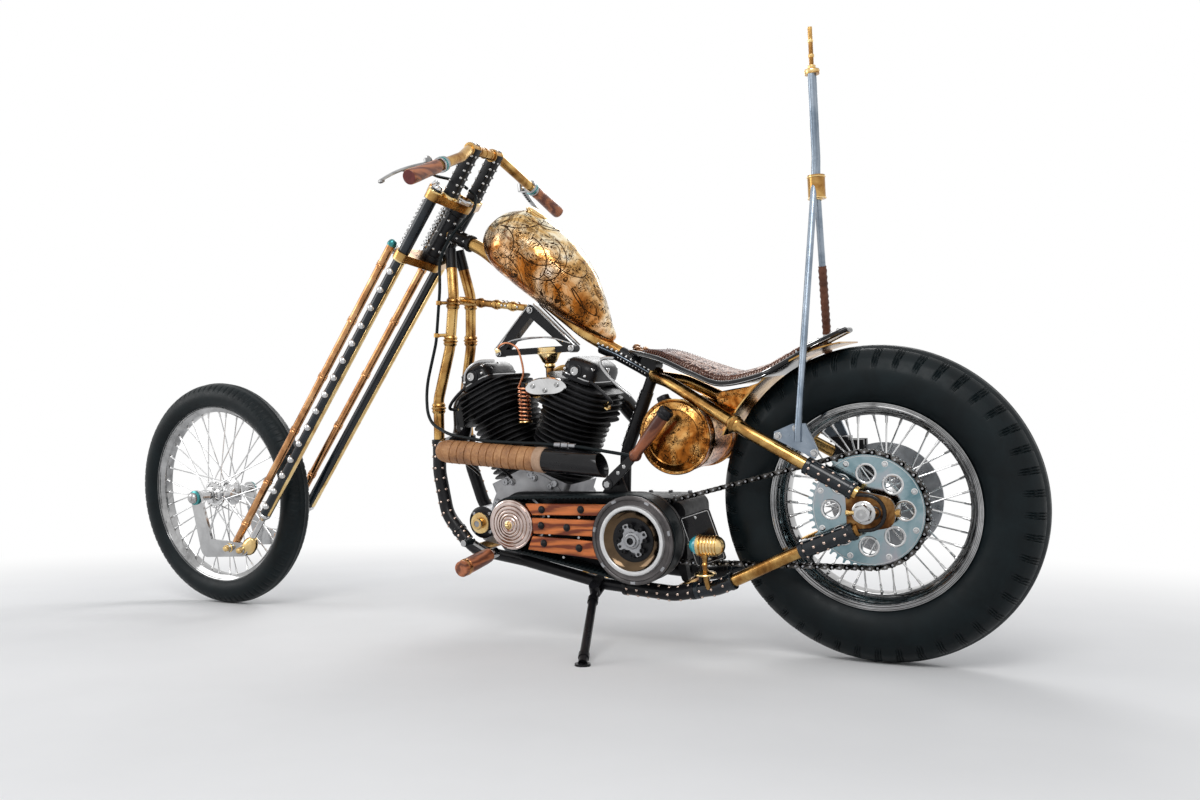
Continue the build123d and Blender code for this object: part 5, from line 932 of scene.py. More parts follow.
def build_rear_legs():
    """Black rear legs with a gold strip behind, big polished rivets and a polished rod at the end."""
    shape = Shape()
    top = -HEAD_HALF - CROWN - 10
    shape.tube([on_fork(top, REAR_D, LEG_Y), on_fork(JOINT_S, REAR_D, LEG_Y)], 15.0, 0, 32)
    shape.turned(on_fork(top, REAR_D, LEG_Y), -AXIS_DOWN, [(13.0, -1), (13.0, 2), (10, 7), (5, 9.5), (0, 10)],
                 2, 24)
    shape.turned(on_fork(JOINT_S, REAR_D, LEG_Y), AXIS_DOWN,
                 [(15.2, -8), (17.0, -6), (17.0, -1), (15.5, 2), (12, 9), (9.4, 14)], 2, 32)
    shape.tube([on_fork(JOINT_S, REAR_D, LEG_Y), on_fork(REAR_END_S - 14, REAR_D, LEG_Y)], 9.2, 2, 24)
    shape.turned(on_fork(REAR_END_S, REAR_D, LEG_Y - 8), ACROSS,
                 [(6, 0), (14, 0), (16, 2), (16, 14), (14, 16), (6, 16)], 2, 32)
    strip = []
    outline = ((6.5, -1.5), (6.8, 1.2), (3.0, 2.8), (-3.0, 2.8), (-6.8, 1.2), (-6.5, -1.5))
    for at in leg_line(REAR_D, HEAD_HALF + 30, JOINT_S - 12):
        back = -AXIS_FRONT * 14.6
        strip.append([at + back + ACROSS * w - AXIS_FRONT * h for w, h in outline])
    shape.rings(strip, 1)
    count = 15
    for i in range(count):
        s = HEAD_HALF + 62 + (JOINT_S - HEAD_HALF - 100) * i / (count - 1)
        at = on_fork(s, REAR_D, LEG_Y)
        shape.turned(at + ACROSS * 13.0, ACROSS, [(9.6, -1), (9.8, 3.4), (8.6, 6.2), (5.4, 8.4), (0, 9.2)],
                     2, 20)
        shape.dome(at + AXIS_FRONT * 14.2 + ACROSS * 4, AXIS_FRONT + ACROSS * 0.3, 4.2, 3.4, 2, 12)
    shape.mirrored()
    return shape.piece("fork_rear_legs_dressed", "fork", [SLEEVE_BLACK, BRASS_LIGHT, POLISHED],
                       ["fork_rear_legs"])


def build_front_legs():
    """Slim copper-brass front legs with an acorn nut at the top and rings at their joints."""
    shape = Shape()
    top = HEAD_HALF + 8
    shape.tube([on_fork(top, FRONT_D, LEG_Y), on_fork(FRONT_END_S - 12, FRONT_D, LEG_Y)], 11.0, 0, 28)
    shape.turned(on_fork(top - 2, FRONT_D, LEG_Y), -AXIS_DOWN,
                 [(12.4, -3), (12.8, 1), (11.5, 6), (10.4, 9), (6.5, 13), (0, 14)], 1, 28)
    for s in (150.0, 330.0, 520.0, 710.0, 900.0, 1060.0):
        joint = symmetric([(13.4, 0), (11.6, 2), (12.6, 4), (12.6, 7.5), (10.9, 9)])
        shape.turned(on_fork(s, FRONT_D, LEG_Y), AXIS_DOWN, joint, 0, 28)
    shape.turned(on_fork(FRONT_END_S, FRONT_D, LEG_Y - 8), ACROSS,
                 [(5, 0), (12, 0), (14, 2), (14, 14), (12, 16), (5, 16)], 0, 28)
    shape.mirrored()
    return shape.piece("fork_front_legs_dressed", "fork", [COPPER_BRASS, TEAL], ["fork_front_legs"])


def helix(low, high, d, y, radius, turns):
    """A coil along the steering axis."""
    line = []
    count = int(turns * 20)
    for i in range(count + 1):
        angle = 2 * math.pi * turns * i / count
        at = on_fork(low + (high - low) * i / count, d, y)
        line.append(at + AXIS_FRONT * (radius * math.cos(angle)) + ACROSS * (radius * math.sin(angle)))
    return line


def build_springs():
    """A pair of coil springs on rods, between the two crowns."""
    shape = Shape()
    for y in (SPRING_Y, -SPRING_Y):
        rod = [on_fork(-HEAD_HALF - 20, SPRING_D, y), on_fork(HEAD_HALF + 20, SPRING_D, y)]
        shape.tube(rod, 4.6, 1, 16)
        shape.tube(helix(-HEAD_HALF + 2, HEAD_HALF + 10, SPRING_D, y, 10.0, 13.0), 2.9, 0, 10)
        for s in (-HEAD_HALF + 1, HEAD_HALF + 9):
            cup = [(5, -2), (12.8, -2), (13.0, 0), (12.8, 2), (5, 2)]
            shape.turned(on_fork(s, SPRING_D, y), AXIS_DOWN, cup, 1, 28)
    return shape.piece("fork_springs_dressed", "fork", [CHROME, POLISHED], ["fork_springs"])


def build_crown_trim():
    """Collars round the legs, cap nuts and small bolts on both crowns, and the stem's nut."""
    shape = Shape()
    for s_face, out in ((-HEAD_HALF - CROWN - 0.3, -1), (HEAD_HALF + CROWN + 0.3, 1)):
        for y in (LEG_Y, -LEG_Y):
            at = on_fork(s_face, REAR_D, y)
            shape.turned(at, AXIS_DOWN * out, [(15.1, -1), (20.5, -1), (20.8, 1.5), (19.4, 4.2), (15.1, 5.0)],
                         0, 36)
        for d, y, r in ((0.0, 60.0, 5.0), (0.0, -60.0, 5.0), (-18.0, 26.0, 4.0), (-18.0, -26.0, 4.0)):
            at = on_fork(s_face, d + 6, y)
            shape.hexagon(at, AXIS_DOWN * out, r, 4.5, 1)
    for y in (SPRING_Y, -SPRING_Y):
        at = on_fork(-HEAD_HALF - CROWN, SPRING_D, y)
        shape.turned(at, -AXIS_DOWN, [(5, -1), (10.5, -1), (10.5, 7)], 1, 6)
        shape.turned(at, -AXIS_DOWN, [(8.6, 6), (8.6, 10), (6.4, 14.5), (0, 16)], 1, 20)
    stem = on_fork(-HEAD_HALF - CROWN - 0.5, 0.0)
    shape.turned(stem, -AXIS_DOWN, [(14.1, 0), (22, 0), (22, 9), (14.1, 11)], 1, 6)
    return shape.piece("crown_trim", "fork", [BRASS_LIGHT, POLISHED])


def build_head_trim():
    """Bearing cups' rolled edges and the bolts on the black headstock."""
    shape = Shape()
    for s, out in ((-HEAD_HALF + 14, 1), (HEAD_HALF - 14, -1)):
        shape.turned(on_fork(s, 0), AXIS_DOWN * out,
                     [(24.0, -1.5), (28.6, -1.5), (29.0, -0.4), (27.0, 2.0), (24.0, 4.0)], 0, 44)
    for s in (-44.0, 0.0, 44.0):
        for angle in (0.5, 1.25, 2.0, -0.5, -1.25, -2.0):
            out = (-AXIS_FRONT * math.cos(angle) + ACROSS * math.sin(angle)).normalized()
            shape.dome(on_fork(s, 0) + out * 24.0, out, 4.0, 3.2, 1, 12)
    return shape.piece("headstock_trim", "frame", [BLACK, CHROME])


BAR = [(944, 335, 1129), (950, 118, 1212), (962, 62, 1243)]


def build_risers():
    """Flat-sided black risers with rivets down both edges and a brass foot."""
    shape = Shape()
    low = on_fork(-HEAD_HALF - CROWN - 0.3, 5.0, RISER_Y)
    high = on_fork(-239.0 - BAR_RADIUS + 4, 11.0, RISER_Y)
    along = (high - low).normalized()
    fore = (AXIS_FRONT - along * AXIS_FRONT.dot(along)).normalized()
    length = (high - low).length
    rings = []
    for share, wide, deep in ((0.0, 17, 17), (0.03, 18.5, 18.5), (0.12, 18.5, 15), (0.5, 18, 13),
                              (0.8, 18, 14), (0.9, 18.5, 17), (1.0, 18.5, 17.5)):
        ring = []
        for angle in angles_round(28):
            c, s = math.cos(angle), math.sin(angle)
            x = wide * math.copysign(abs(c) ** 0.55, c)
            y = deep * math.copysign(abs(s) ** 0.55, s)
            ring.append(low + along * (length * share) + fore * x + ACROSS * y)
        rings.append(ring)
    shape.rings(rings, 0)
    for i in range(6):
        at = low + along * (length * (0.14 + 0.72 * i / 5))
        for x in (-14.0, 14.0):
            for side in SIDES:
                out = ACROSS * side + fore * (x / 30)
                shape.dome(at + fore * x + ACROSS * (13.2 * side), out, 3.6, 3.0, 1, 12)
        for side in SIDES:
            shape.dome(at + fore * (17.5 * side), fore * side, 3.2, 2.6, 1, 12)
    shape.turned(low, along, [(12, -1), (22, -1), (23, 2), (22, 6), (19, 8), (12, 8)], 2, 36)
    shape.mirrored()
    return shape.piece("risers_dressed", "fork", [BLACK, CHROME, BRASS_LIGHT], ["risers"])


def build_handlebar():
    """The bent brass bar with ringed collars where the risers clamp it."""
    shape = Shape()
    points = [Vector(p) for p in BAR] + [mirror_point(p) for p in reversed(BAR)]
    shape.tube(route(points, 40.0, 4.0), BAR_RADIUS, 0, 28)
    middle = Vector((BAR[2][0], 0, BAR[2][2]))
    for y in (RISER_Y, -RISER_Y):
        at = middle + ACROSS * y
        shape.turned(at - ACROSS * 17, ACROSS, [(12.4, 0), (16.6, 0.5), (17.2, 3), (15.6, 5), (15.6, 29),
                                                (17.2, 31), (16.6, 33.5), (12.4, 34)], 0, 36)
        for side in (-1, 1):
            bolt = at + ACROSS * (9 * side) - AXIS_DOWN * 14.5
            shape.turned(bolt, -AXIS_DOWN, [(4.6, -1), (4.6, 4), (3.6, 5)], 1, 16)
    for y in (25.0, -25.0, 0.0):
        ring = [(12.4, 0), (14.2, 0.8), (14.2, 4.2), (12.4, 5)]
        shape.turned(middle + ACROSS * (y - 2.5), ACROSS, ring, 0, 32)
    inward = (Vector(BAR[1]) - Vector(BAR[0])).normalized()
    stop = Vector(BAR[0]) + inward * 128
    for at, along in ((stop, inward), (mirror_point(stop), mirror_point(inward))):
        shape.turned(at, along, [(12.4, 0), (17.6, 0.5), (18.4, 4), (16.4, 6), (16.4, 10), (18.0, 12),
                                 (17.4, 16), (12.4, 17)], 1, 36)
    return shape.piece("handlebar_dressed", "fork", [BRASS, CHROME], ["handlebar"])


def build_grips():
    """Turned wooden grips, slightly swelled, with a round end and a dark end grain."""
    shape = Shape()
    end = Vector(BAR[0])
    inward = (Vector(BAR[1]) - end).normalized()
    profile = [(16.2, -2.4), (17.4, -1.4), (17.9, 1.0), (18.0, 8), (17.8, 25), (16.9, 55), (16.2, 85),
               (16.0, 104), (16.4, 113), (16.0, 119), (13.0, 121.5)]
    shape.turned(end, inward, profile, 0, 44)
    shape.turned(end, inward, [(16.6, -2.2), (15.8, -3.0), (8.0, -2.9), (0, -2.9)], 1, 44)
    shape.mirrored()
    return shape.piece("grips_dressed", "fork", [WOOD_Y, END_GRAIN], ["grips"])


def build_levers():
    """Long curved chrome levers with lightening holes near their clamps."""
    shape = Shape()
    end = Vector(BAR[0])
    inward = (Vector(BAR[1]) - end).normalized()
    clamp = end + inward * 127
    shape.turned(clamp + inward * 2, inward, [(12.9, 0), (18.4, 0.6), (18.9, 3), (18.4, 6), (17.2, 8),
                                              (17.2, 15), (18.4, 18), (18.2, 22), (12.9, 22.4)], 0, 36)
    mid = clamp + inward * 12
    root = mid + Vector((36, 4, 8))
    tip = root + Vector((24, 150, -62))
    shape.tube([mid + Vector((10, 0, 2)), root], 7.6, 0, 16)
    shape.turned(root + Vector((0, 0, -12)), UP, [(10, 0), (11, 1), (11, 22), (9.5, 24)], 0, 24)
    shape.hexagon(root + Vector((0, 0, 12)), UP, 6, 5, 0)
    run = (tip - root).normalized()
    thick = run.cross(Vector((1, 0, 0))).normalized()
    wide = thick.cross(run).normalized()

    def bowed(t):
        """A point of the lever's curve, from its root to its tip."""
        return root.lerp(tip, t) + Vector((9 * math.sin(math.pi * t), 0, 7 * math.sin(math.pi * t * 0.9)))

    rings = []
    for i in range(25):
        t = i / 24
        w, h = 10.2 - 4.6 * t, 4.8 - 1.4 * t
        rings.append([bowed(t) + wide * (w * math.cos(a)) + thick * (h * math.sin(a))
                      for a in angles_round(16)])
    shape.rings(rings, 0)
    for i in range(6):
        hole = bowed(0.1 + 0.075 * i) + thick * 4.1
        shape.turned(hole, thick, [(2.0, 0), (3.6, 0), (3.8, 0.9), (3.0, 1.2), (2.4, 0.6)], 1, 14)
    shape.turned(tip, run, [(4.4, -8), (5.2, -2), (4.8, 4), (2.8, 7.2), (0, 8)], 0, 16)
    ring = [(17.0, 0), (18.8, 0.5), (19.2, 2.5), (18.8, 4.5), (17.0, 5)]
    shape.turned(clamp + inward * 10, inward, ring, 2, 36)
    shape.mirrored()
    return shape.piece("levers_dressed", "fork", [RIM, BLACK, TEAL], ["levers"])


def build_rocker_trim():
    """Gold washers and cap nuts on the rocker plates, and a rounded brass cup at each rear pivot."""
    shape = Shape()
    rear, front = on_fork(REAR_END_S, REAR_D), on_fork(FRONT_END_S, FRONT_D)
    for pin in (rear, front):
        at = Vector((pin.x, 115.0, pin.z))
        shape.turned(at - ACROSS * 9, ACROSS, [(13.4, -1), (14.0, 1), (12.0, 4), (11.5, 5)], 0, 32)
        shape.turned(at - ACROSS * 4, ACROSS, [(10.2, 0), (10.2, 8)], 0, 6)
        shape.turned(at + ACROSS * 4, ACROSS, [(8.8, -1), (8.8, 2), (6.4, 5.4), (0, 7)], 0, 24)
    cup = on_fork(REAR_END_S - 6, REAR_D - 4, LEG_Y)
    shape.turned(cup, AXIS_DOWN, [(9.3, -40), (12, -38), (13.5, -32), (17.5, -27), (21.0, -18), (22.5, -7),
                                  (21.5, 5), (17.5, 13), (11, 17), (5, 18.5), (0, 19)], 0, 36)
    shape.mirrored()
    return shape.piece("rocker_trim", "fork", [BRASS_LIGHT, COPPER_BRASS])


build_rear_legs()
build_front_legs()
build_springs()
build_crown_trim()
build_head_trim()
build_risers()
build_handlebar()
build_grips()
build_levers()
build_rocker_trim()
build_downtubes()
build_lower_rails_trim()
build_chain_stays()
build_seat_stays()
build_backbone()


# Engine

CRANK = Vector((835.0, 0.0, 304.0))
VEE = math.radians(22.5)


def vee_point(side, s, a, y):
    """A point of a cylinder: s up its axis, a across it in side view, kept on its own side of the vee."""
    axis = Vector((math.sin(VEE) * side, 0, math.cos(VEE)))
    across = Vector((math.cos(VEE), 0, -math.sin(VEE) * side)) * side
    limit = (0.75 - math.sin(VEE) * s) / math.cos(VEE)
    return CRANK + axis * s + across * max(a, limit) + Vector((0, y, 0))


def soft_square(power, count):
    """Shares along two axes round a shape between a circle (power 2) and a square (higher)."""
    shares = []
    for angle in angles_round(count):
        c, t = math.cos(angle), math.sin(angle)
        grow = (abs(c) ** power + abs(t) ** power) ** (-1.0 / power)
        shares.append((grow * c, grow * t))
    return shares


def round_ring(side, s, radius, power=2.0):
    """A ring round the cylinder's axis, from round (2) towards square (higher)."""
    return [vee_point(side, s, radius * c, radius * t) for c, t in soft_square(power, 72)]


def build_cylinders():
    """Finned barrels and squarer finned heads with their rocker boxes."""
    shape = Shape()
    for side in SIDES:
        rings = [round_ring(side, s, r) for s, r in ((118, 64), (122, 70), (126, 70), (128, 62))]
        for i in range(11):
            low = 131 + 152.0 / 11 * i
            edge = 88.0 if i < 9 else 90.0
            fin = ((0, 62), (0.6, 66), (1.6, edge - 1), (2.4, edge), (3.6, edge), (4.4, edge - 1), (5.4, 66),
                   (6.0, 62))
            rings += [round_ring(side, low + s, r) for s, r in fin]
        for i in range(6):
            low = 284 + 14.0 * i
            edge = 93.0 - 1.5 * i
            fin = ((0, 72), (0.8, 76), (1.8, edge - 1), (2.6, edge), (4.2, edge), (5.0, edge - 1), (6.0, 76),
                   (6.8, 72))
            rings += [round_ring(side, low + s, r, 4.0 if r > 80 else 3.2) for s, r in fin]
        shape.rings(rings, 0)
    return shape.piece("cylinders_dressed", "frame", [BLACK_FIN], ["cylinders"], 30.0)


def box_ring(side, s, half_a, half_y):
    """A ring round a rocker box, almost square."""
    return [vee_point(side, s, half_a * c + 4.0, half_y * t) for c, t in soft_square(4.5, 64)]


def build_rocker_boxes():
    """Two-part black rocker boxes with a rounded lid, a bright seam, bolts and side caps."""
    shape = Shape()
    box = ((366, 42, 72), (368, 47, 77), (372, 48, 78), (376, 48, 78), (377.5, 44, 74), (379, 44, 74),
           (380.5, 47, 77), (398, 47, 77), (408, 44, 74), (416, 36, 67), (421, 24, 56), (422, 10, 42))
    seam = ((376.6, 44.6, 74.6), (377, 45.6, 75.6), (379.4, 45.6, 75.6), (380, 44.6, 74.6))
    for side in SIDES:
        for mark, levels in enumerate((box, seam)):
            shape.rings([box_ring(side, s, a, y) for s, a, y in levels], mark)
        axis = Vector((math.sin(VEE) * side, 0, math.cos(VEE)))
        for a, y in ((-30, 62), (34, 62), (-30, -62), (34, -62), (-36, 0), (42, 0)):
            at = vee_point(side, 402 if y else 404, a + 2, y)
            shape.turned(at, axis, [(6.5, -8), (6.5, 7), (5.6, 8.4), (3.4, 8.4), (3.4, 5)], 1, 18)
        for y in SIDES:
            cap = vee_point(side, 392, 2, 76.0 * y)
            out = Vector((0, y, 0))
            shape.turned(cap, out, [(17, -3), (17, 2.5), (15, 4), (11.5, 4.4)], 0, 32)
            shape.turned(cap, out, [(10.6, 3), (11, 6), (10.2, 8.6), (6.2, 9.0), (5.8, 6.0), (0, 5.6)], 1, 28)
            for a in (-28, 30):
                shape.dome(vee_point(side, 388, a, 77.0 * y), out, 4.4, 3.6, 1, 12)
    return shape.piece("rocker_boxes", "frame", [BLACK, CHROME], (), 40.0)


def arch(points, steps=12):
    """A smooth curve that runs through all the points."""
    points = [Vector(p) for p in points]
    ends = [points[0] * 2 - points[1]] + points + [points[-1] * 2 - points[-2]]
    line = []
    for a, b, c, d in zip(ends, ends[1:], ends[2:], ends[3:]):
        for i in range(steps):
            t = i / steps
            bend = (2 * a - 5 * b + 4 * c - d) * t * t + (3 * b - a - 3 * c + d) * t * t * t
            line.append(0.5 * ((2 * b) + (c - a) * t + bend))
    line.append(points[-1])
    return line


def build_engine_pipes():
    """Copper oil feed with its coil, the bright breather lines and the plug leads."""
    shape = Shape()
    coil = []
    for i in range(int(8.5 * 22) + 1):
        angle = 2 * math.pi * i / 22
        coil.append(Vector((836 + 14.0 * math.cos(angle), 74 + 14.0 * math.sin(angle), 632 - 9.6 * i / 22)))
    feed = arch([(905, 78, 729), (890, 82, 741), (866, 84, 744), (842, 84, 730), (833, 82, 702),
                 (830, 80, 668), (842, 76, 646), (850, 74, 632)])
    shape.tube(feed + coil[1:], 2.6, 0, 12)
    shape.turned((905, 78, 729), (0.3, 0.2, 0.9), [(4, -8), (6.5, -7), (6.5, 0), (4.5, 4)], 1, 6)
    shape.turned((836, 74, 548), UP, [(5, -4), (16.5, -4), (17.2, -2), (16.5, 0), (5, 0)], 1, 32)
    shape.tube([(836, 74, 545), (836, 74, 640)], 6.0, 2, 16)
    shape.tube(arch([(1028, 60, 636), (1014, 72, 652), (1004, 80, 676), (982, 83, 694), (955, 82, 703),
                     (915, 80, 702)]), 4.0, 3, 14)
    shape.tube(arch([(1028, 60, 636), (1034, 44, 628), (1022, 24, 618)]), 4.4, 0, 14)
    shape.tube(arch([(586, 62, 690), (608, 66, 692), (620, 68, 684), (612, 66, 662), (584, 60, 628),
                     (552, 52, 600)]), 4.0, 3, 14)
    for side in SIDES:
        plug = vee_point(side, 330, 88, 30)
        out = Vector((math.cos(VEE) * side * 0.6, 0.7, 0.25)).normalized()
        shape.turned(plug - out * 6, out, [(10, 0), (10, 8), (7, 9), (6.4, 24), (5, 26), (5, 34)], 1, 6)
        shape.tube(arch([plug + out * 22, plug + out * 48, plug + out * 30 + Vector((-30 * side, 14, 46)),
                         vee_point(side, 340, -20, 44) + Vector((0, 0, 60))]), 4.2, 2, 14)
    return shape.piece("engine_pipes", "frame", [COPPER, BRASS_LIGHT, BLACK, CHROME],
                       ["ignition_coil"])


def build_intake_trim():
    """Polished bracket in the vee, the brass bowl, and the air cleaner's ribbed face."""
    shape = Shape()
    heart = []
    for t in angles_round(40):
        x = 62.0 * math.copysign(abs(math.cos(t)) ** 0.8, math.cos(t))
        z = 22.0 * math.copysign(abs(math.sin(t)) ** 1.2, math.sin(t)) - 10.0 * math.cos(t) ** 2 * 0.4
        heart.append((764 + x * 0.95, 632 + z))
    shape.slab(heart, 70, 92, 0, 3.5)
    for x, z in ((730, 634), (798, 634), (764, 622)):
        shape.turned((x, 92, z), ACROSS, [(6, -1), (6, 4), (5, 5.5), (2.8, 5.5), (2.8, 3)], 1, 16)
    shape.turned((800, 0, 676), UP, [(11.2, 0), (14, 4), (14, 8), (12, 11), (18, 16), (27.5, 34), (30, 46),
                                     (30, 52), (27, 54), (24.5, 50), (16, 30), (0, 24)], 2, 44)
    shape.turned((800, 0, 712), UP, [(29, 0), (31.4, 1), (31.4, 4), (29, 5)], 2, 44)
    profile = [(63, -2), (64.5, 2), (64.5, 6), (62, 9)]
    for r in (58, 50, 42, 34, 26, 18):
        profile += [(r, 9), (r - 1, 11.5), (r - 4, 11.5), (r - 5, 9)]
    shape.turned((835, -160, 622), -ACROSS, profile + [(8, 9), (7, 14), (0, 16)], 0, 72)
    return shape.piece("intake_trim", "frame", [POLISHED, CHROME, BRASS_LIGHT])


def build_mount_trim():
    """Bright edges and bolts on the black top mount, and fittings on the knuckled crossbar."""
    shape = Shape()
    for y in (14.5, -14.5):
        outline = [(842, 841), (955, 732), (951, 712), (842, 818), (722, 712), (718, 730), (830, 841)]
        line = [Vector((x, y, z)) for x, z in outline]
        shape.tube(finer([line[0], line[1]], 20), 2.0, 0, 10)
        shape.tube(finer([line[5], line[6]], 20), 2.0, 0, 10)
        shape.tube(arch([(944, y, 735), (900, y, 752), (842, y, 756), (784, y, 752), (728, y, 735)]),
                   2.2, 0, 10)
    for x, z in ((944, 722), (728, 722), (842, 826)):
        for side in SIDES:
            out = ACROSS * side
            shape.turned((x, 14 * side, z), out, [(8.5, -1), (8.5, 1.6), (7.6, 2.2)], 0, 24)
            shape.hexagon((x, 14 * side, z), out, 6.4, 7.5, 0)
    start, end = Vector((1058, 0, 868)), Vector((862, 0, 834))
    for share in (0.3, 0.55, 0.8):
        knuckle(shape, start.lerp(end, share), end - start, 1, 0.62)
    for share in (0.66, 0.72, 0.9):
        shape.dome(start.lerp(end, share) + Vector((0, 0, 9)), UP, 4.5, 5.0, 0, 14)
        shape.dome(start.lerp(end, share) + Vector((0, 9, 0)), (0, 1, 0), 4.0, 4.0, 0, 14)
    return shape.piece("top_mount_trim", "frame", [CHROME, BRASS])


def build_case():
    """Screws and the seam on the cast crankcase, and the generator's end."""
    shape = Shape()
    shape.turned((CRANK.x, 0, CRANK.z), ACROSS, [(116.2, -2.5), (119.0, -1.6), (119.0, 1.6), (116.2, 2.5)],
                 0, 96, caps=False)
    for degrees in (22, 62, 100, 128, 158, 200, 320, 345):
        a = math.radians(degrees)
        for side in SIDES:
            at = polar(CRANK, 104.0, a, 78.0 * side)
            out = ACROSS * side
            shape.turned(at, out, [(9.5, -2), (9.5, 2), (8.4, 3)], 0, 20)
            shape.turned(at, out, [(6.6, 2), (6.6, 6), (5.6, 7), (3.2, 7), (3.2, 4.5), (0, 4.5)], 1, 18)
    for x, z in ((828, 414), (760, 392), (902, 396), (846, 440)):
        shape.turned((x, 78, z), ACROSS, [(8.8, -8), (8.8, 3), (7.6, 4.2), (3.6, 4.2), (3.6, 2.4), (0, 2.4)],
                     1, 20)
    x, z = 985.0, 290.0
    shape.turned((x, 70, z), ACROSS, [(40.2, -3), (41.2, -1), (41.2, 1), (38, 3), (27, 4)], 2, 48)
    shape.turned((x, 84, z), ACROSS, [(26.2, -4), (27.2, -1), (26.4, 1.2), (20, 1.6), (15.5, 1.6)], 3, 40)
    shape.turned((x, 98, z), ACROSS, [(14.2, -12), (14.8, -2), (13.4, 0.4), (8, 0.8), (7.2, -2), (0, -2)],
                 3, 32)
    for k in range(4):
        a = math.radians(45 + 90 * k)
        shape.turned((x + 33 * math.cos(a), 72, z + 33 * math.sin(a)), ACROSS,
                     [(4.6, -1), (4.6, 3), (3.8, 3.8), (2.4, 3.8), (2.4, 2)], 1, 14)
    return shape.piece("case_trim", "frame", [CAST, STEEL, BLACK, BRASS_LIGHT])


def build_pushrods():
    """Bright pushrod tubes with their collars on the engine's right side."""
    shape = Shape()
    for side in SIDES:
        for lift, a in ((0, -24.0), (1, -2.0)):
            low = Vector((CRANK.x + side * (14 + 34 * lift), -86, 392 - 14 * lift))
            high = vee_point(side, 366, a, -86)
            shape.tube([low, high], 7.6, 0, 20)
            run = (high - low).normalized()
            for share in (0.02, 0.5, 0.96):
                shape.turned(low.lerp(high, share), run,
                             [(7.4, -8), (9.8, -7), (10.2, -2), (9.2, 2), (10.2, 5), (9.8, 8), (7.4, 9)],
                             0, 24)
            shape.turned(low, -run, [(8, -4), (12.5, 0), (12.5, 18), (10, 22)], 1, 24)
    shape.turned((CRANK.x, -78, CRANK.z + 14), -ACROSS,
                 [(98, -1), (98, 8), (94, 13), (84, 15), (60, 15), (56, 12), (20, 12), (16, 16), (0, 16)],
                 1, 72)
    for k in range(9):
        a = math.radians(40 * k + 10)
        shape.turned((CRANK.x + 89 * math.cos(a), -92, CRANK.z + 14 + 89 * math.sin(a)), -ACROSS,
                     [(5, -2), (5, 3), (4.2, 4), (2.6, 4), (2.6, 2)], 0, 14)
    return shape.piece("pushrods", "frame", [CHROME, CAST], ["cylinders"])


def rounded_outline(x, z, half_x, half_z, corner):
    """A rectangle with round corners, as (x, z) points."""
    out = []
    for turned, (side_x, side_z) in enumerate(((1, 1), (-1, 1), (-1, -1), (1, -1))):
        for i in range(7):
            a = math.pi / 2 * (turned + i / 6)
            out.append((x + side_x * (half_x - corner) + corner * math.cos(a),
                        z + side_z * (half_z - corner) + corner * math.sin(a)))
    return out


GEARBOX = Vector((505.0, 0.0, 278.5))


def build_gearbox_trim():
    """The gearbox's right cover with its round boss, the lid on top, and their screws."""
    shape = Shape()
    x, z = GEARBOX.x, GEARBOX.z
    screw = [(5.6, -1), (5.6, 4.6), (4.8, 5.6), (3.0, 5.6), (3.0, 3), (0, 3)]
    shape.slab(rounded_outline(x, z, 83.0, 69.5, 23.0), -80.0, -73.0, 0, 1.6)
    shape.turned((478, -79, 292), -ACROSS,
                 [(47, -1), (47, 6), (44, 9.5), (31, 11), (29, 9), (14, 9), (14, 15), (12, 17), (0, 17)],
                 0, 56)
    shape.turned((548, -79, 246), -ACROSS, [(17, -1), (17, 5), (15, 7), (9, 7), (8, 4), (0, 4)], 0, 32)
    sides = [(505, 340), (505, 217), (430, 278.5), (580, 278.5)]
    for at_x, at_z in rounded_outline(x, z, 75.0, 61.5, 15.0)[3::7] + sides:
        shape.turned((at_x, -79, at_z), -ACROSS, screw, 1, 16)
    rings = []
    for level, inset in ((350.0, 0.0), (355.5, 0.0), (357.0, 1.6)):
        lid = rounded_outline(x, 0, 62.0 - inset, 54.0 - inset, 14.0)
        rings.append([Vector((at_x, y, level)) for at_x, y in lid])
    shape.rings(rings, 0)
    for at_x, y in rounded_outline(x, 0, 55.0, 47.0, 10.0)[3::7] + [(505, 47), (505, -47)]:
        shape.turned((at_x, y, 356), UP, screw, 1, 16)
    return shape.piece("gearbox_trim", "frame", [BLACK_FIN, STEEL])


build_cylinders()
build_rocker_boxes()
build_engine_pipes()
build_intake_trim()
build_mount_trim()
build_case()
build_pushrods()
build_gearbox_trim()


# Open belt primary

FACE_Y = 158.0


def belt_track():
    """Points round both pulleys and the straight runs between them, each with its outward direction."""
    small, large = 60.0, 96.2
    dx, dz = SHAFT.x - CRANK.x, SHAFT.z - CRANK.z
    gap, towards = math.hypot(dx, dz), math.atan2(dz, dx)
    lean = math.acos((large - small) / gap)
    arcs = [(CRANK, small, towards + math.pi - lean + 2 * lean * i / 60) for i in range(61)]
    arcs += [(SHAFT, large, towards + math.pi + lean + 2 * (math.pi - lean) * i / 60) for i in range(61)]
    points = []
    for centre, radius, a in arcs:
        out = Vector((math.cos(a), 0, math.sin(a)))
        points.append((Vector((centre.x, 0, centre.z)) + out * radius, out))
    track = []
    for (p, n), (q, m) in zip(points, points[1:] + points[:1]):
        count = max(1, round((q - p).length / 4.0))
        track += [(p.lerp(q, i / count), n.lerp(m, i / count).normalized()) for i in range(count)]
    return track


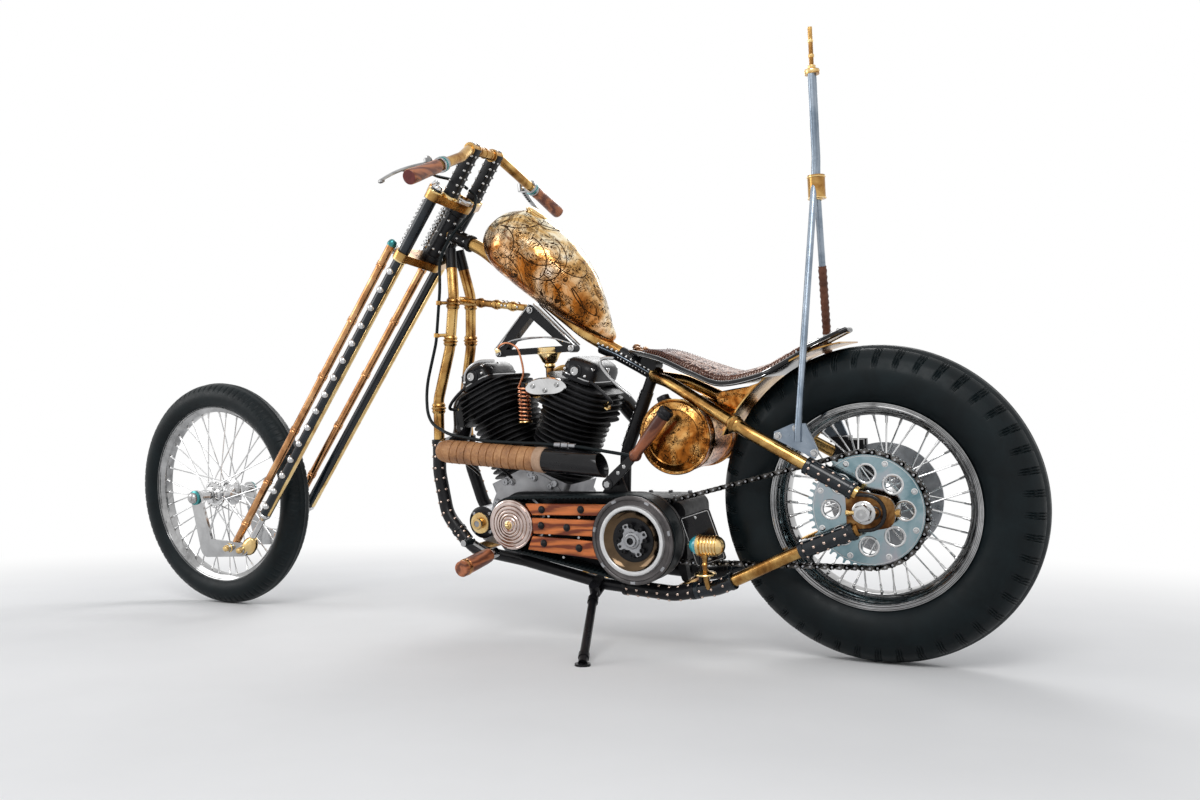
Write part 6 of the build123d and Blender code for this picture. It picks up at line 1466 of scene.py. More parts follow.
def build_belt():
    """The toothed belt: a smooth back outside and square teeth inside, in two rows, round both pulleys."""
    shape = Shape()
    track = belt_track()
    low, high = 112.2, 157.6
    section = ((low, 1.2), (low, 5.4), (low + 1, 6.4), (high - 1, 6.4), (high, 5.4), (high, 1.2),
               (high - 1, 0.4), (low + 1, 0.4))
    shape.rings([[at + out * h + ACROSS * y for y, h in section] for at, out in track], 0, loop=True)
    steps = [(at, out, after - at) for (at, out), (after, _) in zip(track, track[1:] + track[:1])]
    length = sum(step.length for _, _, step in steps)
    teeth = int(length / 11.0)
    pitch = length / teeth
    walked, wanted, made = 0.0, 0.0, 0
    for at, out, step in steps:
        along = step.normalized()
        while wanted < walked + step.length and made < teeth:
            spot = at + along * (wanted - walked)
            for y_low, y_high, shift in ((low + 0.6, low + 21.8, 0.0), (low + 23.4, high - 0.6, pitch / 2)):
                tooth = ((-3.0, -1.0), (-2.0, 1.4), (2.0, 1.4), (3.0, -1.0))
                shape.rings([[spot + along * (shift + w) - out * h + ACROSS * y for w, h in tooth]
                             for y in (y_low, y_high)], 0)
            wanted += pitch
            made += 1
        walked += step.length
    return shape.piece("primary_belt_dressed", "frame", [RUBBER], ["primary_belt"], 30.0)


def build_cover():
    """The turned cover of the crank pulley: fine concentric rings, dark brass rings in the gaps between them
    as painted shade, and a brass point.
    """
    shape = Shape()
    y = 162.0
    profile = [(59.0, -3), (61.0, -2), (61.4, 0), (61.0, 4.5), (59.5, 6.6), (57.0, 7.4)]
    for outer, inner, level in ((55.5, 47.5, 8.2), (45.5, 38.5, 9.6), (36.5, 30.5, 11.2), (28.5, 23.0, 12.8),
                                (21.2, 16.5, 14.4)):
        profile += [(outer, level - 1.4), (outer - 0.8, level), (inner + 2.6, level + 1.0),
                    (inner + 0.6, level + 0.6), (inner, level - 1.6), (inner - 1.0, level - 1.4)]
    profile += [(14.0, 14.6), (13.0, 17.0), (10.5, 17.6)]
    shape.turned((CRANK.x, y, CRANK.z), ACROSS, profile, 0, 96, caps=False)
    # Dark brass rings in the recesses between the turned rings: painted shade
    for edge, level in ((56.6, 5.4), (47.0, 7.2), (38.0, 8.7), (30.0, 10.4), (22.6, 12.0)):
        painted_shade_ring = [(edge - 1.5, level - 1.0), (edge - 1.5, level), (edge, level), (edge, level - 1.0)]
        shape.turned((CRANK.x, y, CRANK.z), ACROSS, painted_shade_ring + [painted_shade_ring[0]], 3, 96, caps=False)
    shape.turned((CRANK.x, y, CRANK.z), ACROSS,
                 [(11, 14), (11, 17), (8.5, 18.2), (7.4, 21), (5.6, 22), (4.6, 25), (2.4, 27.4), (0, 28)],
                 1, 40)
    shape.turned((CRANK.x, 108, CRANK.z), ACROSS,
                 [(62.0, 0), (64.0, 1), (64.0, 4), (59.5, 5), (59.5, 47), (60, 50), (61.0, 53.5)],
                 2, 96, caps=False)
    return shape.piece("front_pulley_dressed", "frame", [WARM_CHROME, BRASS_LIGHT, STEEL, BRASS_DARK],
                       ["front_pulley"])


def build_clutch():
    """Dull drum ring with light lugs, a bright ring, a polished dish, and the black bolted hub."""
    shape = Shape()
    at = Vector((SHAFT.x, 0, SHAFT.z))
    face = 160.0
    shape.turned(at, ACROSS, [(88, 108), (103.4, 108.5), (103.4, 111.5), (97, 112), (96.4, 158), (97, face),
                              (101, face), (101.6, face + 3), (101, face + 8), (98, face + 10),
                              (94, face + 10), (92.6, face + 8.8), (91.6, face + 6), (88, face + 5),
                              (80.4, face + 5)], 0, 120, caps=False)
    shape.turned(at, ACROSS, [(80.4, face + 4), (80.2, face + 11), (78.8, face + 13.6), (76, face + 14.4),
                              (71.5, face + 13.6), (69.6, face + 11.4)], 1, 120, caps=False)
    shape.turned(at, ACROSS,
                 [(69.6, face + 11.6), (67, face + 8.4), (60, face + 3.6), (52, face + 0.4), (46.5, face)],
                 2, 120, caps=False)
    shape.turned(at, ACROSS, [(50.6, face - 0.5), (50.4, face + 1.6), (44, face + 2.4), (40, face + 1.2),
                              (20, face + 0.8), (0, face + 0.8)], 3, 96)
    for k in range(7):
        a = math.radians(360.0 / 7 * k + 14)
        out = Vector((math.cos(a), 0, math.sin(a)))
        side = Vector((-math.sin(a), 0, math.cos(a)))
        mid = at + out * 95.5
        rings = []
        for y, grow in ((face + 4, 1.0), (face + 10.6, 1.0), (face + 11.8, 0.86)):
            rings.append([mid + side * (6.0 * grow * u) + out * (3.4 * grow * v) + ACROSS * y
                          for u, v in ((-1, -0.8), (-0.85, -1), (0.85, -1), (1, -0.8), (1, 0.8), (0.85, 1),
                                       (-0.85, 1), (-1, 0.8))])
        shape.rings(rings, 4)
    turn_by = math.radians(20)
    plate = []
    for k in range(4):
        a = turn_by + math.pi / 2 * k + math.pi / 4
        for step in (-0.16, -0.05, 0.05, 0.16):
            plate.append((SHAFT.x + 39.5 * math.cos(a + step), SHAFT.z + 39.5 * math.sin(a + step)))
        b = a + math.pi / 4
        plate.append((SHAFT.x + 23.5 * math.cos(b), SHAFT.z + 23.5 * math.sin(b)))
    shape.slab(plate, face + 1, face + 7.6, 5, 1.0)
    for k in range(4):
        a = turn_by + math.pi / 2 * k + math.pi / 4
        for step in (-0.42, 0.42):
            spot = at + Vector((33.5 * math.cos(a + step), 0, 33.5 * math.sin(a + step)))
            shape.turned(spot, ACROSS, [(6.0, face), (6.0, face + 11), (5.0, face + 12.2), (2.8, face + 12.2),
                                        (2.8, face + 9.5), (0, face + 9.5)], 3, 18)
        spot = at + Vector((34.0 * math.cos(a), 0, 34.0 * math.sin(a)))
        shape.turned(spot, ACROSS, [(3.6, face + 6), (3.6, face + 8.6), (2.8, face + 9.2)], 3, 12)
    shape.turned(at, ACROSS, [(19.5, face + 2), (19.5, face + 9), (18, face + 11), (14.5, face + 12),
                              (13.6, face + 16), (12.4, face + 17.4), (8.2, face + 17.4), (7.4, face + 14),
                              (7.4, face + 10)], 5, 48, caps=False)
    shape.hexagon(at + ACROSS * (face + 8), ACROSS, 7.0, 5.0, 3)
    return shape.piece("clutch_dressed", "frame", [DULL_STEEL, WHITE_RING, DARK_DISH, BLACK, STEEL, STEEL],
                       ["clutch"], 30.0)


def beside_pulleys(x, z):
    """The x asked for, moved where it must be to clear the clutch and the crank's pulley."""
    for centre, radius, way in ((SHAFT, 102.5, 1), (CRANK, 62.5, -1)):
        if math.hypot(x - centre.x, z - centre.z) < radius:
            x = centre.x + way * math.sqrt(max(0.0, radius ** 2 - (z - centre.z) ** 2))
    return x


def build_slats():
    """Three planks of oiled wood with rounded edges, and the black domed bolts that hold them."""
    shape = Shape()
    slats = [[(791, 355), (560, 356), (560, 331), (772, 328)],
             [(776, 321), (560, 318), (560, 281), (772, 284)],
             [(776, 277), (560, 268), (560, 226), (790, 245)]]
    low, high = FACE_Y + 0.1, FACE_Y + 9.0
    plank = ((0.0, low), (0.0, high - 1.6), (0.045, high - 0.3), (0.12, high), (0.3, high), (0.5, high),
             (0.7, high), (0.88, high), (0.955, high - 0.3), (1.0, high - 1.6), (1.0, low))
    for (x_a, z_a), (x_b, z_b), (x_c, z_c), (x_d, z_d) in slats:
        rings = []
        for i in range(27):
            t = i / 26
            top_x, top_z = x_a + (x_b - x_a) * t, z_a + (z_b - z_a) * t
            foot_x, foot_z = x_d + (x_c - x_d) * t, z_d + (z_c - z_d) * t
            ring = []
            for share, y in plank:
                x, z = top_x + (foot_x - top_x) * share, top_z + (foot_z - top_z) * share
                ring.append(Vector((beside_pulleys(x, z), y, z)))
            rings.append(ring)
        shape.rings(rings, 0)
    bolt = [(8.8, -1), (9.2, 0.6), (8.6, 2.0), (7.0, 2.6), (7.2, 4.0), (5.6, 6.2), (2.6, 7.4), (0, 7.7)]
    for x, z in ((746, 342), (640, 344), (750, 304), (680, 301), (745, 262), (650, 254)):
        shape.turned((x, high, z), ACROSS, bolt, 1, 28)
    for x, z in ((735, 325), (652, 324), (735, 281), (656, 276), (700, 228)):
        shape.turned((x, 108, z), ACROSS, [(4.5, 0), (4.5, 46), (3.0, 48)], 2, 14)
    return shape.piece("primary_slats_dressed", "frame", [WOOD_X, BLACK, CHROME], ["primary_slats"],
                       38.0)


build_belt()
build_cover()
build_clutch()
build_slats()


# Tanks, seat and sissy bar

NOSE = Vector((985.0, 0.0, 997.0))
ALONG = (Vector((690.0, 0.0, 757.0)) - NOSE).normalized()
ABOVE = Vector((ALONG.z, 0.0, -ALONG.x))
TANK = [(0, 44, 66, 8), (2, 34, 78, 26), (14, 14, 108, 50), (34, 0, 136, 72), (95, -14, 168, 100),
        (185, -13, 166, 103), (280, -8, 143, 84), (368, 2, 98, 52), (424, 14, 58, 27), (450, 24, 42, 11),
        (452, 30, 36, 3)]


def eased(table, at, column):
    """A value between the rows of a table, on a smooth curve that doesn't overshoot."""
    rows = [(r[0], r[column]) for r in table]
    if at <= rows[0][0]:
        return rows[0][1]
    slopes = []
    for (x0, y0), (x1, y1) in zip(rows, rows[1:]):
        slopes.append((y1 - y0) / (x1 - x0))
    tangents = [slopes[0]]
    for a, b in zip(slopes, slopes[1:]):
        tangents.append(0.0 if a * b <= 0 else 2 * a * b / (a + b))
    tangents.append(slopes[-1])
    for i, ((x0, y0), (x1, y1)) in enumerate(zip(rows, rows[1:])):
        if at <= x1:
            w = x1 - x0
            t = (at - x0) / w
            return ((2 * t ** 3 - 3 * t ** 2 + 1) * y0 + (t ** 3 - 2 * t ** 2 + t) * w * tangents[i]
                    + (-2 * t ** 3 + 3 * t ** 2) * y1 + (t ** 3 - t ** 2) * w * tangents[i + 1])
    return rows[-1][1]


def tank_point(u, angle, proud=0.0):
    """A point of the tank's skin: u along it, angle round it from its left side upwards."""
    low, high, half = (eased(TANK, u, c) for c in (1, 2, 3))
    c, s = math.cos(angle), math.sin(angle)
    mid, tall = (low + high) / 2, (high - low) / 2
    return NOSE + ALONG * u + ABOVE * (mid + (tall + proud) * s) + ACROSS * ((half + proud) * c)


def scroll(start_u, start_a, heading, size, turns, flip):
    """A generic spiral tendril over the tank's side, as (u, angle) pairs in its own small plane."""
    u, a = start_u, start_a
    line = []
    for i in range(46):
        t = i / 45
        bend = heading + flip * turns * 2 * math.pi * t ** 1.4
        step = size * (1.0 - 0.88 * t)
        u += math.cos(bend) * step
        a += math.sin(bend) * step / 92.0
        line.append((u, a))
    return line


def build_tank():
    """A teardrop brass tank, a filler with a flat cap, and raised generic scrollwork."""
    shape = Shape()
    rings = []
    count = 96
    for i in range(count + 1):
        t = i / count
        u = 452.0 * (0.5 - 0.5 * math.cos(math.pi * t)) ** 0.92
        rings.append([tank_point(u, a) for a in angles_round(72)])
    shape.rings(rings, 0)
    filler = tank_point(92, math.pi / 2, -4)
    shape.turned(filler, ABOVE, [(33, -2), (34, 1.4), (31.5, 2.8), (27.5, 3.2)], 1, 56, caps=False)
    shape.turned(filler, ABOVE, [(27.4, 2.8), (29.2, 3.6), (29.4, 5.2), (27.5, 6.4), (21, 7.0), (19.8, 7.6),
                                 (12, 8.2), (5, 8.5), (0, 8.6)], 1, 56, caps=False)
    for a in angles_round(24):
        side = ACROSS * math.cos(a) + ALONG * math.sin(a)
        shape.dome(filler + ABOVE * 4.4 + side * 28.8, side, 1.1, 1.0, 1, 8)
    vines = [(60, 0.35, 0.2, 9.0, 1.15, 1), (60, 0.35, 0.2, 7.0, 1.1, -1), (150, 0.62, 0.1, 8.5, 1.1, -1),
             (150, 0.1, -0.2, 8.5, 1.15, 1), (235, 0.5, 0.0, 7.5, 1.1, 1), (235, 0.05, 0.1, 7.5, 1.2, -1),
             (310, 0.4, 0.0, 6.0, 1.1, -1), (310, 0.4, -0.6, 6.0, 1.0, 1), (110, 1.0, 0.3, 7.5, 1.0, 1),
             (190, 1.05, 0.1, 7.5, 1.1, -1), (120, -0.25, 0.1, 7.0, 1.0, -1), (200, -0.25, 0.1, 7.0, 1.0, 1)]
    for flip_side in SIDES:
        for u0, a0, heading, size, turns, flip in vines:
            line = []
            for u, a in scroll(u0, a0, heading, size, turns, flip):
                if not 12 < u < 430:
                    break
                p = tank_point(u, a, -0.6)
                line.append(Vector((p.x, p.y * flip_side, p.z)))
            if len(line) < 8:
                continue
            radii = [1.7 * (1 - 0.6 * i / len(line)) for i in range(len(line))]
            shape.tube(line, radii, 2, 8)
            for i in range(6, len(line) - 6, 7):
                radius = radii[i] * 1.4
                middle = NOSE + ALONG * (line[i] - NOSE).dot(ALONG) + ABOVE * 70
                shape.dome(line[i], (line[i] - middle).normalized(), radius, radius * 0.8, 2, 8)
    return shape.piece("fuel_tank_dressed", "frame", [TANK_BRASS, BRASS_LIGHT, ENGRAVING],
                       ["fuel_tank"], 40.0)


SEAT = [(48, 730), (133, 692), (215, 646), (290, 634), (375, 660), (464, 697), (548, 718)]
SEAT_WIDTH = [(44, 26), (110, 40), (150, 70), (205, 118), (290, 128), (400, 96), (520, 62), (548, 46),
              (556, 40)]


def seat_line(x):
    """The saddle's height at a place along the machine."""
    return eased(SEAT, x, 1)


def seat_point(x, share, lift):
    """A point of the saddle: share from -1 to 1 across its width."""
    half = eased(SEAT_WIDTH, x, 1) - 2.0
    return Vector((x, half * share, seat_line(x) + lift))


def build_seat_pan():
    """The glossy black rolled rim and the pan below the leather, with studs along the tongue."""
    shape = Shape()
    rim = []
    xs = [44 + 2 + (556 - 46 - 4) * i / 70 for i in range(71)]
    for x in xs:
        rim.append(seat_point(x, 0.985, -15.0 if x > 130 else -9.0))
    back = [Vector((p.x, -p.y, p.z)) for p in reversed(rim)]
    shape.tube(rim + back, 6.0, 0, 14, closed=True)
    for side in SIDES:
        for out, up in ((0.8, 6.3), (5.6, -2.6)):
            shape.tube([Vector((p.x, (p.y + out) * side, p.z + up)) for p in rim[4:-4]], 0.8, 1, 6)
    rings = []
    for x in xs:
        low = -20.0 if x > 130 else -13.5
        ring = []
        for k in range(25):
            share = -0.97 + 1.94 * k / 24
            sag = 3.0 * (1 - share * share)
            ring.append(seat_point(x, share, low + 6.5 - sag * 0.2))
        for k in range(24, -1, -1):
            share = -0.97 + 1.94 * k / 24
            ring.append(seat_point(x, share, low))
        rings.append(ring)
    shape.rings(rings, 0)
    for x in (60, 74, 88, 102, 116, 130, 146):
        for side in SIDES:
            at = seat_point(x, 0.86 * side, -4.5)
            shape.dome(at, (0.2, 0, 1), 4.2, 5.6, 1, 14)
    for x, y, z, r, h in ((552, 0, 713, 12, 16), (540, 22, 709, 9, 13), (540, -22, 709, 9, 13),
                          (524, 34, 704, 7, 10), (524, -34, 704, 7, 10), (530, 0, 706, 10, 14)):
        shape.turned((x, y, z - 6), (0.25, 0, 1), [(r, 0), (r, h * 0.3), (r * 0.7, h * 0.42),
                                                   (r * 0.9, h * 0.6), (r * 0.6, h * 0.85), (r * 0.2, h),
                                                   (0, h)], 2, 22)
    return shape.piece("seat_pan", "frame", [GLOSS_BLACK, CHROME, BRONZE], (), 45.0)


PAD_FROM = 100.0
PAD_TO = 522.0
PAD_SHARE = 0.93
PAD_LOW = -17.0
PAD_VOXEL = 0.0045
PAD_REACH = 0.007
PAD_STEPS = 20


def pad_crown(x, share, height):
    """How far the pad stands above its base, rounded along its edge and its two ends."""
    edge = min(1.0, (PAD_SHARE - abs(share)) / 0.22)
    end = min(1.0, min(x - PAD_FROM, PAD_TO - x) / 44.0)
    round_edge = math.sqrt(max(0.0, 1 - (1 - edge) ** 2))
    round_end = math.sqrt(max(0.0, 1 - (1 - max(end, 0.0)) ** 2))
    return height * round_edge * round_end


def swell(obj, held):
    """Inflate a closed mesh by cloth with pressure, its held points fixed, and cap each point's move."""
    remesh = obj.modifiers.new("even", "REMESH")
    remesh.mode = "VOXEL"
    remesh.voxel_size = PAD_VOXEL
    layer = bpy.context.evaluated_depsgraph_get()
    mesh = bpy.data.meshes.new_from_object(obj.evaluated_get(layer), depsgraph=layer)
    obj.modifiers.clear()
    obj.data = mesh
    before = [v.co.copy() for v in mesh.vertices]
    group = obj.vertex_groups.new(name="held")
    group.add([i for i, p in enumerate(before) if held(p)], 1.0, "ADD")
    cloth = obj.modifiers.new("cloth", "CLOTH")
    cloth.settings.use_pressure = True
    cloth.settings.uniform_pressure_force = 4.0
    cloth.settings.vertex_group_mass = group.name
    cloth.settings.effector_weights.gravity = 0.0
    scene = bpy.context.scene
    for frame_number in range(1, PAD_STEPS + 1):
        scene.frame_set(frame_number)
    layer = bpy.context.evaluated_depsgraph_get()
    swollen = bpy.data.meshes.new_from_object(obj.evaluated_get(layer), depsgraph=layer)
    obj.modifiers.clear()
    obj.vertex_groups.clear()
    scene.frame_set(1)
    for point, was in zip(mesh.vertices, before):
        move = swollen.vertices[point.index].co - was
        if move.length > PAD_REACH:
            move *= PAD_REACH / move.length
        point.co = was + move


def build_seat_leather():
    """The tooled leather pad inside the rim, swollen by cloth, with its sewn lines pressed in."""
    shape = Shape()
    count, across = 110, 56
    rings = []
    for i in range(count + 1):
        x = PAD_FROM + (PAD_TO - PAD_FROM) * i / count
        ring = []
        for k in range(across + 1):
            share = -PAD_SHARE + 2 * PAD_SHARE * k / across
            ring.append(seat_point(x, share, PAD_LOW + 2.0 + pad_crown(x, share, 18.0)))
        for k in range(across, -1, -1):
            share = -PAD_SHARE + 2 * PAD_SHARE * k / across
            ring.append(seat_point(x, share, PAD_LOW))
        rings.append(ring)
    shape.rings(rings, 0)
    obj = shape.piece("seat_leather", "frame", [TOOLED], ["seat"], 180.0)

    def low(p):
        at = upright(p)
        return at.z - seat_line(at.x) < PAD_LOW + 6.0

    swell(obj, low)
    for point in obj.data.vertices:
        at = upright(point.co)
        half = eased(SEAT_WIDTH, at.x, 1) - 2.0
        share = abs(at.y) / half
        lift = at.z - seat_line(at.x)
        if lift < PAD_LOW + 8.0:
            continue
        press = 0.0
        for line, deep, wide in ((0.78, 2.6, 0.030), (0.48, 1.8, 0.024)):
            press = max(press, deep * math.exp(-((share - line) / wide) ** 2))
        for cross in (452.0, 168.0):
            press = max(press, 2.2 * math.exp(-((at.x - cross) / 3.0) ** 2))
        at.z -= press
        point.co = place(at)
    smooth = obj.modifiers.new("smooth", "SUBSURF")
    smooth.levels = 1
    smooth.render_levels = 1
    for face in obj.data.polygons:
        face.use_smooth = True
    return obj


def build_seat_lacing():
    """Slanting leather stitches along both edges of the pad."""
    shape = Shape()
    for side in SIDES:
        for i in range(66):
            x = 116 + (500 - 116) * i / 65
            at = seat_point(x, 0.90 * side, PAD_LOW + 4.0 + pad_crown(x, 0.90, 20.0))
            a = at + Vector((-2.4, -4.5 * side, 4.6))
            b = at + Vector((2.4, 4.0 * side, -2.5))
            shape.tube([a + Vector((0, 0, -3)), a, a.lerp(b, 0.5) + Vector((0, 1.4 * side, 1.6)), b,
                        b + Vector((0, -1.5 * side, -3))], 1.4, 0, 6)
    return shape.piece("seat_lacing", "frame", [LEATHER], (), 60.0)


OIL = Vector((426.13, 0.0, 503.026))


def build_oil_tank():
    """A brass drum with rolled rims, domed ends with a raised border, a cap and rivets."""
    shape = Shape()
    half = [(0.0, 112.0), (30, 110.2), (50, 106.0), (62, 101.4), (64, 102.4), (66, 100.6), (76, 96.4),
            (79, 95.0), (81, 96.2), (85, 96.6), (87, 94.4), (87, 90), (85, 87.4), (83.4, 86), (83.0, 60),
            (83.6, 58), (84.6, 56), (83.6, 54), (83.0, 52), (83.0, 0)]
    shape.turned(OIL, ACROSS, half + [(r, -y) for r, y in reversed(half[:-1])], 0, 96)
    cap = OIL + Vector((34, 60, 78))
    shape.turned(cap, (0.35, 0, 0.94),
                 [(17, -6), (17.4, 4), (15, 6), (15, 14), (13.8, 16), (8, 17.5), (0, 18)], 1, 32)
    for a in (1.2, 2.1, -0.9, -2.2, 3.0, 0.1):
        shape.dome(polar(OIL, 73, a, 97.6), ACROSS, 3.2, 2.4, 0, 10)
    return shape.piece("oil_tank_dressed", "frame", [BRASS_ENGRAVED, BLACK], ["oil_tank"], 40.0)


def build_sissy():
    """Brass wire wraps and knobs on the thin rod, a leather wrap on the far leg, and the legs' bolts."""
    shape = Shape()
    line = finer(route([(126, -143, 492), (124, -143, 520), (100, -10.5, 1040), (96, -7.7, 1100),
                        (96, -7.7, 1285)], 120.0), 5.0)
    wrap = [p for p in line if 660 < p.z < 870]
    shape.tube(wrap, [9.4 + 0.9 * math.sin(i * 2.2) for i in range(len(wrap))], 2, 18)
    coil = []
    steps = 17 * 18
    for i in range(steps):
        a = 2 * math.pi * i / 18
        coil.append(Vector((98 + 10.2 * math.cos(a), 17.4 * math.sin(a), 1008 + 54.0 * i / steps)))
    shape.tube(coil, 1.7, 0, 8)
    for z in (1012, 1058):
        shape.turned((98, 0, z), UP, [(19.2, -2), (20.4, -1), (20.4, 1), (19.2, 2)], 0, 36)
    for z, r in ((1286, 16.4), (1296, 8.6), (1320, 6.4), (1352, 5.8)):
        shape.turned((96, 0, z), UP, [(r * 0.6, -5), (r, -3), (r * 1.04, 0), (r, 3), (r * 0.6, 5)], 0, 28)
    for side in SIDES:
        for x, z in ((168, 505), (92, 468), (128, 520)):
            shape.turned((x, 141 * side, z), ACROSS * side, [(8.4, -1), (8.4, 1.4), (7, 2)], 3, 20)
            shape.hexagon((x, 141 * side, z), ACROSS * side, 5.8, 6.5, 3)
    return shape.piece("sissy_trim", "frame", [BRASS_LIGHT, BLUE_STEEL, LEATHER, CHROME])


def build_seat_post():
    """A black seat post with a studded band up each side, and the studded band over the backbone."""
    shape = Shape()
    points = [(512, 0, 650), (598, 0, 458), (622, 0, 160)]
    line = route(points, 90.0)
    inside = [p for p in finer(line, 6.0) if 470 < p.z < 612]
    shape.tube(inside, 16.2, 0, 22)
    shape.rivets(inside, 16.0, 17.0, (0.9, 2.2), 2.8, 1)
    band = [Vector(p) for p in ((648, 0, 722), (600, 0, 700), (548, 0, 671), (516, 0, 652))]
    for side in SIDES:
        edge = [p + Vector((0, 18.4 * side, 0)) for p in finer(band, 8.0)]
        shape.tube(edge, 1.6, 2, 10)
        for p in finer(band, 17.0):
            shape.dome(p + Vector((0, 17.5 * side, 7)), (0, side, 0.25), 4.2, 4.0, 1, 14)
    shape.tube(finer(band, 10.0), 18.0, 0, 28)
    return shape.piece("seat_post_trim", "frame", [BLACK, CHROME, BLUE_STEEL])


def build_tray():
    """The small engraved brass tray that fills the room between the saddle and the fender's front."""
    shape = Shape()
    outline = [(338, 596), (318, 602), (290, 606), (256, 610), (228, 618), (240, 609), (262, 587), (280, 566),
               (292, 549), (304, 550), (318, 560), (330, 574)]
    shape.slab(outline, -62.0, 62.0, 0, 3.0)
    return shape.piece("seat_tray", "frame", [BRASS_ENGRAVED], (), 40.0)


build_tank()
build_seat_pan()
build_seat_leather()
build_seat_lacing()
build_oil_tank()
build_sissy()
build_seat_post()
build_tray()


# Exhausts, controls, plate and lamp

PIPE_RADIUS = 24.0
FLANGE = [(24, 0), (31, 1), (32, 4), (32, 9), (30, 12), (24, 13)]
WINDINGS = 13
PIPE_TURN = Vector((1048.0, 150.0, 484.0))
PIPE_END = Vector((570.0, 150.0, 444.0))
WRAP_END_SHARE = 0.64


def build_exhausts():
    """The left pipe in its leather windings with a black slash-cut end, and the bare right pipe."""
    shape = Shape()
    header = route([(1016, 22, 612), (1060, 28, 600), (1060, 30, 500), PIPE_TURN,
                    PIPE_TURN.lerp(PIPE_END, 0.2)], 50.0)
    shape.tube(header, PIPE_RADIUS, 2, 28)
    leaving = header[1] - header[0]
    shape.turned(header[0] - leaving.normalized() * 4, leaving, FLANGE, 2, 32)
    run = PIPE_END - PIPE_TURN
    along, length = run.normalized(), run.length
    side = Vector((-along.z, 0, along.x))
    low, high = length * 0.05, length * WRAP_END_SHARE
    step = (high - low) / WINDINGS
    rings = []
    for i in range(WINDINGS):
        for share, r in ((0.0, 27.2), (0.05, 28.3), (0.14, 28.9), (0.5, 29.0), (0.86, 28.9), (0.94, 29.6),
                         (0.985, 29.2), (1.0, 27.2)):
            ring = []
            for a in angles_round(40):
                at = low + step * (i + share) + 5.0 * math.sin(a - 0.6)
                swollen = r + 0.25 * math.sin(3 * a + i * 1.7)
                ring.append(PIPE_TURN + along * at + (side * math.cos(a) + ACROSS * math.sin(a)) * swollen)
            rings.append(ring)
    shape.rings(rings, 0)
    start = PIPE_TURN + along * (low + 2)
    for back, r in ((0.0, 28.0), (5.0, 27.6), (10.0, 26.6)):
        shape.turned(start - along * back, -along, [(r - 1.5, -5.5), (r, -4), (r + 0.5, 0), (r - 1.5, 3)],
                     0, 40)
    shape.turned(start - along * 12, -along,
                 [(26.0, -3), (25.4, 3), (22.6, 9), (17.5, 14), (10, 17.2), (0, 18.2)], 0, 40)
    shape.turned(PIPE_TURN + along * (high - 16), along,
                 [(29, -3), (30.4, -1), (30.8, 3), (30.8, 17), (30.4, 20), (28, 22)], 1, 44)
    normal = Vector((-1, 0, 0.28)).normalized()
    cut_at = Vector((586, 150, 446))

    def straight(r, at):
        return circle(PIPE_TURN + along * at, side, ACROSS, r, 48)

    def slanted(r, set_in):
        reach = along.dot(normal)
        return [p + along * ((cut_at - p).dot(normal) / reach - set_in) for p in straight(r, 0.0)]

    rings = [straight(28.4, high + further) for further in (2, 6, 60)]
    rings += [slanted(28.4, 1.4), slanted(27.8, 0.4), slanted(26.4, 0.5), slanted(25.6, 2.0)]
    rings += [straight(25.0, length - 120), straight(0.0, length - 120)]
    shape.rings(rings, 2, caps=False)
    right = route([(672, -60, 604), (664, -110, 596), (640, -152, 540), (560, -155, 470), (300, -158, 440)],
                  60.0)
    shape.tube(right, PIPE_RADIUS, 2, 28)
    leaving = (right[-1] - right[-2]).normalized()
    # A near-black disc just proud of the closed pipe end: soot and painted shade of the open mouth
    shape.tube([right[-1] - leaving * 90, right[-1] + leaving * 0.2], 22.0, 3, 28)
    shape.turned(right[0], right[1] - right[0], FLANGE, 2, 32)
    for share in (0.17, 0.37):
        at = PIPE_TURN.lerp(PIPE_END, share)
        shape.tube([at + Vector((0, 0, -27)), at + Vector((0, -30, -44)), at + Vector((0, -52, -60))],
                   4.0, 2, 10)
    return shape.piece("exhausts_dressed", "frame", [WRAP_TAN, COLLAR, GLOSS_BLACK, SOOT_AND_SHADE],
                       ["exhausts"])


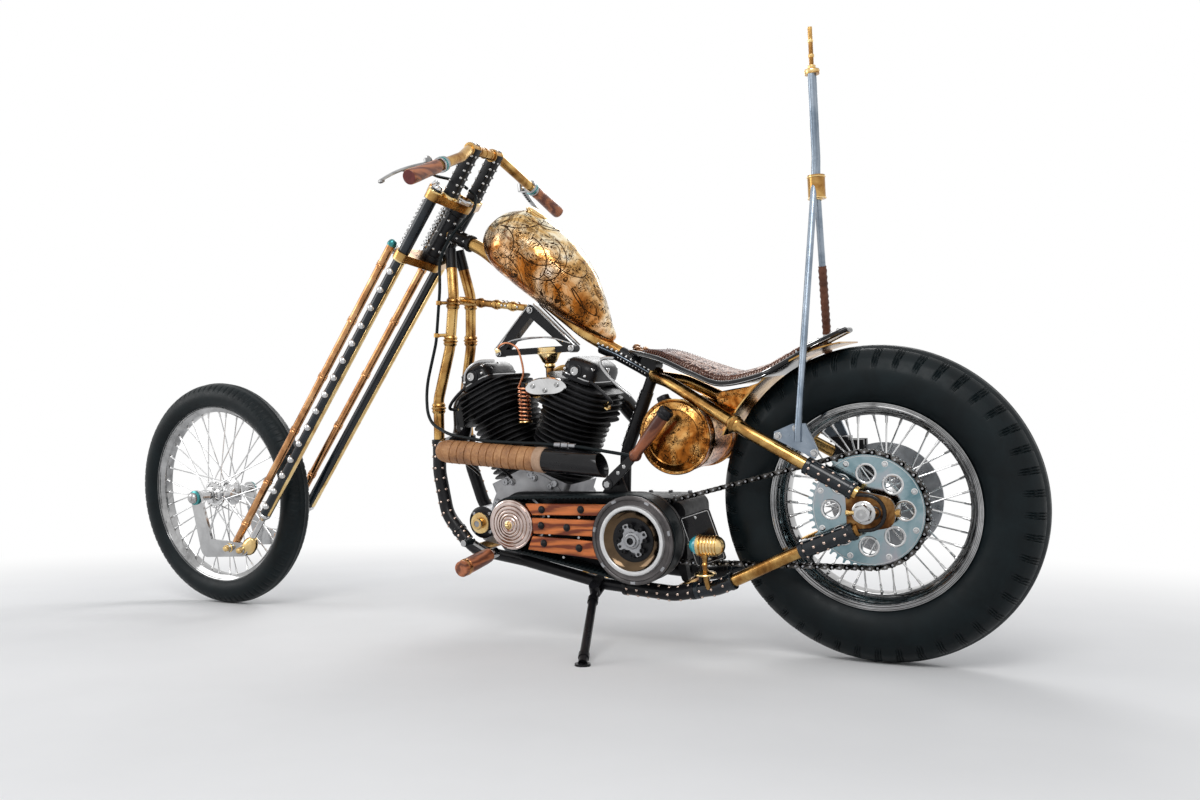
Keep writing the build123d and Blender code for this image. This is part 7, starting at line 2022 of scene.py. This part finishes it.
def build_shifter():
    """A black lever with a waisted wooden handle and a ringed black cap."""
    shape = Shape()
    low, high = Vector((502, 152, 464)), Vector((424, 152, 556))
    along = (high - low).normalized()
    length = (high - low).length
    profile = [(6, -10), (9.5, -6), (13.5, -1), (14.8, 4), (13.6, 10), (11.4, 16), (12.0, 26), (13.4, 42),
               (14.6, 62), (15.0, 84), (14.9, 104), (14.6, length - 4)]
    shape.turned(low, along, profile, 0, 36)
    cap = low + along * (length - 5)
    shape.turned(cap, along, [(14.6, 0), (16.4, 1), (17.4, 3), (17.4, 8), (16.2, 9.5), (17.6, 11), (18.0, 14),
                              (17.6, 18), (15.5, 21), (13.5, 22)], 1, 40, caps=False)
    shape.turned(cap, along, [(13.6, 20.5), (13.0, 22.6), (10.0, 22.2), (8.5, 21.0), (0, 20.4)], 2, 36)
    arm = []
    for i in range(12):
        t = i / 11
        at = Vector((572, 0, 402)).lerp(Vector((500, 0, 467)), t)
        across = Vector((467 - 402, 0, 572 - 500)).normalized()
        wide = 13.0 * (1 - t) + 7.5 * t + 1.5 * math.sin(math.pi * t)
        arm.append([at + across * wide + ACROSS * 148.4, at + across * (wide + 0.8) + ACROSS * 152,
                    at + across * wide + ACROSS * 155.8, at - across * wide + ACROSS * 155.8,
                    at - across * (wide + 0.8) + ACROSS * 152, at - across * wide + ACROSS * 148.4])
    shape.rings(arm, 2)
    shape.turned((572, 102, 402), ACROSS, [(9, 0), (9, 44), (13, 45), (13, 56), (10, 57)], 2, 28)
    shape.hexagon((572, 154, 402), ACROSS, 9.0, 7.0, 3)
    for t in (0.4, 0.62):
        at = Vector((572, 155.6, 402)).lerp(Vector((500, 155.6, 467)), t)
        shape.turned(at, ACROSS, [(4.4, -0.5), (4.4, 1.4), (3.4, 2.0), (0, 2.0)], 3, 16)
    return shape.piece("hand_shifter_dressed", "frame", [WOOD_HANDLE, BLACK, GLOSS_BLACK, CHROME],
                       ["hand_shifter"], 40.0)


def build_foot_controls():
    """Both forward controls: chromed arms and links, and turned wooden pegs with a bright ring."""
    shape = Shape()
    for side in SIDES:
        def at(p):
            return Vector((p[0], p[1] * side, p[2]))
        shape.tube([at((948, 99.6, 218)), at((920, 132, 226)), at((899, 158, 231))], 8.0, 1, 20)
        shape.turned(at((896, 152, 232)), at((900, 172, 229)) - at((896, 152, 232)),
                     [(9, -5), (13, -3), (13.4, 2), (13.4, 18), (12, 21), (9, 22)], 1, 30)
        inner, outer = at((900, 172, 229)), at((910, 278, 214))
        along = (outer - inner).normalized()
        length = (outer - inner).length
        shape.turned(inner, along, [(13, -1), (16.2, 1), (17.4, 5), (18.4, 20), (19.0, 48), (19.2, 76),
                                    (18.9, 84)], 0, 44, caps=False)
        shape.turned(inner, along, [(18.6, 83), (19.8, 84), (20.2, 87), (20.2, 92), (19.6, 94.5), (18.4, 95)],
                     2, 44, caps=False)
        shape.turned(inner, along, [(18.6, 94.6), (19.2, 97), (19.0, length - 3), (17.6, length - 0.6),
                                    (12, length + 0.1), (0, length + 0.2)], 0, 44)
        shape.tube([at((932, 118, 222)), at((946, 176, 262))], 6.0, 1, 16)
        shape.tube([at((946, 172, 262)), at((948, 210, 262))], 8.0, 1, 20)
        shape.tube([at((946, 176, 262)), at((948, 176, 262))], 10.0, 1, 20)
        for k in range(5):
            shape.tube([at((946.5, 180 + 6 * k, 262)), at((946.7, 182.4 + 6 * k, 262))], 9.3, 3, 20)
        shape.hexagon(at((897, 148, 232)), at((896, 152, 232)) - at((900, 172, 229)), 8.0, 6.0, 2)
        shape.dome(at((932, 116, 222)), at((0, 0, 1)), 8.0, 6.0, 1, 18)
    return shape.piece("foot_controls_dressed", "frame", [WOOD_PEG, CHROME, COPPER_BRASS, RUBBER],
                       ["foot_controls"], 40.0)


def build_plate():
    """A blank black plate with a thin light border and a rolled edge."""
    shape = Shape()
    tilt = math.radians(18)
    centre = Vector((360, 116, 278))
    across = Vector((-math.cos(tilt), 0, math.sin(tilt)))
    up = Vector((math.sin(tilt), 0, math.cos(tilt)))

    def outline(half_w, half_h, corner, y):
        ring = []
        for cx, cy, a0 in ((1, 1, 0), (-1, 1, 90), (-1, -1, 180), (1, -1, 270)):
            for k in range(7):
                a = math.radians(a0 + 15 * k)
                ring.append(centre + across * (cx * (half_w - corner) + corner * math.cos(a))
                            + up * (cy * (half_h - corner) + corner * math.sin(a)) + ACROSS * y)
        return ring

    shape.rings([outline(37.6, 58.6, 6, 0.2), outline(38, 59, 6, 0.8), outline(38, 59, 6, 2.6),
                 outline(37.2, 58.2, 6, 3.2), outline(36, 57, 5, 3.0)])
    border = outline(34.0, 55.0, 4.0, 3.1)
    shape.tube(border + [border[0]], 0.8, 1, 8)
    for s in SIDES:
        at = centre + up * (48 * s) + ACROSS * 3.0
        shape.turned(at, ACROSS, [(3.6, -0.5), (3.6, 1.2), (2.6, 1.8), (0, 1.8)], 2, 16)
    shape.tube([Vector((372, 113, 160)), Vector((369, 114, 205)), Vector((366, 115, 240))], 6.0, 0, 16)
    return shape.piece("number_plate_dressed", "frame", [GLOSS_BLACK, PALE_LINE, CHROME],
                       ["number_plate"])


def build_lamp():
    """The brass lamp: a ribbed round body, a pointed turquoise glass, its stem and turned base."""
    shape = Shape()
    at = Vector((346, 148, 268))
    ahead = Vector((1, 0, 0))
    shape.turned(at, ahead, [(0, -48.6), (7, -47.6), (13, -45), (18, -40), (21, -34)], 0, 56, caps=False)
    profile = [(21, -34)]
    for low in (-33, -25.5, -18, -10.5, -3):
        profile += [(20.2, low), (22.6, low + 0.8), (23.2, low + 2.6), (22.9, low + 4.6), (20.4, low + 5.4),
                    (20.0, low + 6.6)]
    profile += [(21, 4.6), (24.0, 6), (24.6, 9), (24.0, 12.6), (22.4, 13.4)]
    shape.turned(at, ahead, profile, 0, 64, caps=False)
    shape.turned(at, ahead, [(22.2, 12.8), (21.8, 15.6), (20.0, 20.0), (16.6, 25.4), (11.8, 30.4),
                             (6.0, 34.0), (3.0, 35.4), (0, 35.6)], 1, 56)
    shape.turned(at, ahead, [(3.4, 34.4), (4.4, 35.6), (3.6, 37.4), (0, 38.2)], 0, 20)
    shape.turned(at, (0, 0, -1), [(11, 17), (9, 24), (6, 30), (5.4, 38), (7.6, 42), (5.6, 46), (5.6, 58)],
                 2, 32)
    shape.turned(at, (0, 0, -1), [(7, 56), (13, 58.5), (20.5, 60), (23.4, 61.4), (24.4, 63), (23.6, 65),
                                  (20, 66.5), (12, 67)], 0, 48)
    shape.tube([Vector((346, 148, 204)), Vector((348, 136, 184)), Vector((350, 118, 160))], 7.0, 2, 20)
    return shape.piece("tail_lamp_dressed", "frame", [BRASS_LIGHT, TEAL_GLASS, BRASS], ["tail_lamp"],
                       32.0)


def build_axle_plates():
    """A black raised edge round the slot and the rim of both axle plates, and their brass adjusters."""
    shape = Shape()
    for side in SIDES:
        y = PLATE_Y * side
        centre = Vector((0, y, 343.5))
        slot = []
        for cx, a0 in ((1, -90), (-1, 90)):
            for k in range(13):
                a = math.radians(a0 + 15 * k)
                slot.append(centre + Vector((cx * 13 - 8 + 12 * math.cos(a), 0, 12 * math.sin(a))))
        shape.tube(slot + [slot[0]], 1.8, 0, 8)
        shape.tube([centre + Vector((14, 2 * side, 0)), centre + Vector((34, 2 * side, 0))], 5.0, 1, 18)
        shape.hexagon(centre + Vector((30, 2 * side, 0)), (1, 0, 0), 7.5, 6.0, 1)
        rim = []
        for k in range(25):
            a = math.radians(90 + 180 * k / 24)
            rim.append(Vector((-6 + 36 * math.cos(a), y, 343.5 + 36 * math.sin(a))))
        rim = [Vector((34, y, 383))] + rim + [Vector((34, y, 304))]
        shape.tube(rim, 4.2, 0, 12)
    return shape.piece("axle_plate_trim", "frame", [GLOSS_BLACK, BRASS_LIGHT])


def build_cables():
    """The clutch cable's adjuster in three parts, and the round nipple at its end on the shifter."""
    shape = Shape()
    for x, z, r in ((700, 493.6, 6.4), (680, 492.4, 7.2), (662, 491.2, 5.6)):
        shape.turned((x, 152, z), (-1, 0, -0.06), [(4.4, -9), (r, -8), (r, 8), (4.4, 9)], 0, 18)
    shape.dome((506, 152, 468), (-1, 0, 0), 7.0, 7.0, 0, 18)
    return shape.piece("cable_fittings", "frame", [STEEL])


def build_stand_trim():
    """A black sleeve near the pivot and another near the foot of the side stand."""
    shape = Shape()
    pivot, foot = Vector((630, 140, 150)), Vector((550, 355, 48.6))
    down = (foot - pivot).normalized()
    shape.tube([pivot + down * 30, pivot + down * 46], 12.5, 0, 20)
    shape.tube([foot - down * 30, foot - down * 16], 12.0, 0, 20)
    return shape.piece("side_stand_trim", "side_stand", [BLACK])


build_exhausts()
build_shifter()
build_foot_controls()
build_plate()
build_lamp()
build_axle_plates()
build_cables()
build_stand_trim()


# Floor, backdrop and light

def seen_straight(tree):
    """One for rays from the camera, off a glossy surface or through glass, otherwise nought."""
    path = add(tree, "ShaderNodeLightPath").outputs
    seen = maths(tree, "MAXIMUM", path["Is Camera Ray"], path["Is Glossy Ray"])
    return maths(tree, "MAXIMUM", seen, path["Is Transmission Ray"])


def add_world():
    world = bpy.data.worlds.new("studio")
    bpy.context.scene.world = world
    world.use_nodes = True
    tree = world.node_tree
    tree.nodes.clear()
    light = add(tree, "ShaderNodeBackground", {"Color": (0.86, 0.88, 0.92), "Strength": 0.45})
    plain = add(tree, "ShaderNodeBackground", {"Color": (1.0, 1.0, 1.0), "Strength": 1.0})
    blend(tree, add(tree, "ShaderNodeOutputWorld"), seen_straight(tree), light, plain)


FADE_FROM = 1.2
FADE_TO = 3.4


def blend(tree, out, share, one, two):
    """Show the first shader, and the second where the share is one."""
    either = add(tree, "ShaderNodeMixShader", {0: share, 1: one.outputs[0], 2: two.outputs[0]})
    wire(tree, out, {"Surface": either.outputs[0]})


def add_floor():
    mesh = bpy.data.meshes.new("floor")
    reach = 14.0
    mesh.from_pydata([(-reach, -reach, 0), (reach, -reach, 0), (reach, reach, 0), (-reach, reach, 0)], [],
                     [(0, 1, 2, 3)])
    floor = bpy.data.objects.new("floor", mesh)
    bpy.context.scene.collection.objects.link(floor)
    mat, tree, shader = material("floor", 0.0, 0.9, grey(0.88))
    at = coordinates(tree)
    wire(tree, shader, {"Base Color": ramp(tree, noise(tree, at, 3.0, 4.0), [(0.3, 0.86), (0.7, 0.89)])})
    away = add(tree, "ShaderNodeVectorMath", {0: at}, operation="LENGTH")
    fade = span(tree, away.outputs["Value"], FADE_FROM, FADE_TO, "SMOOTHSTEP")
    share = maths(tree, "MULTIPLY", fade, seen_straight(tree))
    blend(tree, tree.nodes["Material Output"], share, shader, add(tree, "ShaderNodeEmission"))
    dress(floor, mat)


def add_light(name, at, aim, size, power):
    data = bpy.data.lights.new(name, "AREA")
    data.shape = "RECTANGLE"
    data.size, data.size_y = size
    data.energy = power
    lamp = bpy.data.objects.new(name, data)
    bpy.context.scene.collection.objects.link(lamp)
    lamp.location = at
    lamp.rotation_euler = (Vector(aim) - Vector(at)).to_track_quat("-Z", "Y").to_euler()


add_world()
add_floor()
add_light("key", (-1.6, 3.4, 3.4), (0, 0, 0.5), (2.4, 1.8), 92.0)
add_light("fill", (3.4, 2.2, 1.8), (0.3, 0, 0.5), (2.0, 2.0), 40.0)
add_light("back", (0.5, -3.2, 3.0), (0, 0, 0.6), (2.6, 1.4), 55.0)

bpy.context.scene.view_settings.view_transform = "Standard"
